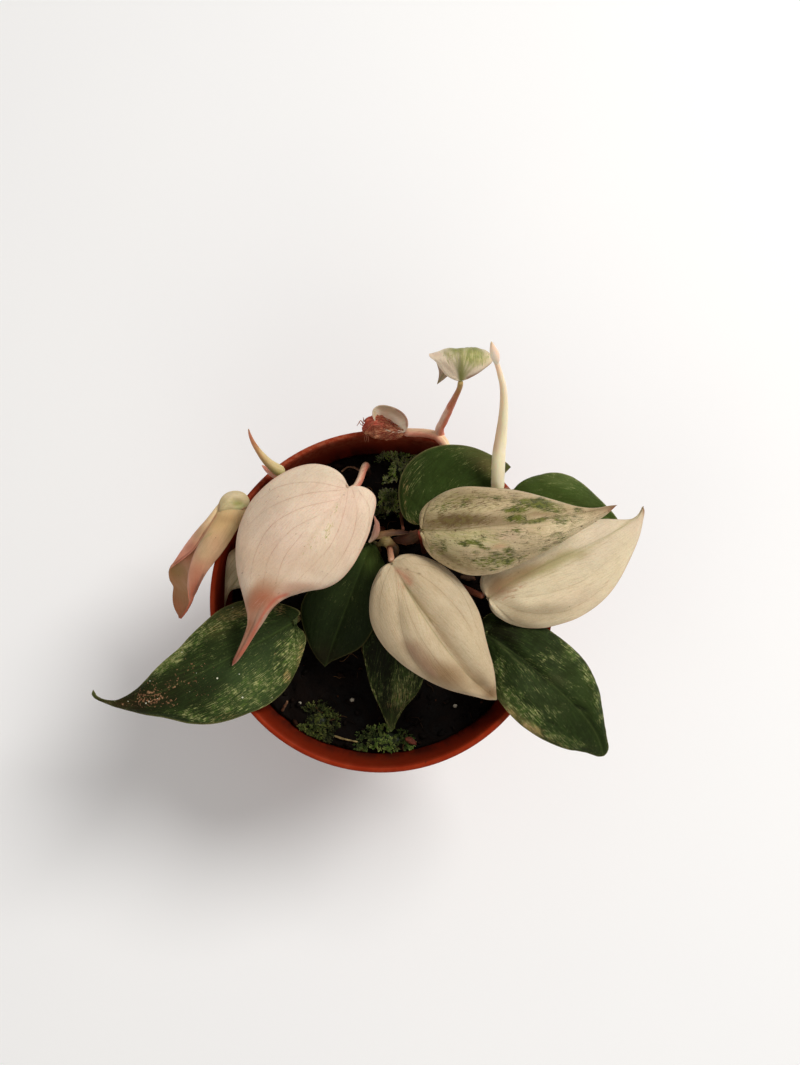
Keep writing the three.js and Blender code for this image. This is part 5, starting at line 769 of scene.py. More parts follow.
def stem_material(name, rough=0.42, streak=(120, 60, 45), streak_amt=0.45, spec=0.4, sss=0.1, depth=0.001, grain=0.2):
    """Stalk: colour given at each point of its length, with fine lengthwise streaks."""
    m = Mat(name, rough=rough)
    m.b.inputs["Specular IOR Level"].default_value = spec
    m.b.inputs["Subsurface Weight"].default_value = sss
    m.b.inputs["Subsurface Radius"].default_value = (1.0, 0.4, 0.2) if depth < 0.002 else (1.0, 0.75, 0.5)
    m.b.inputs["Subsurface Scale"].default_value = depth
    tone = m.attr("tone")
    au = m.attr("au", "Vector")
    n = m.noise(m.mapping(au, (0.35, 3.0, 1.0)), 1.0, 4.0, 0.6)
    n2 = m.noise(m.obj(), 900.0, 3.0, 0.6)
    col = m.mix(m.math("MULTIPLY", m.remap(n, 0.45, 0.68), streak_amt), tone, m.mix(1.0, tone, lin4(*streak), "MULTIPLY"))
    col = m.mix(m.math("MULTIPLY", m.remap(n2, 0.35, 0.7), grain), col, m.mix(1.0, col, (0.6, 0.55, 0.5), "MULTIPLY"))
    m.color(col)
    m.normal(m.bump(n, 0.25, 0.0003, m.bump(n2, 0.1, 0.0002)))
    return m.m


def gradient(u, stops):
    xs = [a for a, _ in stops]
    return np.stack([np.interp(u, xs, [lin(*c)[k] for _, c in stops]) for k in range(3)], -1)


def stalk(name, points, radii, stops, material, replaces, sides=16, section=None, caps=(True, True), wobble=0.04, seed=1, step=0.6, tints=()):
    """tints: (direction, colour, amount, from, to): colours the side facing a direction between two fractions of the length."""
    V, F, info, rad = tube(points, radii, sides, step, section, caps, wobble, seed)
    col = gradient(info[:, 2], stops)
    for way, c, amt, u0, u1 in tints:
        face = smooth(-0.15, 0.75, rad @ (np.array(way, float) / np.linalg.norm(way)))
        win = smooth(u0 - 0.04, u0 + 0.04, info[:, 2]) * (1 - smooth(u1 - 0.04, u1 + 0.04, info[:, 2]))
        m = (face * win * amt)[:, None]
        col = col * (1 - m) + np.array(lin(*c)) * m
    tone = np.hstack([col, np.ones((len(V), 1))])
    r = float(np.mean(radii))
    au = np.stack([info[:, 0], np.cos(info[:, 1]) * r * 2, np.sin(info[:, 1]) * r * 2], -1)
    return make(name, V, F, material, {"tone": ("FLOAT_COLOR", tone), "au": ("FLOAT_VECTOR", au)}, replaces=replaces)


def at(px, py, z):
    """The point (millimetres) that lies z above the rim and falls at px, py in the 800 x 1065 view."""
    d = np.array([(px - 400) / FOCAL, -(py - 532.5) / FOCAL, -1.0])
    c, s = math.cos(CAM_A), math.sin(CAM_A)
    d = np.array([d[0], d[1] * c - d[2] * s, d[1] * s + d[2] * c])
    return CAM + d * ((RIM_Z + z - CAM[2]) / d[2])


def merge(parts):
    """Joins (verts, faces, attrs) lists into one."""
    V, F, A = [], [], {}
    n = 0
    for v, f, a in parts:
        V.append(v)
        F += [[i + n for i in q] for q in f]
        for k, x in a.items():
            A.setdefault(k, []).append(x)
        n += len(v)
    return np.concatenate(V), F, {k: np.concatenate(x) for k, x in A.items()}


# ------------------------------------------------------------------ leaves: looks
G_FLECK = dict(ch=0, col=(88, 110, 48), col2=(170, 172, 112), across=(3.0, 0.9), along=0.36, thr=1.02, gain=0.58, sharp=3.2, amt=0.92, vary=900.0, clump=0.7, dist=0.25, detail=4.0)
G_HAZE = dict(ch=0, col=(66, 92, 40), across=(2.6, 0.6), along=0.26, thr=0.95, gain=0.58, sharp=1.8, amt=0.55, clump=0.4, dist=0.2, detail=5.0)
G_BEIGE = dict(ch=2, col=(186, 158, 110), col2=(152, 136, 80), across=(2.2, 0.8), along=0.34, thr=1.00, gain=0.70, sharp=3.4, amt=0.92, clump=0.5, dist=0.25)
G_UNDER = dict(ch=None, col=(66, 90, 36), across=(1.7, 0.6), along=0.25, thr=0.50, gain=0.0, sharp=1.8, amt=0.42, clump=0.7, dist=0.2, detail=5.0)
G_SPECK = dict(ch=None, col=(92, 112, 62), col2=(120, 128, 78), spots=1300.0, thr=0.80, gain=0.0, sharp=2.6, amt=0.42, vary=300.0, clump=0.5)
G_BLOTCH = dict(ch=1, col=(172, 130, 96), col2=(136, 96, 70), spots=1250.0, thr=1.02, gain=0.50, sharp=6.0, amt=0.85, vary=500.0, dots=620.0, dot_col=(214, 214, 190))

KINDS = {
    "pink": dict(vein=(172, 138, 112), vein_amt=0.50, vein_w=0.085, rib=(196, 168, 128), rib_amt=0.30, rib_w=0.26, rough=0.55, sss=0.12, mottle=0.12, cells=0.20, fine=0.32, spec=0.22,
                 fibre=0.20, fibre_col=(176, 146, 118),
                 layers=[dict(ch=0, col=(166, 162, 86), col2=(190, 176, 118), across=(1.9, 0.5), along=0.8, thr=1.02, gain=0.55, sharp=6.0, amt=0.85),
                         dict(ch=1, col=(196, 138, 116), col2=(206, 160, 140), across=(0.9, 0.4), along=0.25, thr=1.0, gain=0.6, sharp=2.5, amt=0.7),
                         dict(ch=None, col=(120, 84, 66), spots=1000.0, thr=0.985, gain=0.0, sharp=9.0, amt=0.7)]),
    "cream": dict(vein=(158, 140, 100), vein_amt=0.42, vein_w=0.13, rib=(128, 130, 78), rib_amt=0.55, rib_w=0.24, rough=0.52, sss=0.12, mottle=0.14, cells=0.24, fine=0.42, spec=0.24,
                  fibre=0.18, fibre_col=(168, 146, 108),
                  layers=[dict(ch=0, col=(176, 172, 112), col2=(190, 178, 128), across=(1.2, 0.5), along=0.4, thr=1.0, gain=0.6, sharp=4.0, amt=0.6),
                          dict(ch=1, col=(188, 132, 106), col2=(176, 140, 104), across=(1.0, 0.45), along=0.3, thr=1.0, gain=0.6, sharp=3.0, amt=0.7),
                          dict(ch=None, col=(104, 82, 52), spots=800.0, thr=1.04, gain=0.0, sharp=9.0, amt=0.7)]),
    "marbled": dict(vein=(150, 128, 88), vein_amt=0.22, vein_w=0.15, rib=(120, 112, 64), rib_amt=0.5, rib_w=0.26, rough=0.52, sss=0.08, mottle=0.40, cells=0.22, fine=0.34, spec=0.22,
                    fibre=0.34, fibre_col=(128, 116, 70),
                    layers=[dict(ch=2, col=(158, 154, 88), col2=(174, 164, 110), across=(1.4, 0.5), along=0.30, thr=0.92, gain=0.60, sharp=2.6, amt=0.7, dist=0.4),
                            dict(ch=None, col=(206, 186, 158), col2=(214, 198, 164), across=(1.2, 0.5), along=0.28, thr=0.66, gain=0.0, sharp=2.2, amt=0.45, clump=0.8, dist=0.4),
                            dict(ch=1, col=(104, 80, 46), col2=(122, 108, 58), across=(2.2, 0.9), along=0.50, thr=0.86, gain=0.60, sharp=3.0, amt=0.80, clump=0.8, dist=0.3),
                            dict(ch=0, col=(54, 66, 8), col2=(96, 104, 30), across=(3.2, 1.1), along=0.50, thr=0.98, gain=0.88, sharp=5.0, amt=0.93, dist=0.45, clump=1.0, detail=6.0),
                            dict(ch=None, col=(100, 84, 46), spots=800.0, thr=0.80, gain=0.0, sharp=4.0, amt=0.62, clump=0.6),
                            dict(ch=None, col=(84, 60, 38), spots=1100.0, thr=0.84, gain=0.0, sharp=6.0, amt=0.85, clump=0.3)]),
    "green": dict(vein=(150, 150, 120), vein_amt=0.12, vein_w=0.12, rib=(76, 94, 46), rib_amt=0.22, rib_w=0.24, rough=0.60, sss=0.03, mottle=0.50, cells=0.38, fine=0.55, spec=0.10, sheen=0.0,
                  fibre=0.0, layers=[G_UNDER, G_SPECK, G_HAZE, G_FLECK, G_BEIGE]),
}

LOOKS = {
    "leaf_pink_large": dict(
        veins=[[(344, 488), (311, 482), (278, 487), (260, 499)], [(341, 490), (305, 494), (269, 508), (245, 528)], [(335, 500), (299, 509), (269, 528), (253, 561), (250, 585)],
               [(317, 516), (290, 531), (269, 558), (263, 585)], [(302, 534), (284, 558), (275, 585)], [(348, 490), (344, 513), (332, 543), (317, 561), (297, 581)],
               [(353, 491), (357, 510), (353, 534), (341, 558), (324, 578)], [(359, 491), (369, 507), (368, 528), (361, 545)],],
        base=(234, 214, 190), seed=11, quilt=0.07, rib=0.16, ribw=1.3, sharp=0.9, curl=0.30, wave=0.26, thick=0.5, keel=0.5,
        margins=[(0.6, (212, 164, 140), 0.6)], ribs=[(0.8, (206, 184, 150), 0.25)],
        # painted shade: the dark brown-pink patches at the lower left, from (262, 594) and (296, 588) down to the tip
        # at (232, 663), darken the blade where it bends away, mixed with the tip's own red
        patches=[(330, 478, 34, 18, -10, (222, 206, 180), 0.6), (350, 525, 16, 40, 10, (216, 190, 168), 0.7), (262, 594, 22, 12, -30, (176, 128, 84), 0.7), (256, 602, 22, 13, -42, (164, 102, 72), 0.85),
                 (296, 588, 22, 7, -8, (184, 140, 114), 0.75), (246, 628, 22, 11, -62, (152, 96, 68), 0.95), (238, 652, 15, 7, -60, (148, 94, 72), 1.0),
                 (232, 663, 6, 4, -60, (140, 70, 56), 1.0), (241, 550, 9, 44, 4, (214, 184, 156), 0.6), (265, 565, 18, 28, 0, (206, 176, 146), 0.6),
                 (262, 500, 20, 22, 0, (205, 186, 164), 0.5), (300, 560, 40, 16, -6, (206, 182, 152), 0.5), (268, 602, 15, 9, -20, (184, 104, 70), 0.6), (330, 500, 26, 22, 0, (238, 206, 186), 0.45), (285, 540, 30, 36, 0, (236, 204, 186), 0.35)],
        lines=[([(288, 594), (276, 599), (266, 610), (258, 624), (250, 640), (240, 656)], 2.2, (190, 104, 80), 0.9),
               ([(236, 570), (241, 592), (248, 612), (246, 628)], 1.6, (206, 160, 132), 0.7)],
        marks=[(328, 532, 5, 16, 28, 0, 1.0), (310, 545, 8, 16, 36, 0, 0.6), (338, 508, 5, 14, 24, 0, 0.7), (345, 505, 26, 30, 0, 1, 0.45), (255, 545, 22, 50, 0, 1, 0.5), (270, 600, 34, 16, -20, 1, 0.6),
               (300, 470, 40, 12, 0, 1, 0.35), (300, 530, 60, 60, 0, 1, 0.35)],
        under=(196, 160, 138), vein_depth=0.03, mat=dict(vein_amt=0.0, placed=0.36, placed_w=0.36, placed_col=(190, 140, 112), fibre=0.20, fibre_col=(190, 140, 120), rib_amt=0.06, mottle=0.22)),
    "leaf_green_left": dict(
        base=(34, 46, 14), seed=12, quilt=0.16, rib=0.36, ribw=1.2, curl=0.2, wave=0.35, thick=0.55, keel=0.6, crinkle=0.10,
        margins=[(0.35, (150, 140, 92), 0.55)], ribs=[(0.5, (70, 86, 42), 0.35)],
        patches=[(140, 700, 40, 13, -8, (34, 27, 9), 0.9), (110, 703, 20, 7, 4, (56, 44, 22), 0.9), (180, 680, 24, 14, -30, (38, 40, 18), 0.6),
                 (240, 610, 26, 9, -16, (96, 98, 54), 0.5), (219, 627, 18, 8, -22, (90, 90, 46), 0.4), (262, 690, 30, 18, -30, (66, 84, 46), 0.6), (170, 656, 20, 6, -42, (110, 116, 60), 0.5),
                 (298, 655, 7, 22, 14, (96, 104, 54), 0.55), (236, 700, 26, 16, 0, (54, 66, 30), 0.5), (262, 640, 24, 20, 0, (40, 54, 24), 0.6), (246, 676, 34, 18, -34, (62, 80, 44), 0.6), (222, 668, 30, 9, -32, (46, 62, 32), 0.6), (205, 690, 30, 14, -20, (26, 34, 10), 0.6)],
        marks=[(238, 612, 24, 9, -18, 2, 0.8), (218, 627, 18, 8, -24, 2, 0.6), (262, 682, 30, 22, -32, 0, 0.98), (232, 694, 28, 14, -20, 0, 0.90), (240, 668, 24, 10, -36, 0, 0.6), (214, 668, 26, 8, -34, 0, 0.5), (256, 652, 22, 12, -36, 0, 0.5), (262, 607, 20, 6, -6, 2, 0.8), (277, 611, 9, 6, 20, 2, 0.8), (288, 678, 6, 8, 30, 2, 1.0), (301, 655, 5, 22, 12, 2, 0.75),
               (220, 718, 20, 5, -4, 2, 0.55),
               (245, 618, 44, 14, -14, 0, 0.95), (172, 656, 38, 11, -42, 0, 1.1), (196, 638, 34, 12, -38, 0, 1.0), (290, 652, 18, 36, 12, 0, 1.0), (272, 684, 30, 16, -40, 0, 1.0),
               (236, 704, 50, 16, -10, 0, 0.9), (196, 716, 40, 8, 6, 0, 0.95), (255, 668, 34, 24, -34, 0, 0.62), (208, 650, 34, 18, -40, 0, 0.56),
               (150, 698, 20, 12, -8, 1, 1.0), (173, 684, 11, 7, -20, 1, 0.9), (152, 684, 7, 7, 0, 1, 0.85), (168, 702, 9, 6, 10, 1, 0.8), (190, 672, 22, 28, -20, 1, 0.42),
               (198, 694, 20, 14, 0, 1, 0.42), (125, 702, 16, 7, 0, 1, 0.6)],
        edge_marks=[(1.6, 0, 0.7)],
        mat=dict(seed=2.0, layers=[G_UNDER, G_SPECK, G_HAZE, G_FLECK, G_BEIGE, G_BLOTCH]),
        under=(96, 108, 70)),
    "leaf_green_center": dict(
        base=(24, 35, 9), seed=13, quilt=0.10, rib=0.35, ribw=1.0, curl=0.25, wave=0.25, thick=0.5, keel=0.5, crinkle=0.06,
        margins=[(0.30, (104, 96, 54), 0.5)], ribs=[(0.45, (52, 66, 30), 0.5)],
        patches=[(372, 558, 15, 18, 0, (84, 104, 46), 0.85), (325, 655, 18, 14, 0, (30, 26, 10), 0.8), (352, 590, 20, 26, 0, (42, 54, 22), 0.6)],
        marks=[(350, 600, 30, 50, 0, 0, 0.36), (372, 560, 12, 14, 0, 0, 0.5)], edge_marks=[(1.2, 0, 0.3)], under=(84, 96, 60), mat=dict(seed=3.3, rib_amt=0.18, layers=[dict(G_UNDER, amt=0.14), dict(G_SPECK, amt=0.16), dict(G_HAZE, amt=0.4), dict(G_FLECK, amt=0.5)])),
    "leaf_green_small": dict(
        base=(20, 22, 7), seed=14, quilt=0.12, rib=0.3, ribw=0.9, curl=0.2, wave=0.25, thick=0.5, keel=0.5, crinkle=0.08,
        margins=[(0.3, (104, 100, 56), 0.45)], ribs=[(0.45, (60, 72, 36), 0.5)],
        patches=[(404, 690, 14, 26, 0, (48, 56, 26), 0.6), (392, 724, 8, 10, 0, (58, 62, 30), 0.6)],
        marks=[(405, 688, 22, 34, 0, 0, 0.95), (376, 690, 12, 30, 0, 0, 0.7), (402, 700, 18, 24, 0, 2, 0.6)], edge_marks=[(1.6, 0, 0.9)], under=(84, 96, 60), mat=dict(seed=4.1, rib_amt=0.2)),
    "leaf_cream_center": dict(
        base=(200, 181, 149), seed=15, quilt=0.0, rib=0.45, ribw=2.4, sharp=0.6, curl=0.3, wave=0.2, thick=0.55, keel=0.6,
        creases=[([(395, 566), (411, 593), (428, 616), (445, 641), (462, 664), (479, 686), (488, 693)], 2.3, 1.45), ([(395, 569), (399, 607), (402, 630), (410, 653), (423, 672), (433, 680)], 1.7, 0.55),
                 ([(400, 568), (416, 573), (432, 583), (447, 597), (460, 612), (470, 628), (478, 646)], 1.8, 0.75), ([(391, 566), (384, 582), (380, 600), (380, 620)], 1.2, 0.12),
                 ([(412, 563), (437, 569), (460, 590), (473, 617), (481, 645)], 1.3, 0.10)],
        vein_depth=0.03,
        veins=[[(391, 566), (384, 582), (380, 600), (380, 620)], [(395, 569), (399, 607), (402, 630), (410, 653), (423, 672), (433, 680)], [(400, 585), (415, 627), (436, 660), (455, 682)],
               [(400, 568), (416, 573), (432, 583), (447, 597), (460, 612), (470, 628), (478, 646)], [(412, 563), (437, 569), (460, 590), (473, 617), (481, 645)], [(396, 568), (411, 594), (428, 617), (445, 642), (462, 665), (478, 685)]],
        margins=[(0.45, (198, 172, 146), 0.6)], ribs=[(0.38, (132, 130, 82), 0.55)],
        # painted shade: the patches at (420, 656) and (444, 672) darken the lower blade, and the lines along the folds,
        # from (413, 594) to (480, 686), from (408, 645) to (436, 676) and from (435, 586) to (472, 632), darken them as
        # shade
        patches=[(407, 576, 11, 6, 45, (186, 146, 116), 0.5), (492, 692, 8, 7, 45, (120, 88, 56), 0.95), (483, 683, 12, 8, 45, (160, 134, 100), 0.7),
                 (444, 672, 32, 11, 34, (146, 118, 84), 1.0), (407, 570, 1.4, 1.0, 0, (112, 86, 52), 0.9), (421, 574.5, 2.4, 0.9, 14, (112, 86, 52), 0.8), (420, 656, 20, 8, 44, (168, 136, 110), 0.6), (470, 652, 14, 20, -30, (200, 184, 152), 0.5), (392, 575, 16, 14, 0, (198, 182, 152), 0.6), (462, 600, 22, 22, 30, (194, 178, 150), 0.5)],
        lines=[([(404, 583), (413, 596), (424, 611), (432, 623)], 1.2, (120, 116, 62), 0.7), ([(396, 569), (403, 575), (411, 584)], 2.6, (192, 128, 100), 0.6),
               ([(413, 594), (430, 617), (447, 641), (464, 664), (480, 686)], 3.0, (168, 142, 106), 0.6), ([(408, 645), (420, 662), (436, 676)], 3.0, (176, 140, 114), 0.6),
               ([(435, 586), (450, 600), (463, 616), (472, 632)], 2.2, (186, 166, 134), 0.5)],
        marks=[(404, 580, 14, 12, 40, 1, 0.8), (420, 610, 30, 30, 40, 0, 0.5), (470, 660, 24, 24, 40, 1, 0.5), (400, 610, 30, 40, 0, 1, 0.35)],
        under=(176, 160, 128), mat=dict(seed=4.0, vein_amt=0.0, placed=0.30, placed_w=0.42, placed_col=(170, 140, 104), rib_amt=0.0, mottle=0.25, fibre=0.34)),
    "leaf_splash": dict(
        base=(202, 181, 145), seed=16, quilt=0.22, rib=0.42, ribw=1.3, sharp=0.7, curl=0.3, wave=0.25, thick=0.5, keel=0.6, mark_warp=1.5, warp=3.0, wmul=0.5,
        margins=[(0.45, (190, 172, 138), 0.45)], ribs=[(0.45, (128, 116, 70), 0.4)],
        # painted shade: the dark brown patches along the upper side of the midrib, from (432, 516) to (540, 513), and
        # those in the lower-left fold at (449, 554) and (466, 566)
        patches=[(462, 520, 34, 8, -3, (94, 74, 40), 0.9), (432, 516, 12, 16, -20, (128, 112, 68), 0.5), (440, 522, 16, 9, -10, (108, 88, 52), 0.7), (500, 522, 24, 6, -3, (120, 98, 62), 0.6), (462, 497, 34, 6, -4, (150, 138, 96), 0.6),
                 (449, 554, 20, 4.6, 36, (112, 90, 54), 0.85), (466, 566, 16, 4, 16, (150, 128, 90), 0.5), (500, 537, 22, 6, -4, (184, 162, 128), 0.7), (560, 531, 36, 12, -16, (240, 222, 182), 0.8), (505, 540, 28, 9, -4, (222, 202, 168), 0.6), (480, 578, 34, 5, 10, (214, 196, 160), 0.6), (440, 508, 20, 8, -40, (206, 190, 148), 0.5),
                 (616, 507, 9, 4, -20, (152, 96, 74), 1.0), (600, 510, 12, 5, -12, (176, 146, 114), 0.7), (540, 513, 14, 3, -3, (150, 116, 88), 0.7),
                 (499, 548, 7, 3, 0, (200, 150, 118), 0.8), (426, 540, 8, 12, 0, (158, 138, 100), 0.6), (560, 545, 22, 6, -30, (176, 162, 118), 0.5),
                 (470, 541, 40, 7, 4, (208, 200, 148), 0.7), (452, 548, 16, 5, 30, (214, 204, 156), 0.6), (530, 550, 30, 8, -14, (214, 196, 156), 0.6), (480, 563, 40, 7, 8, (206, 190, 148), 0.55),
                 (470, 507, 40, 5, -5, (206, 194, 146), 0.5), (545, 508, 22, 5, 4, (150, 142, 84), 0.6), (520, 514, 16, 5, 0, (142, 132, 78), 0.55), (505, 538, 12, 5, 0, (214, 184, 156), 0.6), (470, 534, 30, 3, 0, (196, 190, 132), 0.5)],
        lines=[([(424, 533), (450, 531), (480, 530), (520, 526), (560, 519), (600, 511)], 0.9, (196, 180, 140), 0.45)],
        creases=[([(432, 528), (460, 523), (490, 524), (520, 522)], 2.4, 0.9), ([(436, 540), (446, 551), (458, 560), (474, 566)], 2.0, 0.9), ([(470, 546), (500, 556), (530, 552), (560, 538)], 1.8, 0.35), ([(470, 508), (510, 502), (545, 503)], 1.2, 0.2)],
        marks=[(536, 503, 27, 6.4, 3, 0, 1.15), (516, 510, 16, 4.4, -6, 0, 1.0), (550, 509, 16, 4.0, 6, 0, 0.85), (530, 521, 20, 3.0, -4, 0, 0.85), (463, 543.5, 9, 3, 14, 0, 0.9), (497, 553, 12, 3.6, 10, 0, 0.85), (515, 518, 14, 4.4, -4, 0, 1.0), (544, 520, 16, 3.6, -8, 0, 0.9), (578, 511, 7, 4.0, 10, 0, 0.8),
               (473, 542, 10, 3.4, 14, 0, 1.0), (485, 547.5, 10, 3.2, 14, 0, 1.0), (510, 551, 9, 5.0, 0, 0, 0.9), (515, 531, 6, 2.2, 0, 0, 0.9), (557, 533.5, 10, 3.0, -22, 0, 0.75),
               (455, 505, 34, 8, -12, 0, 0.62), (500, 498, 34, 5, 0, 0, 0.62), (440, 545, 14, 14, 40, 0, 0.6), (565, 520, 30, 9, -10, 0, 0.66), (500, 560, 40, 10, -4, 0, 0.72), (555, 542, 28, 8, -32, 0, 0.55), (500, 535, 50, 8, -4, 0, 0.5),
               (491, 569.5, 8, 2.4, 2, 0, 0.8), (475, 552, 8, 3.0, 8, 0, 0.7), (510, 558, 7, 2.2, 6, 0, 0.7), (525, 544.5, 6, 2.2, -4, 0, 0.7), (560, 507, 10, 2.6, 4, 0, 0.6),
               (480, 500, 54, 14, -2, 1, 0.80), (455, 520, 44, 12, -4, 1, 0.95), (470, 562, 50, 14, 14, 1, 0.46), (545, 540, 40, 12, -24, 1, 0.60), (570, 515, 44, 10, -4, 1, 0.5),
               (450, 500, 40, 12, -14, 2, 0.8), (470, 538, 46, 10, 8, 2, 0.9), (540, 530, 40, 10, -14, 2, 0.6), (550, 510, 46, 12, 0, 2, 0.5), (450, 560, 30, 12, 30, 2, 0.6), (500, 565, 34, 8, -6, 2, 0.5)],
        under=(140, 124, 84), mat=dict(seed=7.0)),
    "leaf_cream_right": dict(
        base=(236, 221, 187), seed=17, quilt=0.0, rib=0.30, ribw=1.6, sharp=0.9, curl=0.3, wave=0.25, thick=0.5, keel=0.6,
        creases=[([(500, 592), (540, 578), (580, 558), (612, 538), (634, 520)], 1.5, 0.30), ([(498, 597), (535, 596), (580, 582), (614, 556)], 1.9, 0.50), ([(497, 601), (525, 612), (565, 611), (600, 590), (620, 565)], 1.7, 0.42),
                 ([(497, 606), (515, 622), (545, 629), (575, 622)], 1.2, 0.22), ([(505, 586), (545, 562), (590, 540), (625, 524)], 1.4, 0.30)],
        veins=[[(500, 592), (540, 578), (580, 558), (612, 538), (634, 520)], [(498, 597), (535, 596), (580, 582), (614, 556)], [(497, 601), (525, 612), (565, 611), (600, 590), (620, 565)], [(497, 606), (515, 622), (545, 629), (575, 622)]],
        margins=[(0.35, (196, 158, 130), 0.6)], ribs=[(0.6, (176, 168, 118), 0.40)],
        # painted shadow: the brown patches at the base, (490, 585) to (520, 574), are the shadow cast by the splash
        # leaf over the base's own blush; (512, 610) and (540, 616) are painted shade along the lower grooves
        patches=[(596, 536, 30, 14, -30, (240, 222, 198), 0.6), (575, 600, 34, 14, -20, (222, 200, 172), 0.5), (499, 589, 15, 12, -30, (146, 112, 78), 0.85), (516, 580, 20, 7, -28, (166, 138, 100), 0.65), (540, 616, 46, 9, -8, (172, 154, 120), 0.6), (512, 610, 20, 10, 20, (160, 138, 104), 0.5), (520, 574, 40, 7, -26, (176, 146, 100), 0.75), (490, 585, 12, 16, 0, (150, 116, 80), 0.6),
                 (643, 510, 2.5, 6, 0, (150, 100, 70), 0.9), (636, 526, 10, 14, 0, (226, 206, 182), 0.6), (600, 545, 36, 20, -32, (219, 203, 176), 0.6), (560, 560, 34, 7, -28, (178, 166, 112), 0.7)],
        lines=[([(508, 586), (540, 572), (575, 555), (610, 535), (634, 518)], 1.4, (178, 170, 120), 0.4)],
        marks=[(510, 588, 26, 14, -20, 1, 0.85), (545, 568, 36, 9, -26, 0, 0.7), (530, 610, 40, 12, 0, 1, 0.5), (600, 560, 40, 24, -30, 1, 0.25)],
        under=(186, 170, 136), vein_depth=0.03, mat=dict(seed=5.2, vein_amt=0.0, fibre=0.26, rib_amt=0.2, placed=0.22, placed_w=0.45, placed_col=(186, 164, 124), mottle=0.2)),
    "leaf_green_right": dict(
        base=(35, 48, 15), seed=18, quilt=0.14, rib=0.40, ribw=1.1, curl=0.25, wave=0.30, thick=0.55, keel=0.6, crinkle=0.14,
        margins=[(0.25, (140, 130, 88), 0.45)], ribs=[(0.4, (72, 84, 46), 0.4)],
        # painted shade: the dark patch at (500, 632) is shadow under the cream leaf's edge, and the near-black lines
        # laid along the creases darken the folds
        patches=[(500, 632, 26, 12, 10, (28, 28, 11), 0.85), (560, 660, 30, 16, 40, (42, 52, 22), 0.5), (560, 681, 12, 6, 30, (74, 80, 46), 0.45), (572, 652, 10, 8, 40, (70, 84, 34), 0.45),
                 (500, 690, 7, 16, -20, (78, 88, 40), 0.45), (512, 710, 16, 6, 42, (116, 110, 66), 0.6), (532, 727, 14, 4.5, 36, (150, 132, 88), 0.7), (590, 752, 12, 9, 0, (40, 48, 20), 0.6), (535, 695, 34, 16, 36, (50, 62, 30), 0.6), (584, 690, 12, 30, -24, (54, 70, 26), 0.5)],
        lines=[([(498, 636), (510, 648), (522, 659), (534, 669), (548, 681)], 2.2, (20, 24, 8), 0.85), ([(573, 705), (580, 707.5), (588, 710)], 1.5, (20, 26, 8), 0.75), ([(519, 697), (529, 705)], 1.2, (24, 30, 10), 0.6),
               ([(543, 718), (555, 725)], 1.2, (24, 30, 10), 0.6), ([(497, 642), (516, 660), (534, 676)], 0.8, (92, 98, 60), 0.5)],
        creases=[([(498, 636), (520, 656), (547, 680)], 1.3, 0.8), ([(572, 704), (588, 711)], 0.8, 0.45), ([(518, 696), (530, 706)], 0.7, 0.3), ([(542, 718), (556, 725)], 0.7, 0.3)],
        marks=[(573, 652, 8, 20, -36, 0, 1.05), (587, 674, 8, 24, -28, 0, 0.95), (597, 704, 6, 34, -12, 0, 0.8), (500, 672, 10, 24, -14, 0, 0.95), (510, 696, 13, 20, -40, 0, 1.0), (530, 714, 32, 12, 40, 0, 1.05),
               (560, 738, 34, 9, 24, 0, 0.95), (540, 680, 54, 44, 0, 0, 0.62), (552, 664, 26, 20, 40, 0, 0.62), (548, 712, 34, 14, 40, 0, 0.6), (520, 680, 20, 16, 40, 0, 0.6), (562, 664, 26, 14, 40, 0, 0.66), (550, 690, 26, 8, 42, 0, 0.55),
               (512, 713, 18, 5, 44, 2, 0.95), (532, 727, 18, 5, 34, 2, 1.0), (556, 741, 22, 4, 22, 2, 0.7), (592, 752, 14, 4, 10, 2, 0.4)],
        edge_marks=[(1.4, 0, 0.7)],
        under=(100, 110, 72), mat=dict(seed=6.0)),
    "leaf_green_back": dict(
        base=(52, 70, 24), seed=19, quilt=0.14, rib=0.32, ribw=1.2, curl=0.25, wave=0.25, thick=0.5, keel=0.5, crinkle=0.06,
        margins=[(0.38, (150, 140, 96), 0.8)], ribs=[(0.4, (66, 82, 40), 0.4)],
        patches=[(410, 519, 10, 7, 0, (80, 98, 42), 0.7), (490, 466, 20, 12, 30, (108, 98, 60), 0.85), (474, 452, 22, 6, 10, (88, 94, 48), 0.55),
                 (414, 474, 10, 24, 20, (48, 60, 25), 0.6), (440, 505, 22, 12, 0, (46, 58, 24), 0.5)],
        marks=[(412, 476, 12, 38, 25, 0, 0.66), (445, 450, 44, 7, -4, 0, 0.60), (446, 488, 34, 24, -30, 0, 0.42), (412, 518, 14, 10, 0, 0, 0.9), (492, 468, 18, 14, 30, 0, 0.75), (470, 460, 30, 16, 20, 0, 0.5),
               (405, 494, 4, 32, 0, 2, 0.7), (412, 524, 12, 3, 10, 2, 0.8)],
        edge_marks=[(1.2, 0, 0.7)], under=(100, 112, 70), mat=dict(seed=8.0)),
    "leaf_green_back_right": dict(
        base=(66, 84, 30), seed=20, quilt=0.12, rib=0.3, ribw=1.2, curl=0.25, wave=0.2, thick=0.5, keel=0.5, crinkle=0.05,
        margins=[(0.30, (156, 146, 104), 0.7)], ribs=[(0.45, (100, 116, 62), 0.4)],
        patches=[(560, 478, 30, 7, 8, (96, 108, 56), 0.5), (525, 486, 14, 8, 0, (70, 86, 40), 0.5), (590, 500, 16, 10, 20, (70, 84, 38), 0.5)],
        marks=[(560, 480, 60, 14, 10, 0, 0.62), (560, 495, 60, 14, 10, 0, 0.4)], edge_marks=[(1.4, 0, 0.85)], under=(110, 120, 78), mat=dict(seed=9.0)),
    "leaf_cream_small": dict(
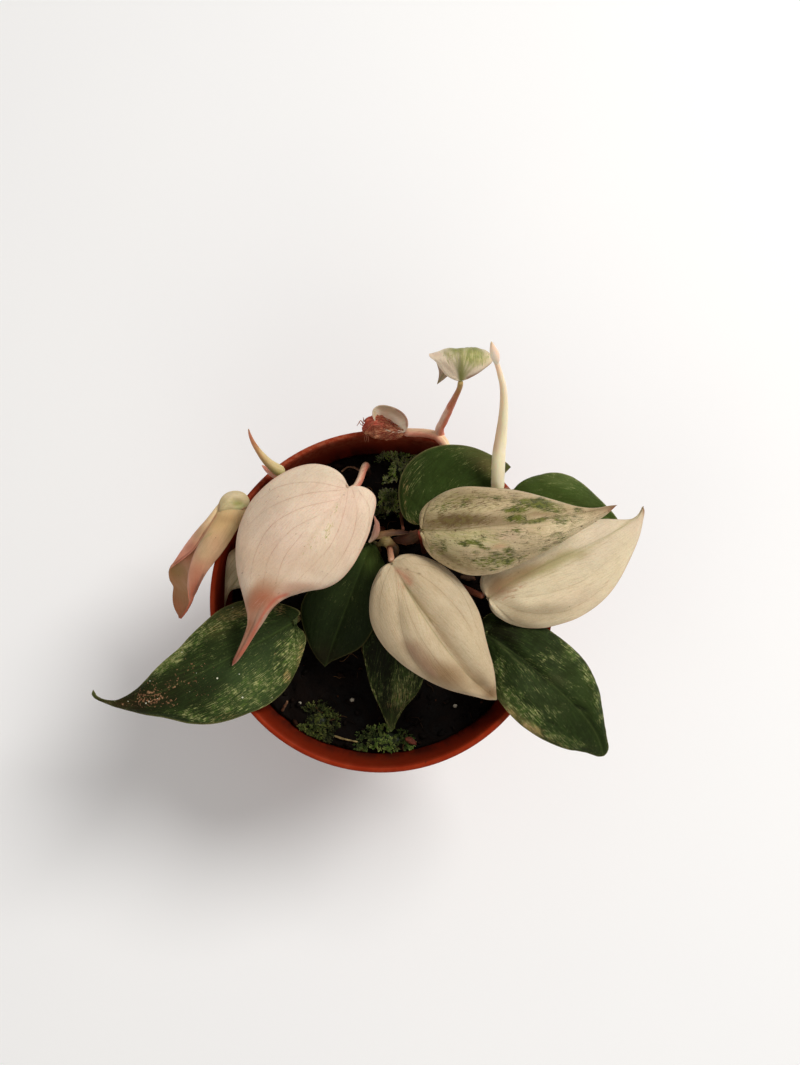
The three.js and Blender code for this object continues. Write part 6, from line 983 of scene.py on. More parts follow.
        base=(176, 160, 128), seed=22, quilt=0.06, rib=0.2, ribw=0.8, curl=0.2, wave=0.3, thick=0.4, keel=0.3,
        margins=[(0.4, (150, 120, 96), 0.5)], ribs=[(0.4, (140, 120, 86), 0.5)],
        patches=[(232, 560, 9, 12, 0, (190, 172, 140), 0.6), (228, 575, 5, 12, 20, (110, 96, 62), 0.5), (228, 598, 6, 9, 0, (120, 88, 60), 0.7)], under=(130, 108, 80), mat=dict(seed=10.0)),
    "leaf_top_small": dict(
        base=(248, 231, 206), seed=23, quilt=0.10, rib=-0.25, ribw=0.9, curl=0.15, wave=0.30, thick=0.4, keel=0.3, mark_warp=1.0, warp=1.5,
        margins=[(0.30, (206, 172, 150), 0.5)], ribs=[(0.7, (150, 150, 90), 0.6)],
        patches=[(461, 370, 2.6, 12, 0, (150, 146, 86), 0.6), (457, 350, 6, 4, 0, (112, 118, 54), 0.75), (474, 350, 11, 4.5, 6, (108, 114, 52), 0.85), (471, 358, 12, 7, 20, (156, 152, 92), 0.75), (449, 354, 7, 5, 30, (150, 150, 88), 0.6), (446, 368, 12, 6, 40, (232, 212, 186), 0.7),
                 (434, 355, 7, 4, 10, (222, 196, 172), 0.8), (486, 358, 8, 7, 0, (196, 186, 130), 0.5), (474, 355, 12, 7, -6, (126, 128, 62), 0.65), (452, 364, 6, 10, -20, (240, 222, 196), 0.6)],
        lines=[([(461, 380), (455, 364), (446, 353)], 1.5, (150, 150, 92), 0.6), ([(461, 380), (458, 364), (454, 349)], 1.5, (138, 142, 80), 0.7), ([(461, 380), (461, 364), (461, 349)], 1.4, (136, 136, 72), 0.6),
               ([(461, 380), (465, 364), (470, 349)], 1.6, (132, 138, 74), 0.7), ([(461.5, 380), (469, 365), (480, 352)], 1.7, (146, 150, 86), 0.7), ([(462, 380), (473, 367), (488, 357)], 1.6, (168, 166, 102), 0.6),
               # painted shade: the brown line from (466, 378.5) to (492, 364) darkens the edge where the blade curls
               # under
               ([(448, 349.5), (462, 347.5), (478, 348.5)], 2.2, (124, 130, 68), 0.6), ([(431, 356), (440, 366), (450, 375)], 1.6, (246, 230, 208), 0.5), ([(466, 378.5), (480, 372.5), (492, 364)], 1.3, (150, 110, 84), 0.85)],
        marks=[(461, 358, 6, 22, 0, 0, 0.75), (450, 354, 12, 4, 10, 0, 0.8), (457, 350, 8, 3.5, 0, 0, 1.0), (474, 351, 12, 5, 10, 0, 1.0), (480, 359, 12, 3, -20, 0, 0.85), (448, 361, 9, 5, 50, 0, 0.6),
               (470, 362, 8, 10, 20, 0, 0.8), (476, 356, 12, 6, -14, 0, 1.0), (482, 363, 8, 3, -30, 0, 0.8), (470, 358, 30, 12, 0, 2, 0.9)],
        # the dark brown under tone is painted shade on the curled underside
        under=(104, 76, 50), mat=dict(seed=11.0, fibre=0.1, vein_amt=0.05, rib=(150, 150, 92), rib_amt=0.6, mottle=0.15,
                                      layers=[dict(ch=2, col=(208, 202, 142), col2=(218, 206, 158), across=(1.6, 0.8), along=0.3, thr=0.9, gain=0.5, sharp=3.0, amt=0.6),
                                              dict(ch=0, col=(132, 142, 72), col2=(168, 168, 102), across=(2.2, 1.1), along=0.35, thr=0.98, gain=0.66, sharp=4.0, amt=0.8),
                                              dict(ch=None, col=(120, 96, 62), spots=1100.0, thr=0.96, gain=0.0, sharp=7.0, amt=0.6)])),
}


KIND = {"leaf_pink_large": "pink", "leaf_cream_center": "cream", "leaf_cream_right": "cream", "leaf_cream_small": "cream", "leaf_splash": "marbled", "leaf_top_small": "marbled"}
for name in BLADES:
    if name not in LOOKS:
        continue
    look = LOOKS[name]
    kind = KIND.get(name, "green")
    mat = dict(KINDS[kind])
    mat.update(seed=look.get("seed", 1) * 1.7)
    mat.update(look.get("mat", {}))
    small = name in ("leaf_cream_small", "leaf_top_small", "leaf_green_small")
    leaf(name, leaf_material(name + "_velvet", **mat), look, ns=84 if small else 132, nt=24 if small else 36)


# ------------------------------------------------------------------ folded and cupped young leaves
def skin_material(name, streak=(170, 130, 104), amt=0.25, rough=0.5, sss=0.2, spec=0.28, specks=0.7):
    """Young leaf seen close: tone painted on the mesh, fine lengthwise veins and a few dark specks."""
    m = Mat(name, rough=rough)
    m.b.inputs["Specular IOR Level"].default_value = spec
    m.b.inputs["Sheen Weight"].default_value = 0.04
    m.b.inputs["Subsurface Weight"].default_value = sss
    m.b.inputs["Subsurface Radius"].default_value = (1.0, 0.45, 0.25)
    m.b.inputs["Subsurface Scale"].default_value = 0.0008
    au = m.attr("au", "Vector")
    tone = m.attr("tone")
    o = m.obj()
    n1 = m.noise(m.mapping(au, (0.22, 2.2, 1.0)), 1.0, 4.0, 0.6, 0.3)
    n2 = m.noise(o, 2200.0, 3.0, 0.6)
    n3 = m.noise(o, 160.0, 3.0, 0.6)
    col = m.mix(m.math("MULTIPLY", m.remap(n1, 0.46, 0.66), amt), tone, m.mix(1.0, tone, lin4(*streak), "MULTIPLY"))
    col = m.mix(m.math("MULTIPLY", m.remap(n3, 0.35, 0.7), 0.22), col, m.mix(1.0, tone, (0.70, 0.58, 0.48), "MULTIPLY"))
    col = m.mix(m.math("MULTIPLY", m.remap(n2, 0.42, 0.68), 0.12), col, m.mix(1.0, col, (0.66, 0.58, 0.50), "MULTIPLY"))
    sp = m.remap(m.noise(o, 900.0, 2.0, 0.5), 0.74, 0.78)
    col = m.mix(m.math("MULTIPLY", sp, specks), col, lin4(120, 76, 56))
    m.color(col)
    m.normal(m.bump(n1, 0.28, 0.0003, m.bump(n2, 0.14, 0.0001)))
    m.rough(m.remap(n3, 0.3, 0.7, rough - 0.05, rough + 0.08))
    return m.m


def close_skin(top, under, F):
    """Closes a sheet: top faces, reversed under faces, and a rim wall. Returns vertices, faces and the rim edges."""
    n = len(top)
    edges = {}
    for f in F:
        for a, b in zip(f, f[1:] + f[:1]):
            if (b, a) in edges:
                del edges[(b, a)]
            else:
                edges[(a, b)] = 1
    G = [list(f) for f in F] + [[v + n for v in f[::-1]] for f in F]
    sharp = []
    for a, b in edges:
        G.append([a, a + n, b + n, b])
        sharp += [(a, b), (a + n, b + n)]
    return np.concatenate([top, under]), G, sharp


def ruled(left, right, crown=1.0, thick=0.4, n=70, m=22, seed=5, wrinkle=0.12, roll=(0.0, 0.0), up=(0, 0, 1)):
    """A strip between two edge curves (millimetre points), crowned across and rolled under at either edge by the given amounts."""
    A, B = catmull(left), catmull(right)
    u = np.linspace(0, 1, n + 1)
    v = np.linspace(0, 1, m + 1)
    a, b = along(A, u), along(B, u)
    P = a[:, None] * (1 - v[None, :, None]) + b[:, None] * v[None, :, None]
    N = unit(np.cross(np.gradient(P, axis=0), np.gradient(P, axis=1) + 1e-9))
    if (N @ np.array(up, float)).sum() < 0:
        N = -N
    for _ in range(8):
        N[1:-1] = unit(N[:-2] + 2 * N[1:-1] + N[2:])
    wd = np.linalg.norm(b - a, axis=1)[:, None]
    nz = Noise(seed)
    disp = crown * np.sin(np.pi * v)[None, :] ** 0.8 * np.minimum(1, wd / 4)
    disp = disp - roll[0] * (1 - smooth(0, 0.18, v))[None, :] * np.minimum(1, wd / 3) - roll[1] * (1 - smooth(0, 0.18, 1 - v))[None, :] * np.minimum(1, wd / 3)
    disp = disp + wrinkle * nz.fractal(P, 0.25, 3)
    P = P + N * disp[..., None]
    top, nor = P.reshape(-1, 3), N.reshape(-1, 3)
    F = []
    for i in range(n):
        for j in range(m):
            q = [i * (m + 1) + j, (i + 1) * (m + 1) + j, (i + 1) * (m + 1) + j + 1, i * (m + 1) + j + 1]
            F.append(q)
    f = F[len(F) // 2]
    if np.dot(np.cross(top[f[1]] - top[f[0]], top[f[2]] - top[f[0]]), nor[f[0]]) < 0:
        F = [q[::-1] for q in F]
    V, G, sharp = close_skin(top, top - nor * thick, F)
    uu, vv = np.meshgrid(u, v, indexing="ij")
    L_ = length(A)
    au = np.stack([uu.ravel() * L_, (vv * wd).ravel(), vv.ravel() * 0 + seed], -1)
    return V, G, np.concatenate([au, au]), sharp, (uu.ravel(), vv.ravel())


def skin_piece(name, parts, material, replaces):
    """parts: (verts, faces, au, sharp, tone of the top vertices, tone of the under side)."""
    V, F, T_, A_, S_ = [], [], [], [], []
    k = 0
    for v, f, au, sharp, tone, under in parts:
        n2 = len(v) // 2
        V.append(v)
        F += [[i + k for i in q] for q in f]
        S_ += [(a + k, b + k) for a, b in sharp]
        T_.append(np.vstack([tone, np.tile(np.array(lin(*under)), (n2, 1)) * 0.5 + tone * 0.5]))
        A_.append(au)
        k += len(v)
    V, T_, A_ = np.concatenate(V), np.concatenate(T_), np.concatenate(A_)
    tone = np.hstack([T_, np.ones((len(V), 1))])
    return make(name, V, F, material, {"tone": ("FLOAT_COLOR", tone), "au": ("FLOAT_VECTOR", A_)}, S_, replaces=replaces)


def pxl(rows):
    return [at(*r) for r in rows]


FOLD = skin_material("folded_leaf_skin", amt=0.11, spec=0.14, sss=0.12)


def folded_leaf():
    """The leaf folded along its midrib that hangs over the rim at the left: a cushioned cap, the body below it, and the wing behind the fold."""
    parts = []
    fold = [(218.0, 510.0, 8.6), (213, 519.5, 7.9), (208.2, 527, 7.0), (200.2, 540.4, 3.6), (193, 553.7, -1.2), (188.8, 566, -6.2), (187.6, 579, -11.2), (188.8, 592, -16.6), (189.4, 601, -20.3), (186, 610, -24.2), (180, 618.5, -28)]
    right = [(247.0, 505.5, 6.6), (244.5, 512.5, 7.0), (241.3, 521, 7.0), (236.6, 529.5, 6.7), (230.5, 539.5, 5.8), (222.8, 550.6, 4.3), (213.8, 562, 1.6), (204.8, 574, -3.2), (198.6, 585, -8.8), (193.5, 595.5, -15.4), (190.8, 603.5, -20.6), (180.3, 618.9, -27.9)]
    V, F, au, sh, (u, v) = ruled(pxl(fold), pxl(right), crown=1.5, thick=0.42, n=96, m=30, seed=211, wrinkle=0.16, roll=(0.5, 0.35))
    n = len(V) // 2
    tone = gradient(u, [(0, (206, 178, 130)), (0.10, (214, 180, 130)), (0.28, (224, 184, 142)), (0.42, (232, 176, 138)), (0.58, (238, 158, 120)), (0.76, (236, 134, 92)), (0.9, (200, 102, 64)), (1, (172, 82, 56))])
    tone = paint(V[:n], tone, [(226, 519, 10, 4, 0, (186, 152, 106), 0.6), (234, 532, 9, 10, 40, (206, 178, 126), 0.6), (206, 548, 6, 16, 30, (230, 200, 152), 0.6), (196, 575, 7, 14, 12, (226, 150, 116), 0.7), (197, 590, 6, 9, 10, (206, 112, 74), 0.7), (212, 545, 7, 12, 34, (222, 176, 138), 0.5)],
                 [([(217, 513.5), (208.4, 527), (200.6, 540.4), (193.4, 553.7), (189.2, 566)], 0.9, (178, 104, 80), 0.75), ([(189.2, 566), (188, 579), (189.4, 592), (190, 601)], 0.8, (206, 150, 126), 0.8),
                  ([(198, 546), (203, 539), (212, 533)], 1.0, (186, 172, 116), 0.55), ([(204, 573.5), (198, 585), (193, 596)], 1.1, (150, 104, 74), 0.7)], 211, 2.0)
    parts.append((V, F, au, sh, tone, (150, 112, 84)))
    # the wing behind the fold: its outer strip, then the inner face below, whose brown tone is painted shade
    edge = [(219.5, 502.5, 8.2), (215.5, 507, 8.0), (209, 515, 6.3), (201, 524, 2.9), (192.5, 534, -1.6), (184.6, 545, -6.3), (177.4, 556, -11.3), (171.2, 565, -14.6), (169.2, 568.5, -15.8)]
    inner = [(221.0, 508.0, 8.0), (217.4, 513.8, 7.5), (211, 524, 6.2), (205.2, 532, 4.6), (199.4, 541.5, 2.2), (193, 550.5, -1.6), (183.2, 558.3, -7.4), (174.6, 565.0, -13.0), (170.4, 568.9, -15.6)]
    V, F, au, sh, (u, v) = ruled(pxl(edge), pxl(inner), crown=0.7, thick=0.35, n=70, m=16, seed=212, wrinkle=0.12, roll=(0.25, 0.1))
    n = len(V) // 2
    tone = gradient(u, [(0, (244, 220, 172)), (0.25, (244, 204, 160)), (0.5, (244, 172, 140)), (0.75, (240, 156, 126)), (1, (206, 142, 102))])
    tone = paint(V[:n], tone, [(200, 533, 9, 4, -52, (196, 156, 114), 0.6), (190, 548, 8, 4, -50, (186, 112, 84), 0.6)], [([(205, 531), (193, 549.5), (183, 557.4), (174, 564.4)], 0.8, (150, 78, 56), 0.75)], 212, 2.0)
    parts.append((V, F, au, sh, tone, (150, 104, 78)))
    low = [(206.5, 528.5, 4.8), (200.2, 537.5, 1.4), (193, 547.6, -3.0), (183, 555.6, -8.6), (174, 562.0, -14.0), (169.4, 567.6, -16.4), (168.6, 573, -17.6), (170, 580, -19.5), (172.8, 586, -21), (172.4, 594, -23.5),
           (173.2, 603.5, -25.5), (176, 611.5, -27), (179.6, 618.2, -28)]
    foldb = [(209.5, 526.5, 5.8), (204.5, 534.8, 3.4), (200.0, 542.4, 1.6), (196.0, 550, -1.6), (193.0, 557.0, -4.2), (190.8, 563.4, -6.6), (189.8, 570, -9.0), (189.2, 577, -11.6), (189.2, 584, -14.4), (190, 591, -17.4), (190.4, 598, -20.2), (187, 607.8, -24.0), (180.2, 618.4, -28.2)]
    V, F, au, sh, (u, v) = ruled(pxl(low), pxl(foldb), crown=-0.5, thick=0.35, n=84, m=20, seed=213, wrinkle=0.22)
    n = len(V) // 2
    # the inner face's brown tone is painted shade
    tone = gradient(u, [(0, (176, 118, 80)), (0.4, (178, 126, 86)), (0.7, (176, 128, 86)), (1, (166, 106, 74))])
    tone = paint(V[:n], tone, [(178, 570, 8, 8, 0, (160, 130, 80), 0.7), (182, 590, 7, 12, 0, (174, 130, 88), 0.7), (178, 608, 6, 9, 0, (184, 122, 84), 0.6), (186, 560, 6, 7, 0, (190, 126, 92), 0.5)], [], 213, 2.0)
    parts.append((V, F, au, sh, tone, (164, 116, 90)))
    # the cap: a soft cushion with a dimple
    rim = [(218.6, 511.6, 8.2), (217.8, 507, 8.8), (219.2, 501.5, 8.8), (222.5, 496.2, 8.3), (228, 492.2, 7.8), (235, 490.7, 7.2), (242, 491.9, 6.8), (247, 495.4, 6.6), (249.4, 500.2, 6.6), (248.4, 505.0, 6.8), (245, 508.6, 7.2),
           (240.2, 511.2, 7.6), (233.5, 513.2, 8.0), (225.5, 513.4, 8.2)]
    ring = catmull(pxl(rim + rim[:1]), 10)[:-1]
    k = len(ring)
    c = ring.mean(0)
    nz = Noise(77)
    rows, info = [], []
    rr = np.r_[np.linspace(0, 0.8, 15), 0.86, 0.91, 0.95, 0.98, 1.0]
    top, und = [c + [0, 0, 1.5]], [c - [0, 0, 0.6]]
    for r in rr[1:]:
        P = c + (ring - c) * r
        h = 1.7 * (1 - r ** 3.2)
        px, py = frame_xy(P)
        dimple = 0.85 * np.exp(-(((px - 238.6) / 6.0) ** 2 + ((py - 502.4) / 3.6) ** 2)) - 0.35 * np.exp(-(line_distance(px, py, [(221, 510), (227, 503), (234, 496.5)])[0] / 2.4) ** 2)
        up = P + np.stack([P[:, 0] * 0, P[:, 0] * 0, h - dimple + 0.15 * nz(P, 0.4)], -1)
        top += list(up)
        und += list(P - np.array([0, 0, 0.7 * (1 - 0.6 * r)]))
    top, und = np.array(top), np.array(und)
    F = [[0, 1 + (j + 1) % k, 1 + j] for j in range(k)]
    for i in range(len(rr) - 2):
        for j in range(k):
            a, b = 1 + i * k + j, 1 + i * k + (j + 1) % k
            F.append([a, b, b + k, a + k])
    f = F[0]
    if np.cross(top[f[1]] - top[f[0]], top[f[2]] - top[f[0]])[2] < 0:
        F = [q[::-1] for q in F]
    V, G, sharp = close_skin(top, und, F)
    tone = np.tile(np.array(lin(196, 180, 138)), (len(top), 1))
    tone = paint(top, tone, [(232, 494, 12, 3.4, 0, (214, 198, 164), 0.7), (238.6, 502.6, 7.0, 3.4, 8, (146, 144, 84), 0.9), (241, 506.5, 7, 2.6, -10, (190, 190, 132), 0.7), (223, 505, 4, 6, 10, (196, 180, 136), 0.6),
                             (228, 509.5, 7, 3, -6, (182, 162, 112), 0.6)],
                 [([(218.6, 511.8), (226, 513.4), (234, 513), (241, 510.6), (246, 507.2)], 0.8, (176, 100, 76), 0.85), ([(218.2, 511), (219.2, 506), (218.4, 502)], 0.6, (176, 110, 84), 0.7),
                  ([(224, 508.6), (227.5, 504), (233, 498)], 1.0, (206, 192, 146), 0.7)], 214, 1.5)
    au = np.stack([top[:, 0], top[:, 1], top[:, 2] * 0], -1)
    parts.append((V, G, np.concatenate([au, au]), sharp, tone, (160, 130, 92)))
    return skin_piece("leaf_pink_folded_blade", parts, FOLD, ("leaf_pink_folded",))


folded_leaf()


def cupped_leaf():
    """The new leaf still cupped inside its sheath at the back of the rim."""
    rim = [(404.6, 431.5, 4.6), (406.9, 427.2, 5.8), (407.0, 421.5, 6.6), (404.8, 416.4, 7.0), (400.6, 412.2, 7.2), (395.2, 409.0, 7.3), (389, 406.9, 7.5), (382.6, 405.9, 7.8), (377.4, 406.9, 8.1), (373.8, 410.2, 8.2),
           (373.4, 415.4, 7.8), (376, 421.4, 7.2), (381.4, 426.6, 6.6), (388, 430.2, 6.0), (396, 432.2, 5.2)]
    ring = catmull(pxl(rim + rim[:1]), 10)[:-1]
    k = len(ring)
    c = ring.mean(0) + [0, 0.6, 0]
    nz = Noise(78)
    rr = np.r_[np.linspace(0, 0.9, 20), 0.94, 0.97, 1.0]
    depth = 2.9
    top = [c - [0, 0, depth]]
    for r in rr[1:]:
        P = c + (ring - c) * (r ** 0.85)
        P[:, 2] = ring[:, 2] * r ** 2 + c[2] * (1 - r ** 2) - depth * (1 - r ** 2.6) + 0.12 * nz(P, 0.5)
        top += list(P)
    top = np.array(top)
    F = [[0, 1 + (j + 1) % k, 1 + j] for j in range(k)]
    for i in range(len(rr) - 2):
        for j in range(k):
            a, b = 1 + i * k + j, 1 + i * k + (j + 1) % k
            F.append([a, b, b + k, a + k])
    nor = np.zeros_like(top)
    for f in F:
        fn = np.cross(top[f[1]] - top[f[0]], top[f[2]] - top[f[0]])
        for v_ in f:
            nor[v_] += fn
    nor = unit(nor)
    if nor[0][2] < 0:
        F = [q[::-1] for q in F]
        nor = -nor
    V, G, sharp = close_skin(top, top - nor * 0.38, F)
    tone = np.tile(np.array(lin(240, 224, 200)), (len(top), 1))
    # painted shade: the darker band at (388, 410) and (398, 415) across the far inner wall of the cup
    tone = paint(top, tone, [(388, 410, 16, 3.4, 14, (196, 176, 146), 0.8), (398, 415, 8, 2.6, 34, (196, 174, 146), 0.7), (400, 426, 8, 5, 30, (252, 238, 216), 0.85)],
                 [([(374, 411), (376, 417), (380, 423)], 1.1, (222, 204, 160), 0.85), ([(378, 406.6), (385, 406.4), (392, 408)], 0.9, (176, 160, 132), 0.7),
                  ([(396, 409.6), (402, 413.4), (406, 419), (406.8, 427)], 1.0, (188, 140, 118), 0.85)], 215, 1.5)
    au = np.stack([top[:, 0], top[:, 1] * 2.0, top[:, 2] * 0], -1)
    return skin_piece("leaf_unfurling_top_blade", [(V, G, np.concatenate([au, au]), sharp, tone, (196, 150, 126))], skin_material("cupped_leaf_skin", amt=0.2, specks=0.3), ("leaf_unfurling_top",))


cupped_leaf()

# ------------------------------------------------------------------ stalks and vines
PET = stem_material("stalk_skin", rough=0.40)
PALE_PET = stem_material("pale_stalk_skin", rough=0.45, streak=(190, 120, 96), streak_amt=0.35, spec=0.25)
VINE = stem_material("vine_skin", rough=0.45, streak=(110, 70, 50), streak_amt=0.5)
RIM_VINE = stem_material("rim_vine_skin", rough=0.42, streak=(186, 104, 78), streak_amt=0.34, spec=0.4)
RED, SALMON, PALE, BROWN = (128, 62, 44), (186, 124, 98), (196, 168, 132), (98, 66, 44)

PETIOLES = {
    # its near-black lower part, to 0.36 of its length, is painted shade that hides the stalk's lower leg
    "petiole_pink_large": dict(r=[1.35, 1.25, 1.2, 1.1, 1.05, 1.0], stops=[(0, (30, 20, 14)), (0.36, (44, 30, 20)), (0.46, (150, 104, 78)), (0.55, (216, 170, 144)), (1, (228, 192, 162))],
                               tints=[((1, -0.3, 0.0), (206, 116, 94), 0.8, 0.5, 1.0), ((-1, 0, 0.0), (196, 172, 134), 0.7, 0.5, 1.0)]),
    "petiole_cream_center": dict(r=[1.15, 1.0, 0.95, 0.95, 0.9, 0.95], stops=[(0, (60, 34, 24)), (0.45, (120, 70, 48)), (0.75, (196, 130, 100)), (1, (206, 160, 128))]),
    "petiole_cream_right": dict(r=[1.1, 1.0, 0.95, 0.95, 0.95, 0.95], stops=[(0, (40, 18, 10)), (0.6, (110, 44, 26)), (1, (130, 70, 44))]),
    "petiole_splash": dict(r=[1.1, 1.0, 0.95, 0.95, 0.95, 1.05], stops=[(0, (40, 18, 10)), (0.5, (90, 44, 26)), (0.85, (170, 74, 52)), (1, (180, 80, 58))]),
    "petiole_green_back": dict(r=[1.1, 1.0, 0.9, 0.9], stops=[(0, (40, 18, 10)), (0.6, (96, 56, 36)), (1, (120, 92, 58))]),
    "petiole_green_center": dict(r=[1.1, 0.95, 0.9, 0.9], stops=[(0, (40, 22, 14)), (0.6, (100, 66, 42)), (1, (104, 96, 52))]),
    "petiole_green_small": dict(r=[1.0, 0.9, 0.8, 0.8], stops=[(0, (36, 20, 14)), (1, (92, 74, 44))]),
    "petiole_green_right": dict(r=[1.1, 1.0, 0.9, 0.9], stops=[(0, (40, 18, 10)), (0.6, (92, 50, 32)), (1, (96, 84, 50))]),
    "petiole_green_left": dict(r=[1.1, 1.0, 0.9, 0.9], stops=[(0, (40, 18, 10)), (0.6, (92, 50, 32)), (1, (84, 80, 46))]),
    "petiole_pink_folded": dict(r=[1.05, 0.95, 0.85, 0.85], stops=[(0, (50, 24, 16)), (0.5, (150, 90, 70)), (1, (190, 140, 110))]),
    "petiole_cream_small": dict(r=[0.95, 0.85, 0.75], stops=[(0, (50, 24, 16)), (1, (150, 104, 76))]),
    "petiole_green_back_right": dict(r=[1.05, 0.95, 0.95], stops=[(0, (150, 70, 48)), (1, (128, 84, 52))]),
    "petiole_top_small": dict(r=[1.35, 1.35, 1.3, 1.15, 0.95, 0.8, 0.8], stops=[(0, (232, 146, 116)), (0.45, (228, 138, 108)), (0.7, (202, 132, 98)), (0.88, (190, 142, 94)), (1, (194, 170, 108))],
                              tints=[((-1, 0.1, 0.2), (250, 216, 192), 0.8, 0.0, 0.5), ((1, 0, 0), (196, 92, 68), 0.6, 0.1, 0.8)]),
}
STEMS["petiole_top_small"] = [tuple(at(441.0, 436.5, 1.2))] + [tuple(p) for p in STEMS["petiole_top_small"]][:-1] + [tuple(at(460.8, 381.4, 29.9))]
STEMS["stem_over_rim"] = [tuple(p) for p in STEMS["stem_over_rim"]] + [tuple(at(403.5, 433.0, 2.3))]
for name, d in PETIOLES.items():
    stalk(name + "_stalk", STEMS[name], d["r"], d["stops"], PALE_PET if name == "petiole_top_small" else PET, (name,), sides=20, wobble=0.05, seed=len(name), tints=d.get("tints", ()))


def knuckle(th_amp, places):
    """Section that swells at the nodes of a vine."""
    def f(th, u):
        m = 1.0
        for c, w, a in places:
            m += a * math.exp(-((u - c) / w) ** 2)
        return m * (1 + th_amp * np.cos(2 * th))
    return f


stalk("stem_left_vine", STEMS["stem_left"], [1.7, 1.6, 1.5, 1.45, 1.5, 1.9], [(0, (50, 34, 24)), (0.5, (110, 78, 52)), (1, (168, 130, 96))], VINE, ("stem_left",),
      sides=24, section=knuckle(0.03, [(0.30, 0.02, 0.18), (0.62, 0.02, 0.16)]), wobble=0.08, seed=5)
stalk("stem_right_vine", STEMS["stem_right"], [1.8, 1.7, 1.55, 1.5, 1.6, 2.0], [(0, (50, 34, 24)), (0.5, (100, 70, 46)), (1, (170, 126, 92))], VINE, ("stem_right",),
      sides=24, section=knuckle(0.03, [(0.34, 0.02, 0.18), (0.66, 0.02, 0.16)]), wobble=0.08, seed=6)
stalk("stem_center_vine", STEMS["stem_center"], [1.7, 1.6, 1.5, 1.5], [(0, (40, 26, 18)), (1, (112, 84, 54))], VINE, ("stem_center",),
      sides=24, section=knuckle(0.03, [(0.5, 0.04, 0.15)]), wobble=0.08, seed=7)
# tints: the pale cream sides toward the key lamp and the back are painted highlight, the deep red sides toward the
# front painted shade, over the vine's own red-pink
stalk("stem_over_rim_vine", STEMS["stem_over_rim"], [1.6, 1.6, 1.75, 1.85, 1.95, 1.95, 1.75, 1.6, 1.5, 1.4, 1.4], [(0, (60, 36, 26)), (0.35, (120, 66, 46)), (0.52, (240, 130, 98)), (0.70, (255, 190, 156)), (0.86, (255, 212, 180)), (1, (255, 214, 188))],
      RIM_VINE, ("stem_over_rim",), sides=28, section=knuckle(0.04, [(0.785, 0.010, 0.10), (0.50, 0.012, 0.10)]), wobble=0.05, seed=8,
      tints=[((0.75, 0.55, 0.45), (252, 232, 184), 0.95, 0.46, 0.80), ((0.1, 0.9, 0.5), (240, 200, 160), 0.7, 0.74, 1.0), ((-0.6, -0.7, 0.2), (214, 92, 66), 0.8, 0.44, 0.72), ((0, -1, 0.15), (224, 122, 94), 0.7, 0.76, 1.0)])

# ------------------------------------------------------------------ rolled new leaves
ROLL = stem_material("rolled_leaf_skin", rough=0.42, streak=(232, 198, 160), streak_amt=0.12, sss=0.6, spec=0.45, depth=0.0028, grain=0.06)


def rolled(amp, turns, start):
    """Section of a leaf rolled up round itself: a step that winds up the length."""
    def f(th, u):
        a = np.mod(th - start - turns * 2 * np.pi * u, 2 * np.pi) / (2 * np.pi)
        return 1 + amp * (a - 0.5) * (1 - 0.6 * u)
    return f


def spike(name, radii_scale, stops, turns, start, tints=(), amp=0.16, sides=40, material=None, step=0.5, wobble=0.03):
    P = np.array(SPIKES[name])
    if name == "spike_tall":
        P = np.vstack([P, (P[-1] + np.array(SPIKES["bract_tall_tip"][0])) / 2, SPIKES["bract_tall_tip"][0]])
    if name == "bract_tall_tip":
        P = np.vstack([P[0] - (P[1] - P[0]) * 0.4, P])
        P[0, 3], P[1, 3] = 0.7, 0.95
    D = catmull(P)
    r = np.interp(np.linspace(0, 1, 40), np.r_[0, np.cumsum(np.linalg.norm(np.diff(D[:, :3], axis=0), axis=1))] / length(D[:, :3]), D[:, 3]) * radii_scale
    return stalk(name + "_roll", P[:, :3], list(r), stops, material or ROLL, (name,), sides=sides, section=rolled(amp, turns, start), wobble=wobble, seed=len(name), step=step, tints=tints)


spike("spike_tall", np.linspace(0.86, 1.0, 40), [(0, (255, 243, 208)), (0.25, (255, 243, 208)), (0.6, (255, 243, 210)), (0.86, (255, 230, 200)), (0.95, (252, 206, 178)), (1, (255, 236, 218))],
      0.35, 2.3, tints=[((-1, 0, 0.1), (250, 206, 176), 0.50, 0.3, 1.0), ((1, 0, 0.1), (248, 220, 196), 0.35, 0.1, 1.0)])
# tints: the pale side toward the key lamp is painted highlight and the dark brown side away from it painted shade
spike("spike_left", 1.0, [(0, (176, 176, 108)), (0.25, (190, 172, 116)), (0.5, (196, 160, 112)), (0.75, (186, 132, 96)), (0.92, (180, 118, 98)), (1, (140, 104, 76))],
      0.3, 1.2, tints=[((0.8, 0.5, 0.2), (214, 194, 146), 0.7, 0.0, 0.6), ((-0.8, -0.6, 0), (150, 116, 72), 0.5, 0.0, 0.6)])
spike("bract_left", 1.45, [(0, (214, 164, 138)), (0.6, (222, 170, 150)), (1, (206, 136, 116))], 0.2, 1.0, sides=24,
      tints=[((0.5, 0.8, 0.3), (176, 100, 78), 0.7, 0.2, 1.0)])
spike("bract_tall_tip", 1.0, [(0, (254, 234, 216)), (0.5, (254, 236, 220)), (0.85, (244, 216, 194)), (1, (180, 160, 124))], 0.2, 1.0, sides=24,
      tints=[((1, 0, 0.2), (240, 192, 170), 0.5, 0.1, 1.0)])


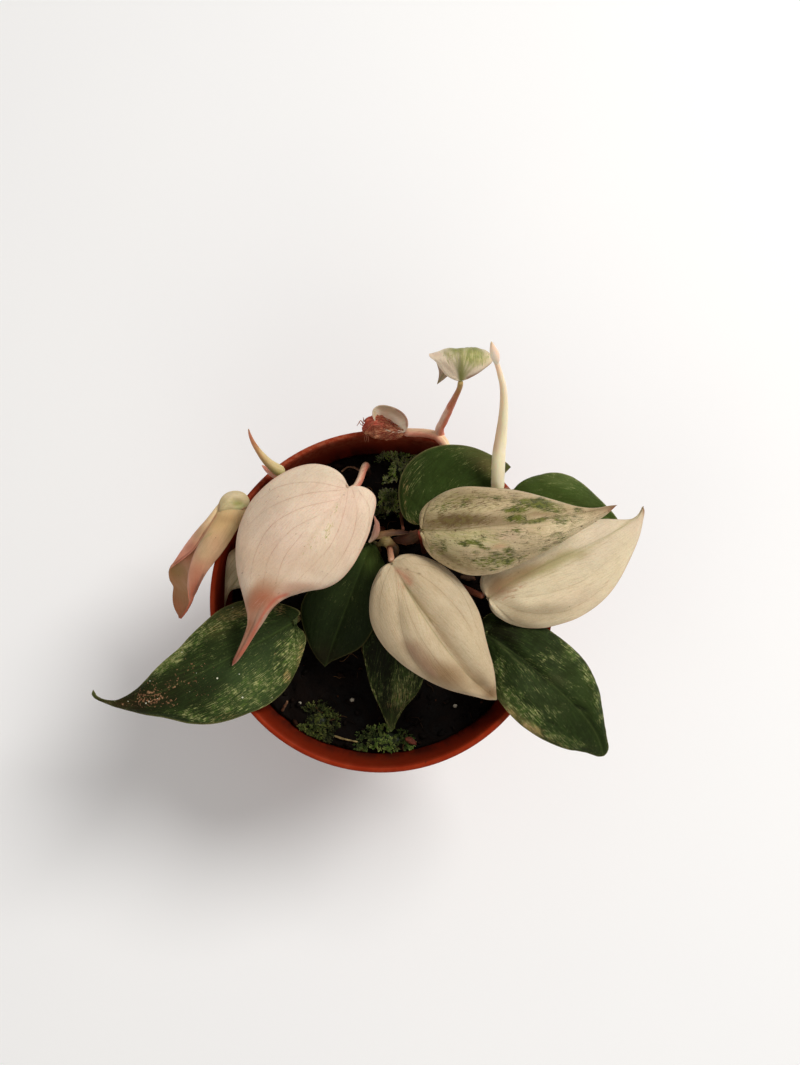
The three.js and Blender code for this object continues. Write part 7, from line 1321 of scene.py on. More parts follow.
# ------------------------------------------------------------------ papery bracts
def scroll(points, half, arc, thick=0.22, n=36, m=14, up=(0, 0, 1), seed=1, wrinkle=0.15, ragged=0.0, cut=()):
    """A curved strip: its cross-section is an arc of the given angle; half widths along its length."""
    D = catmull(points)
    L = length(D)
    u = np.linspace(0, 1, n + 1)
    C = along(D, u)
    tan = unit(np.gradient(C, axis=0))
    up = np.array(up, float)
    side = unit(np.cross(tan, up))
    nor = np.cross(side, tan)
    hw = np.interp(u, np.linspace(0, 1, len(half)), half)
    ar = np.interp(u, np.linspace(0, 1, len(arc)) if hasattr(arc, "__len__") else [0, 1], arc if hasattr(arc, "__len__") else [arc, arc])
    nz = Noise(seed)
    v = np.linspace(-1, 1, m + 1)
    P = np.zeros((n + 1, m + 1, 3))
    N = np.zeros_like(P)
    for i in range(n + 1):
        a = math.radians(max(2.0, ar[i])) / 2
        r = hw[i] / math.sin(min(a, math.pi / 2)) if a < math.pi / 2 else hw[i]
        th = v * a
        w = np.ones(m + 1)
        if ragged:
            w = 1 + ragged * nz(np.stack([np.full(m + 1, u[i] * 14), np.sign(v) * 3, v * 0], -1)) * np.abs(v) ** 3
        P[i] = C[i] + side[i] * (r * np.sin(th) * w)[:, None] + nor[i] * (r * (np.cos(th) - 1))[:, None]
        N[i] = side[i] * np.sin(th)[:, None] + nor[i] * np.cos(th)[:, None]
    P = P + N * (wrinkle * nz.fractal(P, 0.5, 3))[..., None]
    pts, nr = P.reshape(-1, 3), N.reshape(-1, 3)
    k = len(pts)
    F = []
    for i in range(n):
        for j in range(m):
            a, b, c, d = i * (m + 1) + j, (i + 1) * (m + 1) + j, (i + 1) * (m + 1) + j + 1, i * (m + 1) + j + 1
            F.append([a, d, c, b])
    G = [f[:] for f in F] + [[x + k for x in f[::-1]] for f in F]
    edges = {}
    for f in F:
        for a, b in zip(f, f[1:] + f[:1]):
            if (b, a) in edges:
                del edges[(b, a)]
            else:
                edges[(a, b)] = 1
    sharp = []
    for a, b in edges:
        G.append([a, a + k, b + k, b])
        sharp += [(a, b), (a + k, b + k)]
    V = np.concatenate([pts, pts - nr * thick])
    uu, vv = np.meshgrid(u, v, indexing="ij")
    info = np.stack([uu.ravel(), vv.ravel()], -1)
    return V, G, np.concatenate([info, info]), L, sharp


def bract_piece(name, V, F, info, L, stops, edge_col, material, replaces, sharp, across=6.0, edge_amt=0.6):
    col = gradient(info[:, 0], stops)
    m = (smooth(0.6, 1.0, np.abs(info[:, 1])) * edge_amt)[:, None]
    col = col * (1 - m) + np.array(lin(*edge_col)) * m
    tone = np.hstack([col, np.ones((len(V), 1))])
    au = np.stack([info[:, 0] * L, info[:, 1] * across, info[:, 1] * 0], -1)
    return make(name, V, F, material, {"tone": ("FLOAT_COLOR", tone), "au": ("FLOAT_VECTOR", au)}, sharp, replaces=replaces)


PAPER = stem_material("papery_skin", rough=0.55, streak=(120, 84, 56), streak_amt=0.65, sss=0.1, spec=0.35)
V, F, info, L, sh = scroll([at(369.5, 542.0, 3.2), at(375, 536, 4.6), at(384, 532.6, 5.0), at(395, 531.6, 5.0), at(409, 532.4, 4.4)], [0.5, 1.15, 1.3, 1.1, 0.35], [70, 110, 120, 100, 60],
                           up=(0.05, 0.55, 1), seed=31, wrinkle=0.12, ragged=0.15)
bract_piece("cataphyll_left_bract", V, F, info, L, [(0, (120, 104, 60)), (0.4, (132, 98, 64)), (0.8, (96, 58, 40)), (1, (84, 44, 32))], (176, 140, 98), PAPER, ("cataphyll_left",), sh)
V, F, info, L, sh = scroll([at(393, 538.5, 2.2), at(400, 539.5, 3.6), at(408, 539, 4.6), at(415, 536, 4.8), at(419.5, 532.5, 4.6)], [0.35, 1.5, 1.9, 1.9, 1.1], [80, 120, 130, 120, 90],
                           up=(0.1, -0.15, 1), seed=32, wrinkle=0.16, ragged=0.12)
bract_piece("cataphyll_right_bract", V, F, info, L, [(0, (96, 58, 40)), (0.4, (112, 68, 46)), (0.75, (104, 76, 46)), (1, (140, 84, 58))], (150, 96, 66), PAPER, ("cataphyll_right",), sh)
V, F, info, L, sh = scroll([at(377.5, 544.5, 5.6), at(383, 541.2, 8.2), at(389, 541.4, 8.4), at(395.5, 545.0, 6.4)], [0.5, 1.7, 1.75, 0.6], [120, 170, 170, 120],
                           up=(0.0, 0.1, 1), seed=33, wrinkle=0.10, ragged=0.1)
bract_piece("node_crown_sheath", V, F, info, L, [(0, (104, 96, 52)), (0.4, (140, 124, 76)), (0.7, (132, 112, 70)), (1, (116, 78, 48))], (186, 158, 108), PAPER, ("node_crown",), sh)
V, F, info, L, sh = scroll([at(374.5, 516, 8.6), at(377.6, 525, 7.4), at(376.2, 534, 6.2), at(369.0, 542.5, 5.2)], [0.2, 1.0, 1.2, 0.25], [60, 120, 120, 60],
                           up=(0.5, 0.0, 1), seed=34, wrinkle=0.08, ragged=0.05)
bract_piece("bract_center_sheath", V, F, info, L, [(0, (178, 110, 92)), (0.5, (190, 130, 112)), (1, (186, 150, 124))], (206, 160, 138), ROLL, ("bract_center",), sh)

# ------------------------------------------------------------------ torn fibrous sheath over the rim
FIB = Mat("fibrous_sheath_skin", rough=0.62)
FIB.b.inputs["Specular IOR Level"].default_value = 0.3
FIB.b.inputs["Subsurface Weight"].default_value = 0.15
FIB.b.inputs["Subsurface Radius"].default_value = (1.0, 0.4, 0.2)
FIB.b.inputs["Subsurface Scale"].default_value = 0.0008
f_tone = FIB.attr("tone")
f_au = FIB.attr("au", "Vector")
f_n = FIB.noise(FIB.mapping(f_au, (0.5, 3.2, 1)), 1.0, 5.0, 0.65, 0.6)
f_n2 = FIB.noise(FIB.obj(), 1100.0, 4.0, 0.65)
f_col = FIB.mix(FIB.remap(f_n, 0.36, 0.62), FIB.mix(1.0, f_tone, lin4(190, 110, 92), "MULTIPLY"), f_tone)
f_col = FIB.mix(FIB.math("MULTIPLY", FIB.remap(f_n2, 0.5, 0.75), 0.45), f_col, lin4(208, 150, 112))
FIB.color(f_col)
FIB.normal(FIB.bump(f_n, 0.7, 0.0005, FIB.bump(f_n2, 0.35, 0.0003)))


def fibre(points, r, col0, col1, seed, sides=5):
    nz = Noise(seed)
    D = catmull(points)
    D = D + np.stack([nz(D, 0.8), nz(D + 9, 0.8), nz(D + 17, 0.8)], -1) * 0.18
    V, F, info, rad = tube(along(D, np.linspace(0, 1, 9)), [r, r * 0.8, r * 0.45], sides, 0.5)
    m = info[:, 2][:, None]
    col = np.array(lin(*col0)) * (1 - m) + np.array(lin(*col1)) * m
    tone = np.hstack([col, np.ones((len(V), 1))])
    au = np.stack([info[:, 0], info[:, 1], info[:, 1] * 0 + seed % 7], -1)
    return V, F, {"tone": tone, "au": au}


def sheath():
    parts = []
    rng = np.random.default_rng(41)
    P = np.array(SPIKES["sheath_red_fibrous"])
    core = [at(362.5, 430.5, 2.6), at(368, 428.0, 3.8), at(375, 426.5, 4.2), at(384, 429.0, 3.6), at(394, 432.0, 3.0), at(404, 433.2, 2.6)]
    V, F, info, rad = tube(core, [0.5, 2.6, 3.3, 2.7, 1.9, 1.35], 36, 0.35, None)
    nz = Noise(77)
    u, a = info[:, 2], info[:, 1]
    lump = nz.fractal(V, 0.55, 4) * 0.55 + 0.35 * np.sin(a * 5 + u * 9) * (1 - u)
    V = V + rad * (lump * smooth(0, 0.06, u) * (1 - 0.75 * smooth(0.7, 1.0, u)))[:, None]
    col = gradient(u, [(0, (226, 118, 92)), (0.2, (220, 102, 80)), (0.45, (226, 130, 100)), (0.7, (242, 182, 142)), (1, (244, 176, 146))])
    low = smooth(0.2, 0.9, rad @ unit(np.array([0.25, -1, 0.2])))[:, None] * 0.75
    col = col * (1 - low) + np.array(lin(246, 192, 146)) * low
    parts.append((V, F, {"tone": np.hstack([col, np.ones((len(V), 1))]), "au": np.stack([info[:, 0], a * 2.2, a * 0], -1)}))
    # fibres laid over it, and a few that stand free
    D = along(catmull(core), np.linspace(0, 1, 60))
    R = np.interp(np.linspace(0, 1, 60), np.linspace(0, 1, 6), [0.5, 2.6, 3.3, 2.7, 1.9, 1.35])
    for k in range(150):
        i = int(rng.uniform(4, 46))
        th0 = rng.uniform(-0.4, 3.5)
        n_ = rng.integers(5, 12)
        pts = []
        for j in range(5):
            ii = min(58, i + int(j * n_ / 4 * 1.3))
            th = th0 + rng.uniform(-0.12, 0.12) + 0.12 * j
            tan = unit(D[ii + 1] - D[ii])
            b = unit(np.cross(tan, [0, 0, 1.0]))
            c = np.cross(b, tan)
            pts.append(D[ii] + (b * math.cos(th) + c * math.sin(th)) * (R[ii] + rng.uniform(0.15, 0.55)))
        shade = rng.uniform(0, 1)
        c0 = (176 + 50 * shade, 80 + 76 * shade, 58 + 60 * shade)
        parts.append(fibre(pts, rng.uniform(0.07, 0.15), c0, (c0[0] + 14, c0[1] + 22, c0[2] + 18), 100 + k))
    for pts, r in [([at(364, 424, 5), at(360.5, 420.5, 6), at(358.5, 424, 5.5), at(357.0, 426.3, 5.0)], 0.20),
                   ([at(364, 421, 5), at(363.2, 418.0, 6), at(362.6, 416.8, 6.2)], 0.18),
                   ([at(366, 432, 3), at(367.0, 437.5, 1.6), at(366.2, 440.5, 0.8)], 0.24),
                   ([at(365, 431, 3), at(368.3, 436.0, 2.0), at(368.0, 441.8, 0.6)], 0.22),
                   ([at(366.0, 434, 3), at(364.6, 438.5, 1.4), at(365.8, 442.6, 0.2)], 0.16),
                   ([at(364, 426, 5), at(361.0, 424.5, 5), at(359.6, 422.4, 5.6)], 0.16)]:
        parts.append(fibre(pts, r, (176, 96, 74), (206, 150, 118), int(pts[0][0] * 10) % 91 + 3))
    # torn rim: ragged scales along the lower side and along the open bract
    for k in range(46):
        f = k / 45
        px, py, zz = np.interp(f, [0, 0.3, 0.6, 1], [366, 376, 388, 405]), np.interp(f, [0, 0.3, 0.6, 1], [434.5, 438.2, 437.6, 433.8]), np.interp(f, [0, 1], [2.2, 2.4])
        a = at(px + rng.uniform(-1, 1), py - 2.2, zz + rng.uniform(0.2, 1.2))
        b = at(px + rng.uniform(-1.5, 1.5), py + rng.uniform(-0.8, 1.2), zz + rng.uniform(-0.8, 0.2))
        mid = (a + b) / 2 + np.array([rng.uniform(-.2, .2), -0.25, rng.uniform(0.1, 0.5)])
        w = rng.uniform(0.35, 0.8)
        V2, F2, inf2, L2, _ = scroll([a, mid, b], [w, w * 0.9, w * 0.2], 90, 0.14, 6, 4, up=(rng.uniform(-.5, .5), -0.3, 1), seed=200 + k, wrinkle=0.12)
        c = gradient(inf2[:, 0], [(0, (190, 120, 88)), (0.5, (212, 160, 116)), (1, (222, 184, 140))])
        parts.append((V2, F2, {"tone": np.hstack([c, np.ones((len(V2), 1))]), "au": np.stack([inf2[:, 0] * L2, inf2[:, 1], inf2[:, 1] * 0], -1)}))
    for k in range(30):
        f = k / 29
        px, py = np.interp(f, [0, 0.35, 0.7, 1], [375, 384, 394, 404]), np.interp(f, [0, 0.35, 0.7, 1], [414, 422.5, 427.0, 431.0])
        a = at(px - 1.5, py + 1.5, 4.8 - 1.5 * f + rng.uniform(-.2, .5))
        b = at(px + rng.uniform(0.2, 1.8), py + rng.uniform(-1.6, 0.2), 6.4 - 2.0 * f)
        w = rng.uniform(0.3, 0.7)
        V2, F2, inf2, L2, _ = scroll([a, (a + b) / 2 + np.array([0, 0, 0.3]), b], [w, w, w * 0.25], 80, 0.14, 6, 4, up=(-0.4, -0.4, 1), seed=300 + k, wrinkle=0.12)
        c = gradient(inf2[:, 0], [(0, (176, 90, 66)), (0.5, (208, 150, 110)), (1, (222, 190, 146))])
        parts.append((V2, F2, {"tone": np.hstack([c, np.ones((len(V2), 1))]), "au": np.stack([inf2[:, 0] * L2, inf2[:, 1], inf2[:, 1] * 0], -1)}))
    V, F, A = merge(parts)
    return make("sheath_red_fibrous_torn", V, F, FIB.m, {"tone": ("FLOAT_COLOR", A["tone"]), "au": ("FLOAT_VECTOR", A["au"])}, replaces=("sheath_red_fibrous",))


sheath()

# ------------------------------------------------------------------ pot
POT_H, COLLAR_H, WALL, FLOOR_Z0, FLOOR_Z1, LIP = 90.0, 9.5, 1.2, 2.0, 3.2, 2.0
RT, RB = 52.5, 37.5


def r_in(z):
    return RB - 0.4 + (RT - LIP - RB + 0.4) * (z - FLOOR_Z1) / (POT_H - FLOOR_Z1)


def pot():
    body_top = r_in(POT_H - COLLAR_H) + WALL
    prof = [(0, 0.15), (8.4, 0.15), (8.9, 0.3), (9.3, 1.2), (9.9, FLOOR_Z0), (RB - 4.6, FLOOR_Z0), (RB - 4.1, 1.5), (RB - 3.8, 0.5), (RB - 3.4, 0.05),
            (RB - 2.4, 0.0), (RB - 1.0, 0.0), (RB - 0.4, 0.15), (RB - 0.05, 0.55), (RB + 0.1, 1.2)]
    for z in np.linspace(4, POT_H - COLLAR_H - 1.2, 20):
        prof.append((RB + 0.1 + (body_top - RB - 0.1) * (z - 1.2) / (POT_H - COLLAR_H - 1.2), z))
    zt = POT_H - COLLAR_H
    prof += [(body_top, zt - 0.35), (body_top + 0.2, zt - 0.05), (RT - 1.3, zt + 0.05), (RT - 0.75, zt + 0.3), (RT - 0.5, zt + 0.85), (RT - 0.42, zt + 1.6),
             (RT - 0.30, zt + 3.5), (RT - 0.18, zt + 5.5), (RT - 0.08, zt + 7.2), (RT - 0.02, zt + 8.2), (RT, POT_H - 0.95), (RT - 0.10, POT_H - 0.5), (RT - 0.38, POT_H - 0.18),
             (RT - 0.75, POT_H - 0.02), (RT - 1.15, POT_H - 0.02), (RT - 1.5, POT_H - 0.16), (RT - LIP + 0.2, POT_H - 0.5), (RT - LIP - 0.02, POT_H - 1.0)]
    for z in np.linspace(POT_H - 3, 8, 22):
        prof.append((r_in(z), z))
    prof += [(r_in(5.2), 5.2), (r_in(FLOOR_Z1) - 0.25, FLOOR_Z1 + 0.5), (r_in(FLOOR_Z1) - 1.0, FLOOR_Z1 + 0.05), (r_in(FLOOR_Z1) - 2.5, FLOOR_Z1), (0, FLOOR_Z1)]
    prof = np.array(prof)
    seg = 224
    nz = Noise(5)
    a = np.linspace(0, 2 * np.pi, seg, endpoint=False)
    V = [(0, 0, prof[0][1])]
    for r, z in prof[1:-1]:
        oval = 1 + 0.0015 * np.cos(2 * a + 0.6) + 0.0008 * np.cos(3 * a + 1.9)
        V += list(zip(r * oval * np.cos(a), r * oval * np.sin(a), np.full(seg, z)))
    V.append((0, 0, prof[-1][1]))
    n = len(prof) - 2
    F = []
    for j in range(seg):
        k = (j + 1) % seg
        F.append([0, 1 + k, 1 + j])
        F.append([len(V) - 1, 1 + (n - 1) * seg + j, 1 + (n - 1) * seg + k])
        for i in range(n - 1):
            F.append([1 + i * seg + j, 1 + i * seg + k, 1 + (i + 1) * seg + k, 1 + (i + 1) * seg + j])
    m = Mat("moulded_plastic", rough=0.42)
    m.b.inputs["Specular IOR Level"].default_value = 0.06
    m.b.inputs["Subsurface Weight"].default_value = 0.05
    m.b.inputs["Subsurface Radius"].default_value = (1.0, 0.3, 0.1)
    m.b.inputs["Subsurface Scale"].default_value = 0.001
    o = m.obj()
    xyz = m.sep(o)
    c1 = m.noise(o, 60.0, 4.0, 0.6)
    c2 = m.noise(o, 700.0, 3.0, 0.6)
    c3 = m.noise(m.mapping(o, (1, 1, 0.15)), 240.0, 4.0, 0.65)
    col = m.mix(m.remap(c1, 0.3, 0.7), lin4(126, 33, 8), lin4(140, 40, 11))
    # lighter lip top, partly rubbed wear and partly painted highlight; dust film and water marks
    hi = m.remap(xyz[2], 0.0885, 0.0899)
    col = m.mix(m.math("MULTIPLY", hi, m.remap(c3, 0.35, 0.65, 0.02, 0.16)), col, lin4(172, 72, 38))
    dust = m.math("MULTIPLY", m.remap(c3, 0.48, 0.72), 0.10)
    col = m.mix(dust, col, lin4(162, 84, 54))
    far = m.math("MULTIPLY", m.remap(xyz[1], 0.012, 0.050), m.remap(xyz[2], 0.080, 0.0885))
    col = m.mix(m.math("MULTIPLY", far, m.remap(c2, 0.35, 0.66, 0.10, 0.55)), col, lin4(178, 104, 76))
    rad2 = m.math("ADD", m.math("MULTIPLY", xyz[0], xyz[0]), m.math("MULTIPLY", xyz[1], xyz[1]))
    wall_r = m.math("ADD", 0.0371, m.math("MULTIPLY", m.math("SUBTRACT", xyz[2], 0.0032), 0.15438))
    inner = m.math("LESS_THAN", rad2, m.math("MULTIPLY", m.math("ADD", wall_r, 0.0005), m.math("ADD", wall_r, 0.0005)))
    # painted shade: the inner wall is darker all over and darker still towards the soil, where a soil stain is mixed in
    soil_stain_and_shade = m.math("MULTIPLY", m.math("MULTIPLY", inner, m.remap(xyz[2], 0.0775, 0.0865, 1.0, 0.0)), m.remap(c3, 0.35, 0.62, 0.25, 0.95))
    col = m.mix(soil_stain_and_shade, col, lin4(34, 14, 9))
    col = m.mix(m.math("MULTIPLY", inner, 0.45), col, lin4(92, 30, 18))
    specks = m.math("MULTIPLY", m.math("GREATER_THAN", c2, 0.70), m.math("MULTIPLY", m.remap(c1, 0.4, 0.6), 0.6))
    col = m.mix(specks, col, lin4(70, 30, 20))
    m.color(col)
    m.rough(m.remap(c1, 0.3, 0.7, 0.44, 0.56))
    m.normal(m.bump(c1, 0.10, 0.0006, m.bump(c2, 0.05, 0.0001)))
    ob = make("pot_shell", V, F, m.m, replaces=("pot",))
    # drain holes through the recessed floor
    bm = bmesh.new()
    for i in range(8):
        an = 2 * math.pi * (i + 0.5) / 8
        ring = [[], []]
        for lv, z in ((0, -1.0), (1, 5.0)):
            for k in range(32):
                t_ = 2 * math.pi * k / 32
                ring[lv].append(bm.verts.new(((25 * math.cos(an) + 3 * math.cos(t_)) * MM, (25 * math.sin(an) + 3 * math.sin(t_)) * MM, z * MM)))
        bm.faces.new(ring[0][::-1])
        bm.faces.new(ring[1])
        for k in range(32):
            q = (k + 1) % 32
            bm.faces.new([ring[0][k], ring[0][q], ring[1][q], ring[1][k]])
    cm = bpy.data.meshes.new("cut")
    bm.to_mesh(cm)
    bm.free()
    cutter = bpy.data.objects.new("cut", cm)
    scene.collection.objects.link(cutter)
    mod = ob.modifiers.new("holes", "BOOLEAN")
    mod.object = cutter
    mod.operation = "DIFFERENCE"
    mod.solver = "EXACT"
    dg = bpy.context.evaluated_depsgraph_get()
    me = bpy.data.meshes.new_from_object(ob.evaluated_get(dg))
    ob.modifiers.clear()
    ob.data = me
    bpy.data.objects.remove(cutter)
    me.polygons.foreach_set("use_smooth", [True] * len(me.polygons))
    me.update()
    me.set_sharp_from_angle(angle=math.radians(38))
    return ob


pot()

# ------------------------------------------------------------------ potting mix
SOILM = Mat("potting_mix", rough=0.85)
SOILM.b.inputs["Specular IOR Level"].default_value = 0.08
s_o = SOILM.obj()
s1 = SOILM.noise(s_o, 260.0, 5.0, 0.7, 0.4)
s2 = SOILM.noise(s_o, 1500.0, 4.0, 0.7)
s3 = SOILM.noise(s_o, 70.0, 3.0, 0.6)
s_c = SOILM.mix(SOILM.remap(s1, 0.35, 0.68), lin4(5, 3, 2), lin4(15, 9, 6))
s_c = SOILM.mix(SOILM.math("MULTIPLY", SOILM.remap(s3, 0.45, 0.7), 0.5), s_c, lin4(22, 12, 7))
s_c = SOILM.mix(SOILM.remap(s2, 0.66, 0.76), s_c, lin4(40, 26, 17))
s_c = SOILM.mix(SOILM.math("MULTIPLY", SOILM.attr("shade", "Fac"), 1.0), s_c, SOILM.attr("tone"))
SOILM.color(s_c)
SOILM.rough(SOILM.remap(s1, 0.3, 0.7, 0.60, 0.95))
SOILM.normal(SOILM.bump(s1, 0.8, 0.0010, SOILM.bump(s2, 0.5, 0.0004)))


def rock(rng, size, stretch=(1, 1, 1), sub=2, rough_=0.28):
    bm = bmesh.new()
    bmesh.ops.create_icosphere(bm, subdivisions=sub, radius=1.0)
    V = np.array([v.co[:] for v in bm.verts])
    F = [[v.index for v in f.verts] for f in bm.faces]
    bm.free()
    nz = Noise(int(rng.integers(1, 10 ** 6)), 8)
    V = V * (1 + rough_ * nz.fractal(V + 5, 1.3, 3))[:, None]
    V = V * np.array(stretch) * size
    q = rng.normal(size=4)
    q /= np.linalg.norm(q)
    w, x, y, z = q
    R = np.array([[1 - 2 * (y * y + z * z), 2 * (x * y - z * w), 2 * (x * z + y * w)], [2 * (x * y + z * w), 1 - 2 * (x * x + z * z), 2 * (y * z - x * w)],
                  [2 * (x * z - y * w), 2 * (y * z + x * w), 1 - 2 * (x * x + y * y)]])
    return V @ R.T, F


_top_noise = Noise(61)


def soil_height(x, y):
    P = np.stack([x, y, np.zeros_like(x)], -1)
    r = np.hypot(x, y)
    h = 1.3 * _top_noise.fractal(P + 3, 0.09, 2) + 0.8 * _top_noise.fractal(P + 20, 0.33, 4)
    return SOIL_Z - 0.6 + h + 0.9 * smooth(40, 48, r)


def soil():
    rng = np.random.default_rng(62)
    parts = []
    # body: top heightfield, side and bottom in one closed skin
    seg, rings = 150, 58
    a = np.linspace(0, 2 * np.pi, seg, endpoint=False)
    V = [(0.0, 0.0, float(soil_height(np.array(0.0), np.array(0.0))))]
    rr = np.linspace(0.8, r_in(75) - 0.35, rings)
    for r in rr:
        x, y = r * np.cos(a), r * np.sin(a)
        V += list(zip(x, y, soil_height(x, y)))
    for z in (60, 40, 20, FLOOR_Z1 + 1.6):
        r = r_in(z) - 0.35
        V += list(zip(r * np.cos(a), r * np.sin(a), np.full(seg, z)))
    r = r_in(FLOOR_Z1) - 1.5
    V += list(zip(r * np.cos(a), r * np.sin(a), np.full(seg, FLOOR_Z1 + 0.3)))
    V.append((0, 0, FLOOR_Z1 + 0.3))
    n = rings + 5
    F = []
    for j in range(seg):
        k = (j + 1) % seg
        F.append([0, 1 + j, 1 + k])
        F.append([len(V) - 1, 1 + (n - 1) * seg + k, 1 + (n - 1) * seg + j])
        for i in range(n - 1):
            F.append([1 + i * seg + j, 1 + (i + 1) * seg + j, 1 + (i + 1) * seg + k, 1 + i * seg + k])
    V = np.array(V)
    parts.append((V, F, {"tone": np.tile([0, 0, 0, 1.0], (len(V), 1)), "shade": np.zeros(len(V))}))
    # crumbs and chips pressed into the surface
    browns = [(12, 8, 5), (18, 11, 7), (24, 14, 9), (34, 19, 12), (10, 7, 5), (14, 9, 6), (70, 40, 24)]
    for k in range(620):
        r = 47.6 * math.sqrt(rng.uniform(0, 1))
        th = rng.uniform(0, 2 * math.pi)
        x, y = r * math.cos(th), r * math.sin(th)
        size = 0.35 + 1.05 * rng.uniform(0, 1) ** 2.2
        flat = rng.uniform(0.45, 1)
        v, f = rock(rng, size, (rng.uniform(0.8, 1.9), rng.uniform(0.6, 1.0), flat), 1, 0.35)
        z = float(soil_height(np.array(x), np.array(y)))
        rmax = r_in(76) - 0.5
        v = v + [x, y, z + size * 0.25]
        rad = np.hypot(v[:, 0], v[:, 1])
        v[:, :2] *= np.minimum(1, rmax / np.maximum(rad, 1e-6))[:, None]
        c = lin(*browns[int(rng.integers(0, len(browns)))])
        parts.append((v, f, {"tone": np.tile(list(c) + [1.0], (len(v), 1)), "shade": np.full(len(v), rng.uniform(0.3, 0.85))}))
    # root hairs and peat fibres
    for k in range(190):
        r = 46.5 * math.sqrt(rng.uniform(0, 1))
        th = rng.uniform(0, 2 * math.pi)
        x, y = r * math.cos(th), r * math.sin(th)
        d = rng.uniform(0, 2 * math.pi)
        L_ = rng.uniform(2, 7.5)
        pts = []
        for j in range(5):
            xx, yy = x + math.cos(d) * L_ * j / 4, y + math.sin(d) * L_ * j / 4
            rr_ = math.hypot(xx, yy)
            if rr_ > 47.6:
                xx, yy = xx * 47.6 / rr_, yy * 47.6 / rr_
            d += rng.uniform(-0.5, 0.5)
            pts.append([xx, yy, float(soil_height(np.array(xx), np.array(yy))) + rng.uniform(0.05, 0.75) * (1 if 0 < j < 4 else -0.2)])
        v, f, inf, _ = tube(pts, [0.14, 0.12, 0.06], 5, 0.7)
        c = lin(*[(44, 30, 19), (28, 18, 12), (92, 66, 42), (22, 14, 9)][int(rng.integers(0, 4))])
        parts.append((v, f, {"tone": np.tile(list(c) + [1.0], (len(v), 1)), "shade": np.full(len(v), 0.9)}))
    V, F, A = merge(parts)
    return make("soil_mix", V, F, SOILM.m, {"tone": ("FLOAT_COLOR", A["tone"]), "shade": ("FLOAT", A["shade"])}, replaces=("soil",))


soil()

# ------------------------------------------------------------------ moss
MOSS = Mat("moss_leaves", rough=0.6)
MOSS.b.inputs["Specular IOR Level"].default_value = 0.35
MOSS.b.inputs["Subsurface Weight"].default_value = 0.15
MOSS.b.inputs["Subsurface Radius"].default_value = (0.6, 1.0, 0.3)
MOSS.b.inputs["Subsurface Scale"].default_value = 0.0005
mo_n = MOSS.noise(MOSS.obj(), 900.0, 3.0)
MOSS.color(MOSS.mix(MOSS.math("MULTIPLY", MOSS.remap(mo_n, 0.3, 0.7), 0.4), MOSS.attr("tone"), MOSS.mix(1.0, MOSS.attr("tone"), (0.45, 0.5, 0.35), "MULTIPLY")))


def leaflet(base, way, length_, width, curl, tone0, tone1):
    """One thin pointed moss leaf, closed, folded lightly along its middle."""
    way = unit(np.array(way, float))
    side = unit(np.cross(way, [0.13, 0.21, 1.0]))
    up = np.cross(side, way)
    p = []
    for u_, w_ in ((0.0, 0.35), (0.4, 1.0), (0.75, 0.6)):
        c = base + way * length_ * u_ + up * curl * u_ * u_ * length_
        p += [c - side * width * w_, c + up * width * 0.35, c + side * width * w_, c - up * width * 0.15]
    tip = base + way * length_ + up * curl * length_
    p.append(tip)
    V = np.array(p)
    F = [[3, 2, 1, 0]]
    for k in (0, 4):
        for j in range(4):
            q = (j + 1) % 4
            F.append([k + j, k + q, k + 4 + q, k + 4 + j])
    for j in range(4):
        F.append([8 + j, 8 + (j + 1) % 4, 12])
    t = np.array([0] * 4 + [0.5] * 4 + [0.8] * 4 + [1.0])[:, None]
    col = np.array(lin(*tone0)) * (1 - t) + np.array(lin(*tone1)) * t
    return V, F, {"tone": np.hstack([col, np.ones((13, 1))])}


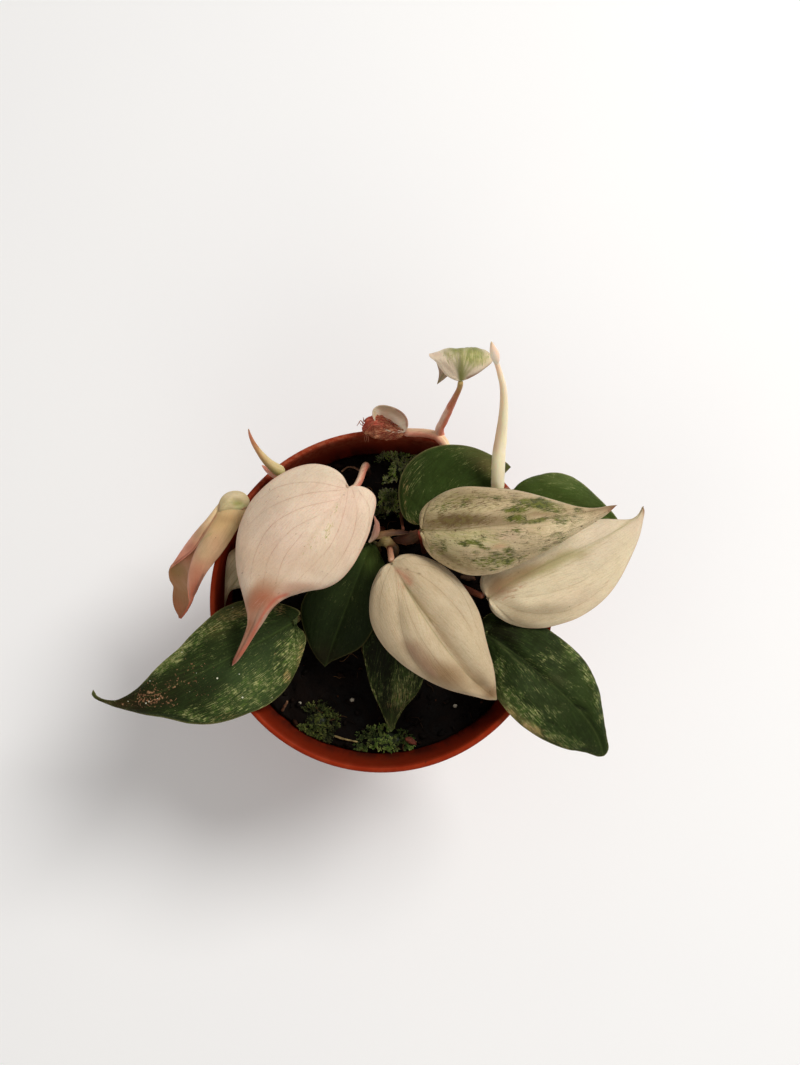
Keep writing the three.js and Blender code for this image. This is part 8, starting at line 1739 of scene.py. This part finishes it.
def moss(name, spread, shoots, seed, greens, high):
    cx, cy, rx, ry, h = CUSHIONS[name]["at"]
    rng = np.random.default_rng(seed)
    parts = []
    # dark felt under the shoots
    v, f = rock(np.random.default_rng(seed + 1), 1.0, (1, 1, 1), 3, 0.18)
    v = v * [rx * 0.95, ry * 0.95, h * 0.75] + [cx, cy, SOIL_Z - 0.3]
    v[:, 2] = np.maximum(v[:, 2], SOIL_Z - 1.2)
    patchy = Noise(seed + 4)
    parts.append((v, f, {"tone": np.tile(list(lin(20, 28, 10)) + [1.0], (len(v), 1))}))
    for k in range(shoots):
        r = math.sqrt(rng.uniform(0, 1)) * spread
        th = rng.uniform(0, 2 * math.pi)
        x, y = cx + rx * r * math.cos(th), cy + ry * r * math.sin(th)
        if r > 0.75 and patchy(np.array([x, y, 5.0])[None], 0.35)[0] < -0.05:
            continue
        rad_ = math.hypot(x, y)
        if rad_ > 46.8:
            x, y = x * 46.8 / rad_, y * 46.8 / rad_
        z = max(float(soil_height(np.array(x), np.array(y))) - 0.3, SOIL_Z + h * 0.72 * math.sqrt(max(0, 1 - min(1, r) ** 2)) - 0.5)
        lean = np.array([math.cos(th) * 0.5 * r + rng.normal() * 0.25, math.sin(th) * 0.5 * r + rng.normal() * 0.25, 1.0])
        lean = unit(lean)
        tall = rng.uniform(0.7, 1.0) * high * (1.15 - 0.35 * min(1.2, r))
        g = greens[int(rng.integers(0, len(greens)))]
        g = tuple(c * (0.62 + 0.5 * max(0.0, min(1.0, 0.5 + 1.4 * patchy(np.array([x, y, 0.0])[None], 0.45)[0]))) for c in g)
        dark = tuple(c * 0.40 for c in g)
        b0 = np.array([x, y, z])
        n_ = int(rng.integers(6, 11))
        for i in range(n_):
            f_ = (i + 0.6) / n_
            ang = i * 2.4 + rng.uniform(0, 1)
            out_ = unit(np.cross(lean, [math.cos(ang), math.sin(ang), 0.2]))
            way = unit(out_ * (1.0 - 0.5 * f_) + lean * (0.45 + 0.7 * f_))
            lv, lf, la = leaflet(b0 + lean * tall * f_, way, rng.uniform(0.42, 0.82), rng.uniform(0.10, 0.17), rng.uniform(-0.25, 0.25), dark, g)
            parts.append((lv, lf, la))
    V, F, A = merge(parts)
    return make(name + "_tuft", V, F, MOSS.m, {"tone": ("FLOAT_COLOR", A["tone"])}, replaces=(name,))


G1 = [(222, 240, 130), (180, 214, 100), (244, 252, 172), (150, 186, 84), (250, 254, 190)]
moss("moss_back", 2.1, 520, 71, G1, 3.2)
moss("moss_middle", 1.5, 340, 72, G1, 2.4)
moss("moss_front_left", 1.6, 420, 73, [(110, 124, 56), (88, 102, 42), (140, 146, 76), (70, 84, 34)], 2.2)
moss("moss_front", 1.6, 380, 74, [(136, 164, 74), (108, 140, 60), (176, 196, 104)], 1.9)

# ------------------------------------------------------------------ litter on the soil
WOOD = Mat("bark_and_twig", rough=0.75)
WOOD.b.inputs["Specular IOR Level"].default_value = 0.25
w_n = WOOD.noise(WOOD.mapping(WOOD.obj(), (1, 1, 1)), 800.0, 5.0, 0.7, 0.5)
WOOD.color(WOOD.mix(WOOD.remap(w_n, 0.35, 0.68), WOOD.mix(1.0, WOOD.attr("tone"), (0.35, 0.3, 0.28), "MULTIPLY"), WOOD.attr("tone")))
WOOD.normal(WOOD.bump(w_n, 0.8, 0.0004))


def bit(name, col, chip=False, thin=1.0):
    rng = np.random.default_rng(len(name) * 7)
    P = np.array(BITS[name]["points"])
    r = BITS[name]["r"] * thin
    if chip:
        v, f = rock(rng, 1.0, (1, 1, 1), 3, 0.30)
        d = P[-1] - P[0]
        L_ = np.linalg.norm(d)
        ax = unit(d)
        sd = unit(np.cross(ax, [0, 0, 1.0]))
        up = np.cross(sd, ax)
        c = P.mean(0)
        v = c + (v @ np.array([ax * (L_ / 2 + r), sd * r * 1.25, up * r * 0.8]))
    else:
        v, f, inf, rd = tube(P, [r, r * 0.9, r * 0.7], 10, 0.4)
        v = v + rd * (0.25 * r * Noise(9).fractal(v, 1.2, 3))[:, None]
    tone = np.tile(list(lin(*col)) + [1.0], (len(v), 1))
    return make(name + "_piece", v, f, WOOD.m, {"tone": ("FLOAT_COLOR", tone)}, replaces=(name,))


bit("straw", (168, 150, 100))
bit("stick_wall", (150, 112, 84))
bit("bark_bit_front", (128, 66, 48), True)
bit("bark_bit_left", (96, 66, 46), True)
bit("bark_bit_right", (90, 62, 42), True)
bit("root_thread_back", (140, 104, 78))
stalk("petiole_dry_stub_twig", STEMS["petiole_dry_stub"], [0.62, 0.55, 0.5, 0.45, 0.5], [(0, (60, 30, 20)), (0.6, (110, 62, 44)), (1, (128, 78, 56))], VINE, ("petiole_dry_stub",),
      sides=14, wobble=0.15, seed=9)

PERL = Mat("perlite_grain", rough=0.8)
p_n = PERL.noise(PERL.obj(), 2400.0, 4.0, 0.7)
PERL.color(PERL.mix(PERL.remap(p_n, 0.3, 0.7), lin4(128, 120, 104), lin4(176, 170, 154)))
PERL.normal(PERL.bump(p_n, 0.8, 0.0003))
for gname, gx, gy, gr in GRAINS:
    rng = np.random.default_rng(len(gname) * 11)
    v, f = rock(rng, gr * 0.8, (1, 0.9, 0.85), 3, 0.22)
    z = SOIL_Z + 0.3 + gr
    make(gname + "_lump", v + [gx, gy, z - 0.35], f, PERL.m, replaces=(gname,))

# ------------------------------------------------------------------ floor and light
fm = Mat("studio_floor", rough=0.9)
f_o = fm.obj()
fm.color(fm.mix(fm.remap(fm.noise(f_o, 6.0, 2.0), 0.3, 0.7), (0.945, 0.962, 0.985, 1), (0.955, 0.972, 0.99, 1)))
bm = bmesh.new()
bmesh.ops.create_grid(bm, x_segments=8, y_segments=8, size=3.0)
me = bpy.data.meshes.new("studio_floor")
bm.to_mesh(me)
bm.free()
floor = bpy.data.objects.new("studio_floor", me)
scene.collection.objects.link(floor)
floor.data.materials.append(fm.m)

world = bpy.data.worlds.new("studio")
scene.world = world
world.use_nodes = True
world.node_tree.nodes["Background"].inputs[0].default_value = (1.0, 0.955, 0.905, 1)
world.node_tree.nodes["Background"].inputs[1].default_value = 0.32


def area(name, loc, aim, size, power, color=(1, 1, 1)):
    ld = bpy.data.lights.new(name, "AREA")
    ld.shape = "DISK"
    ld.size = size
    ld.energy = power
    ld.color = color
    ob = bpy.data.objects.new(name, ld)
    ob.location = loc
    ob.rotation_euler = (Vector(aim) - Vector(loc)).to_track_quat("-Z", "Y").to_euler()
    scene.collection.objects.link(ob)
    return ob


area("key", (0.78, 0.56, 1.15), (0, 0, 0.09), 0.6, 16.0, (1.0, 0.97, 0.93))
area("fill", (-0.9, -0.5, 1.0), (0, 0, 0.08), 0.9, 1.5, (1.0, 0.97, 0.94))
area("front", (0.15, -0.95, 0.8), (0, 0, 0.11), 0.9, 2.2, (1.0, 0.97, 0.93))

scene.view_settings.view_transform = "Standard"
scene.view_settings.look = "None"
scene.view_settings.exposure = 0.0
scene.view_settings.gamma = 1.0
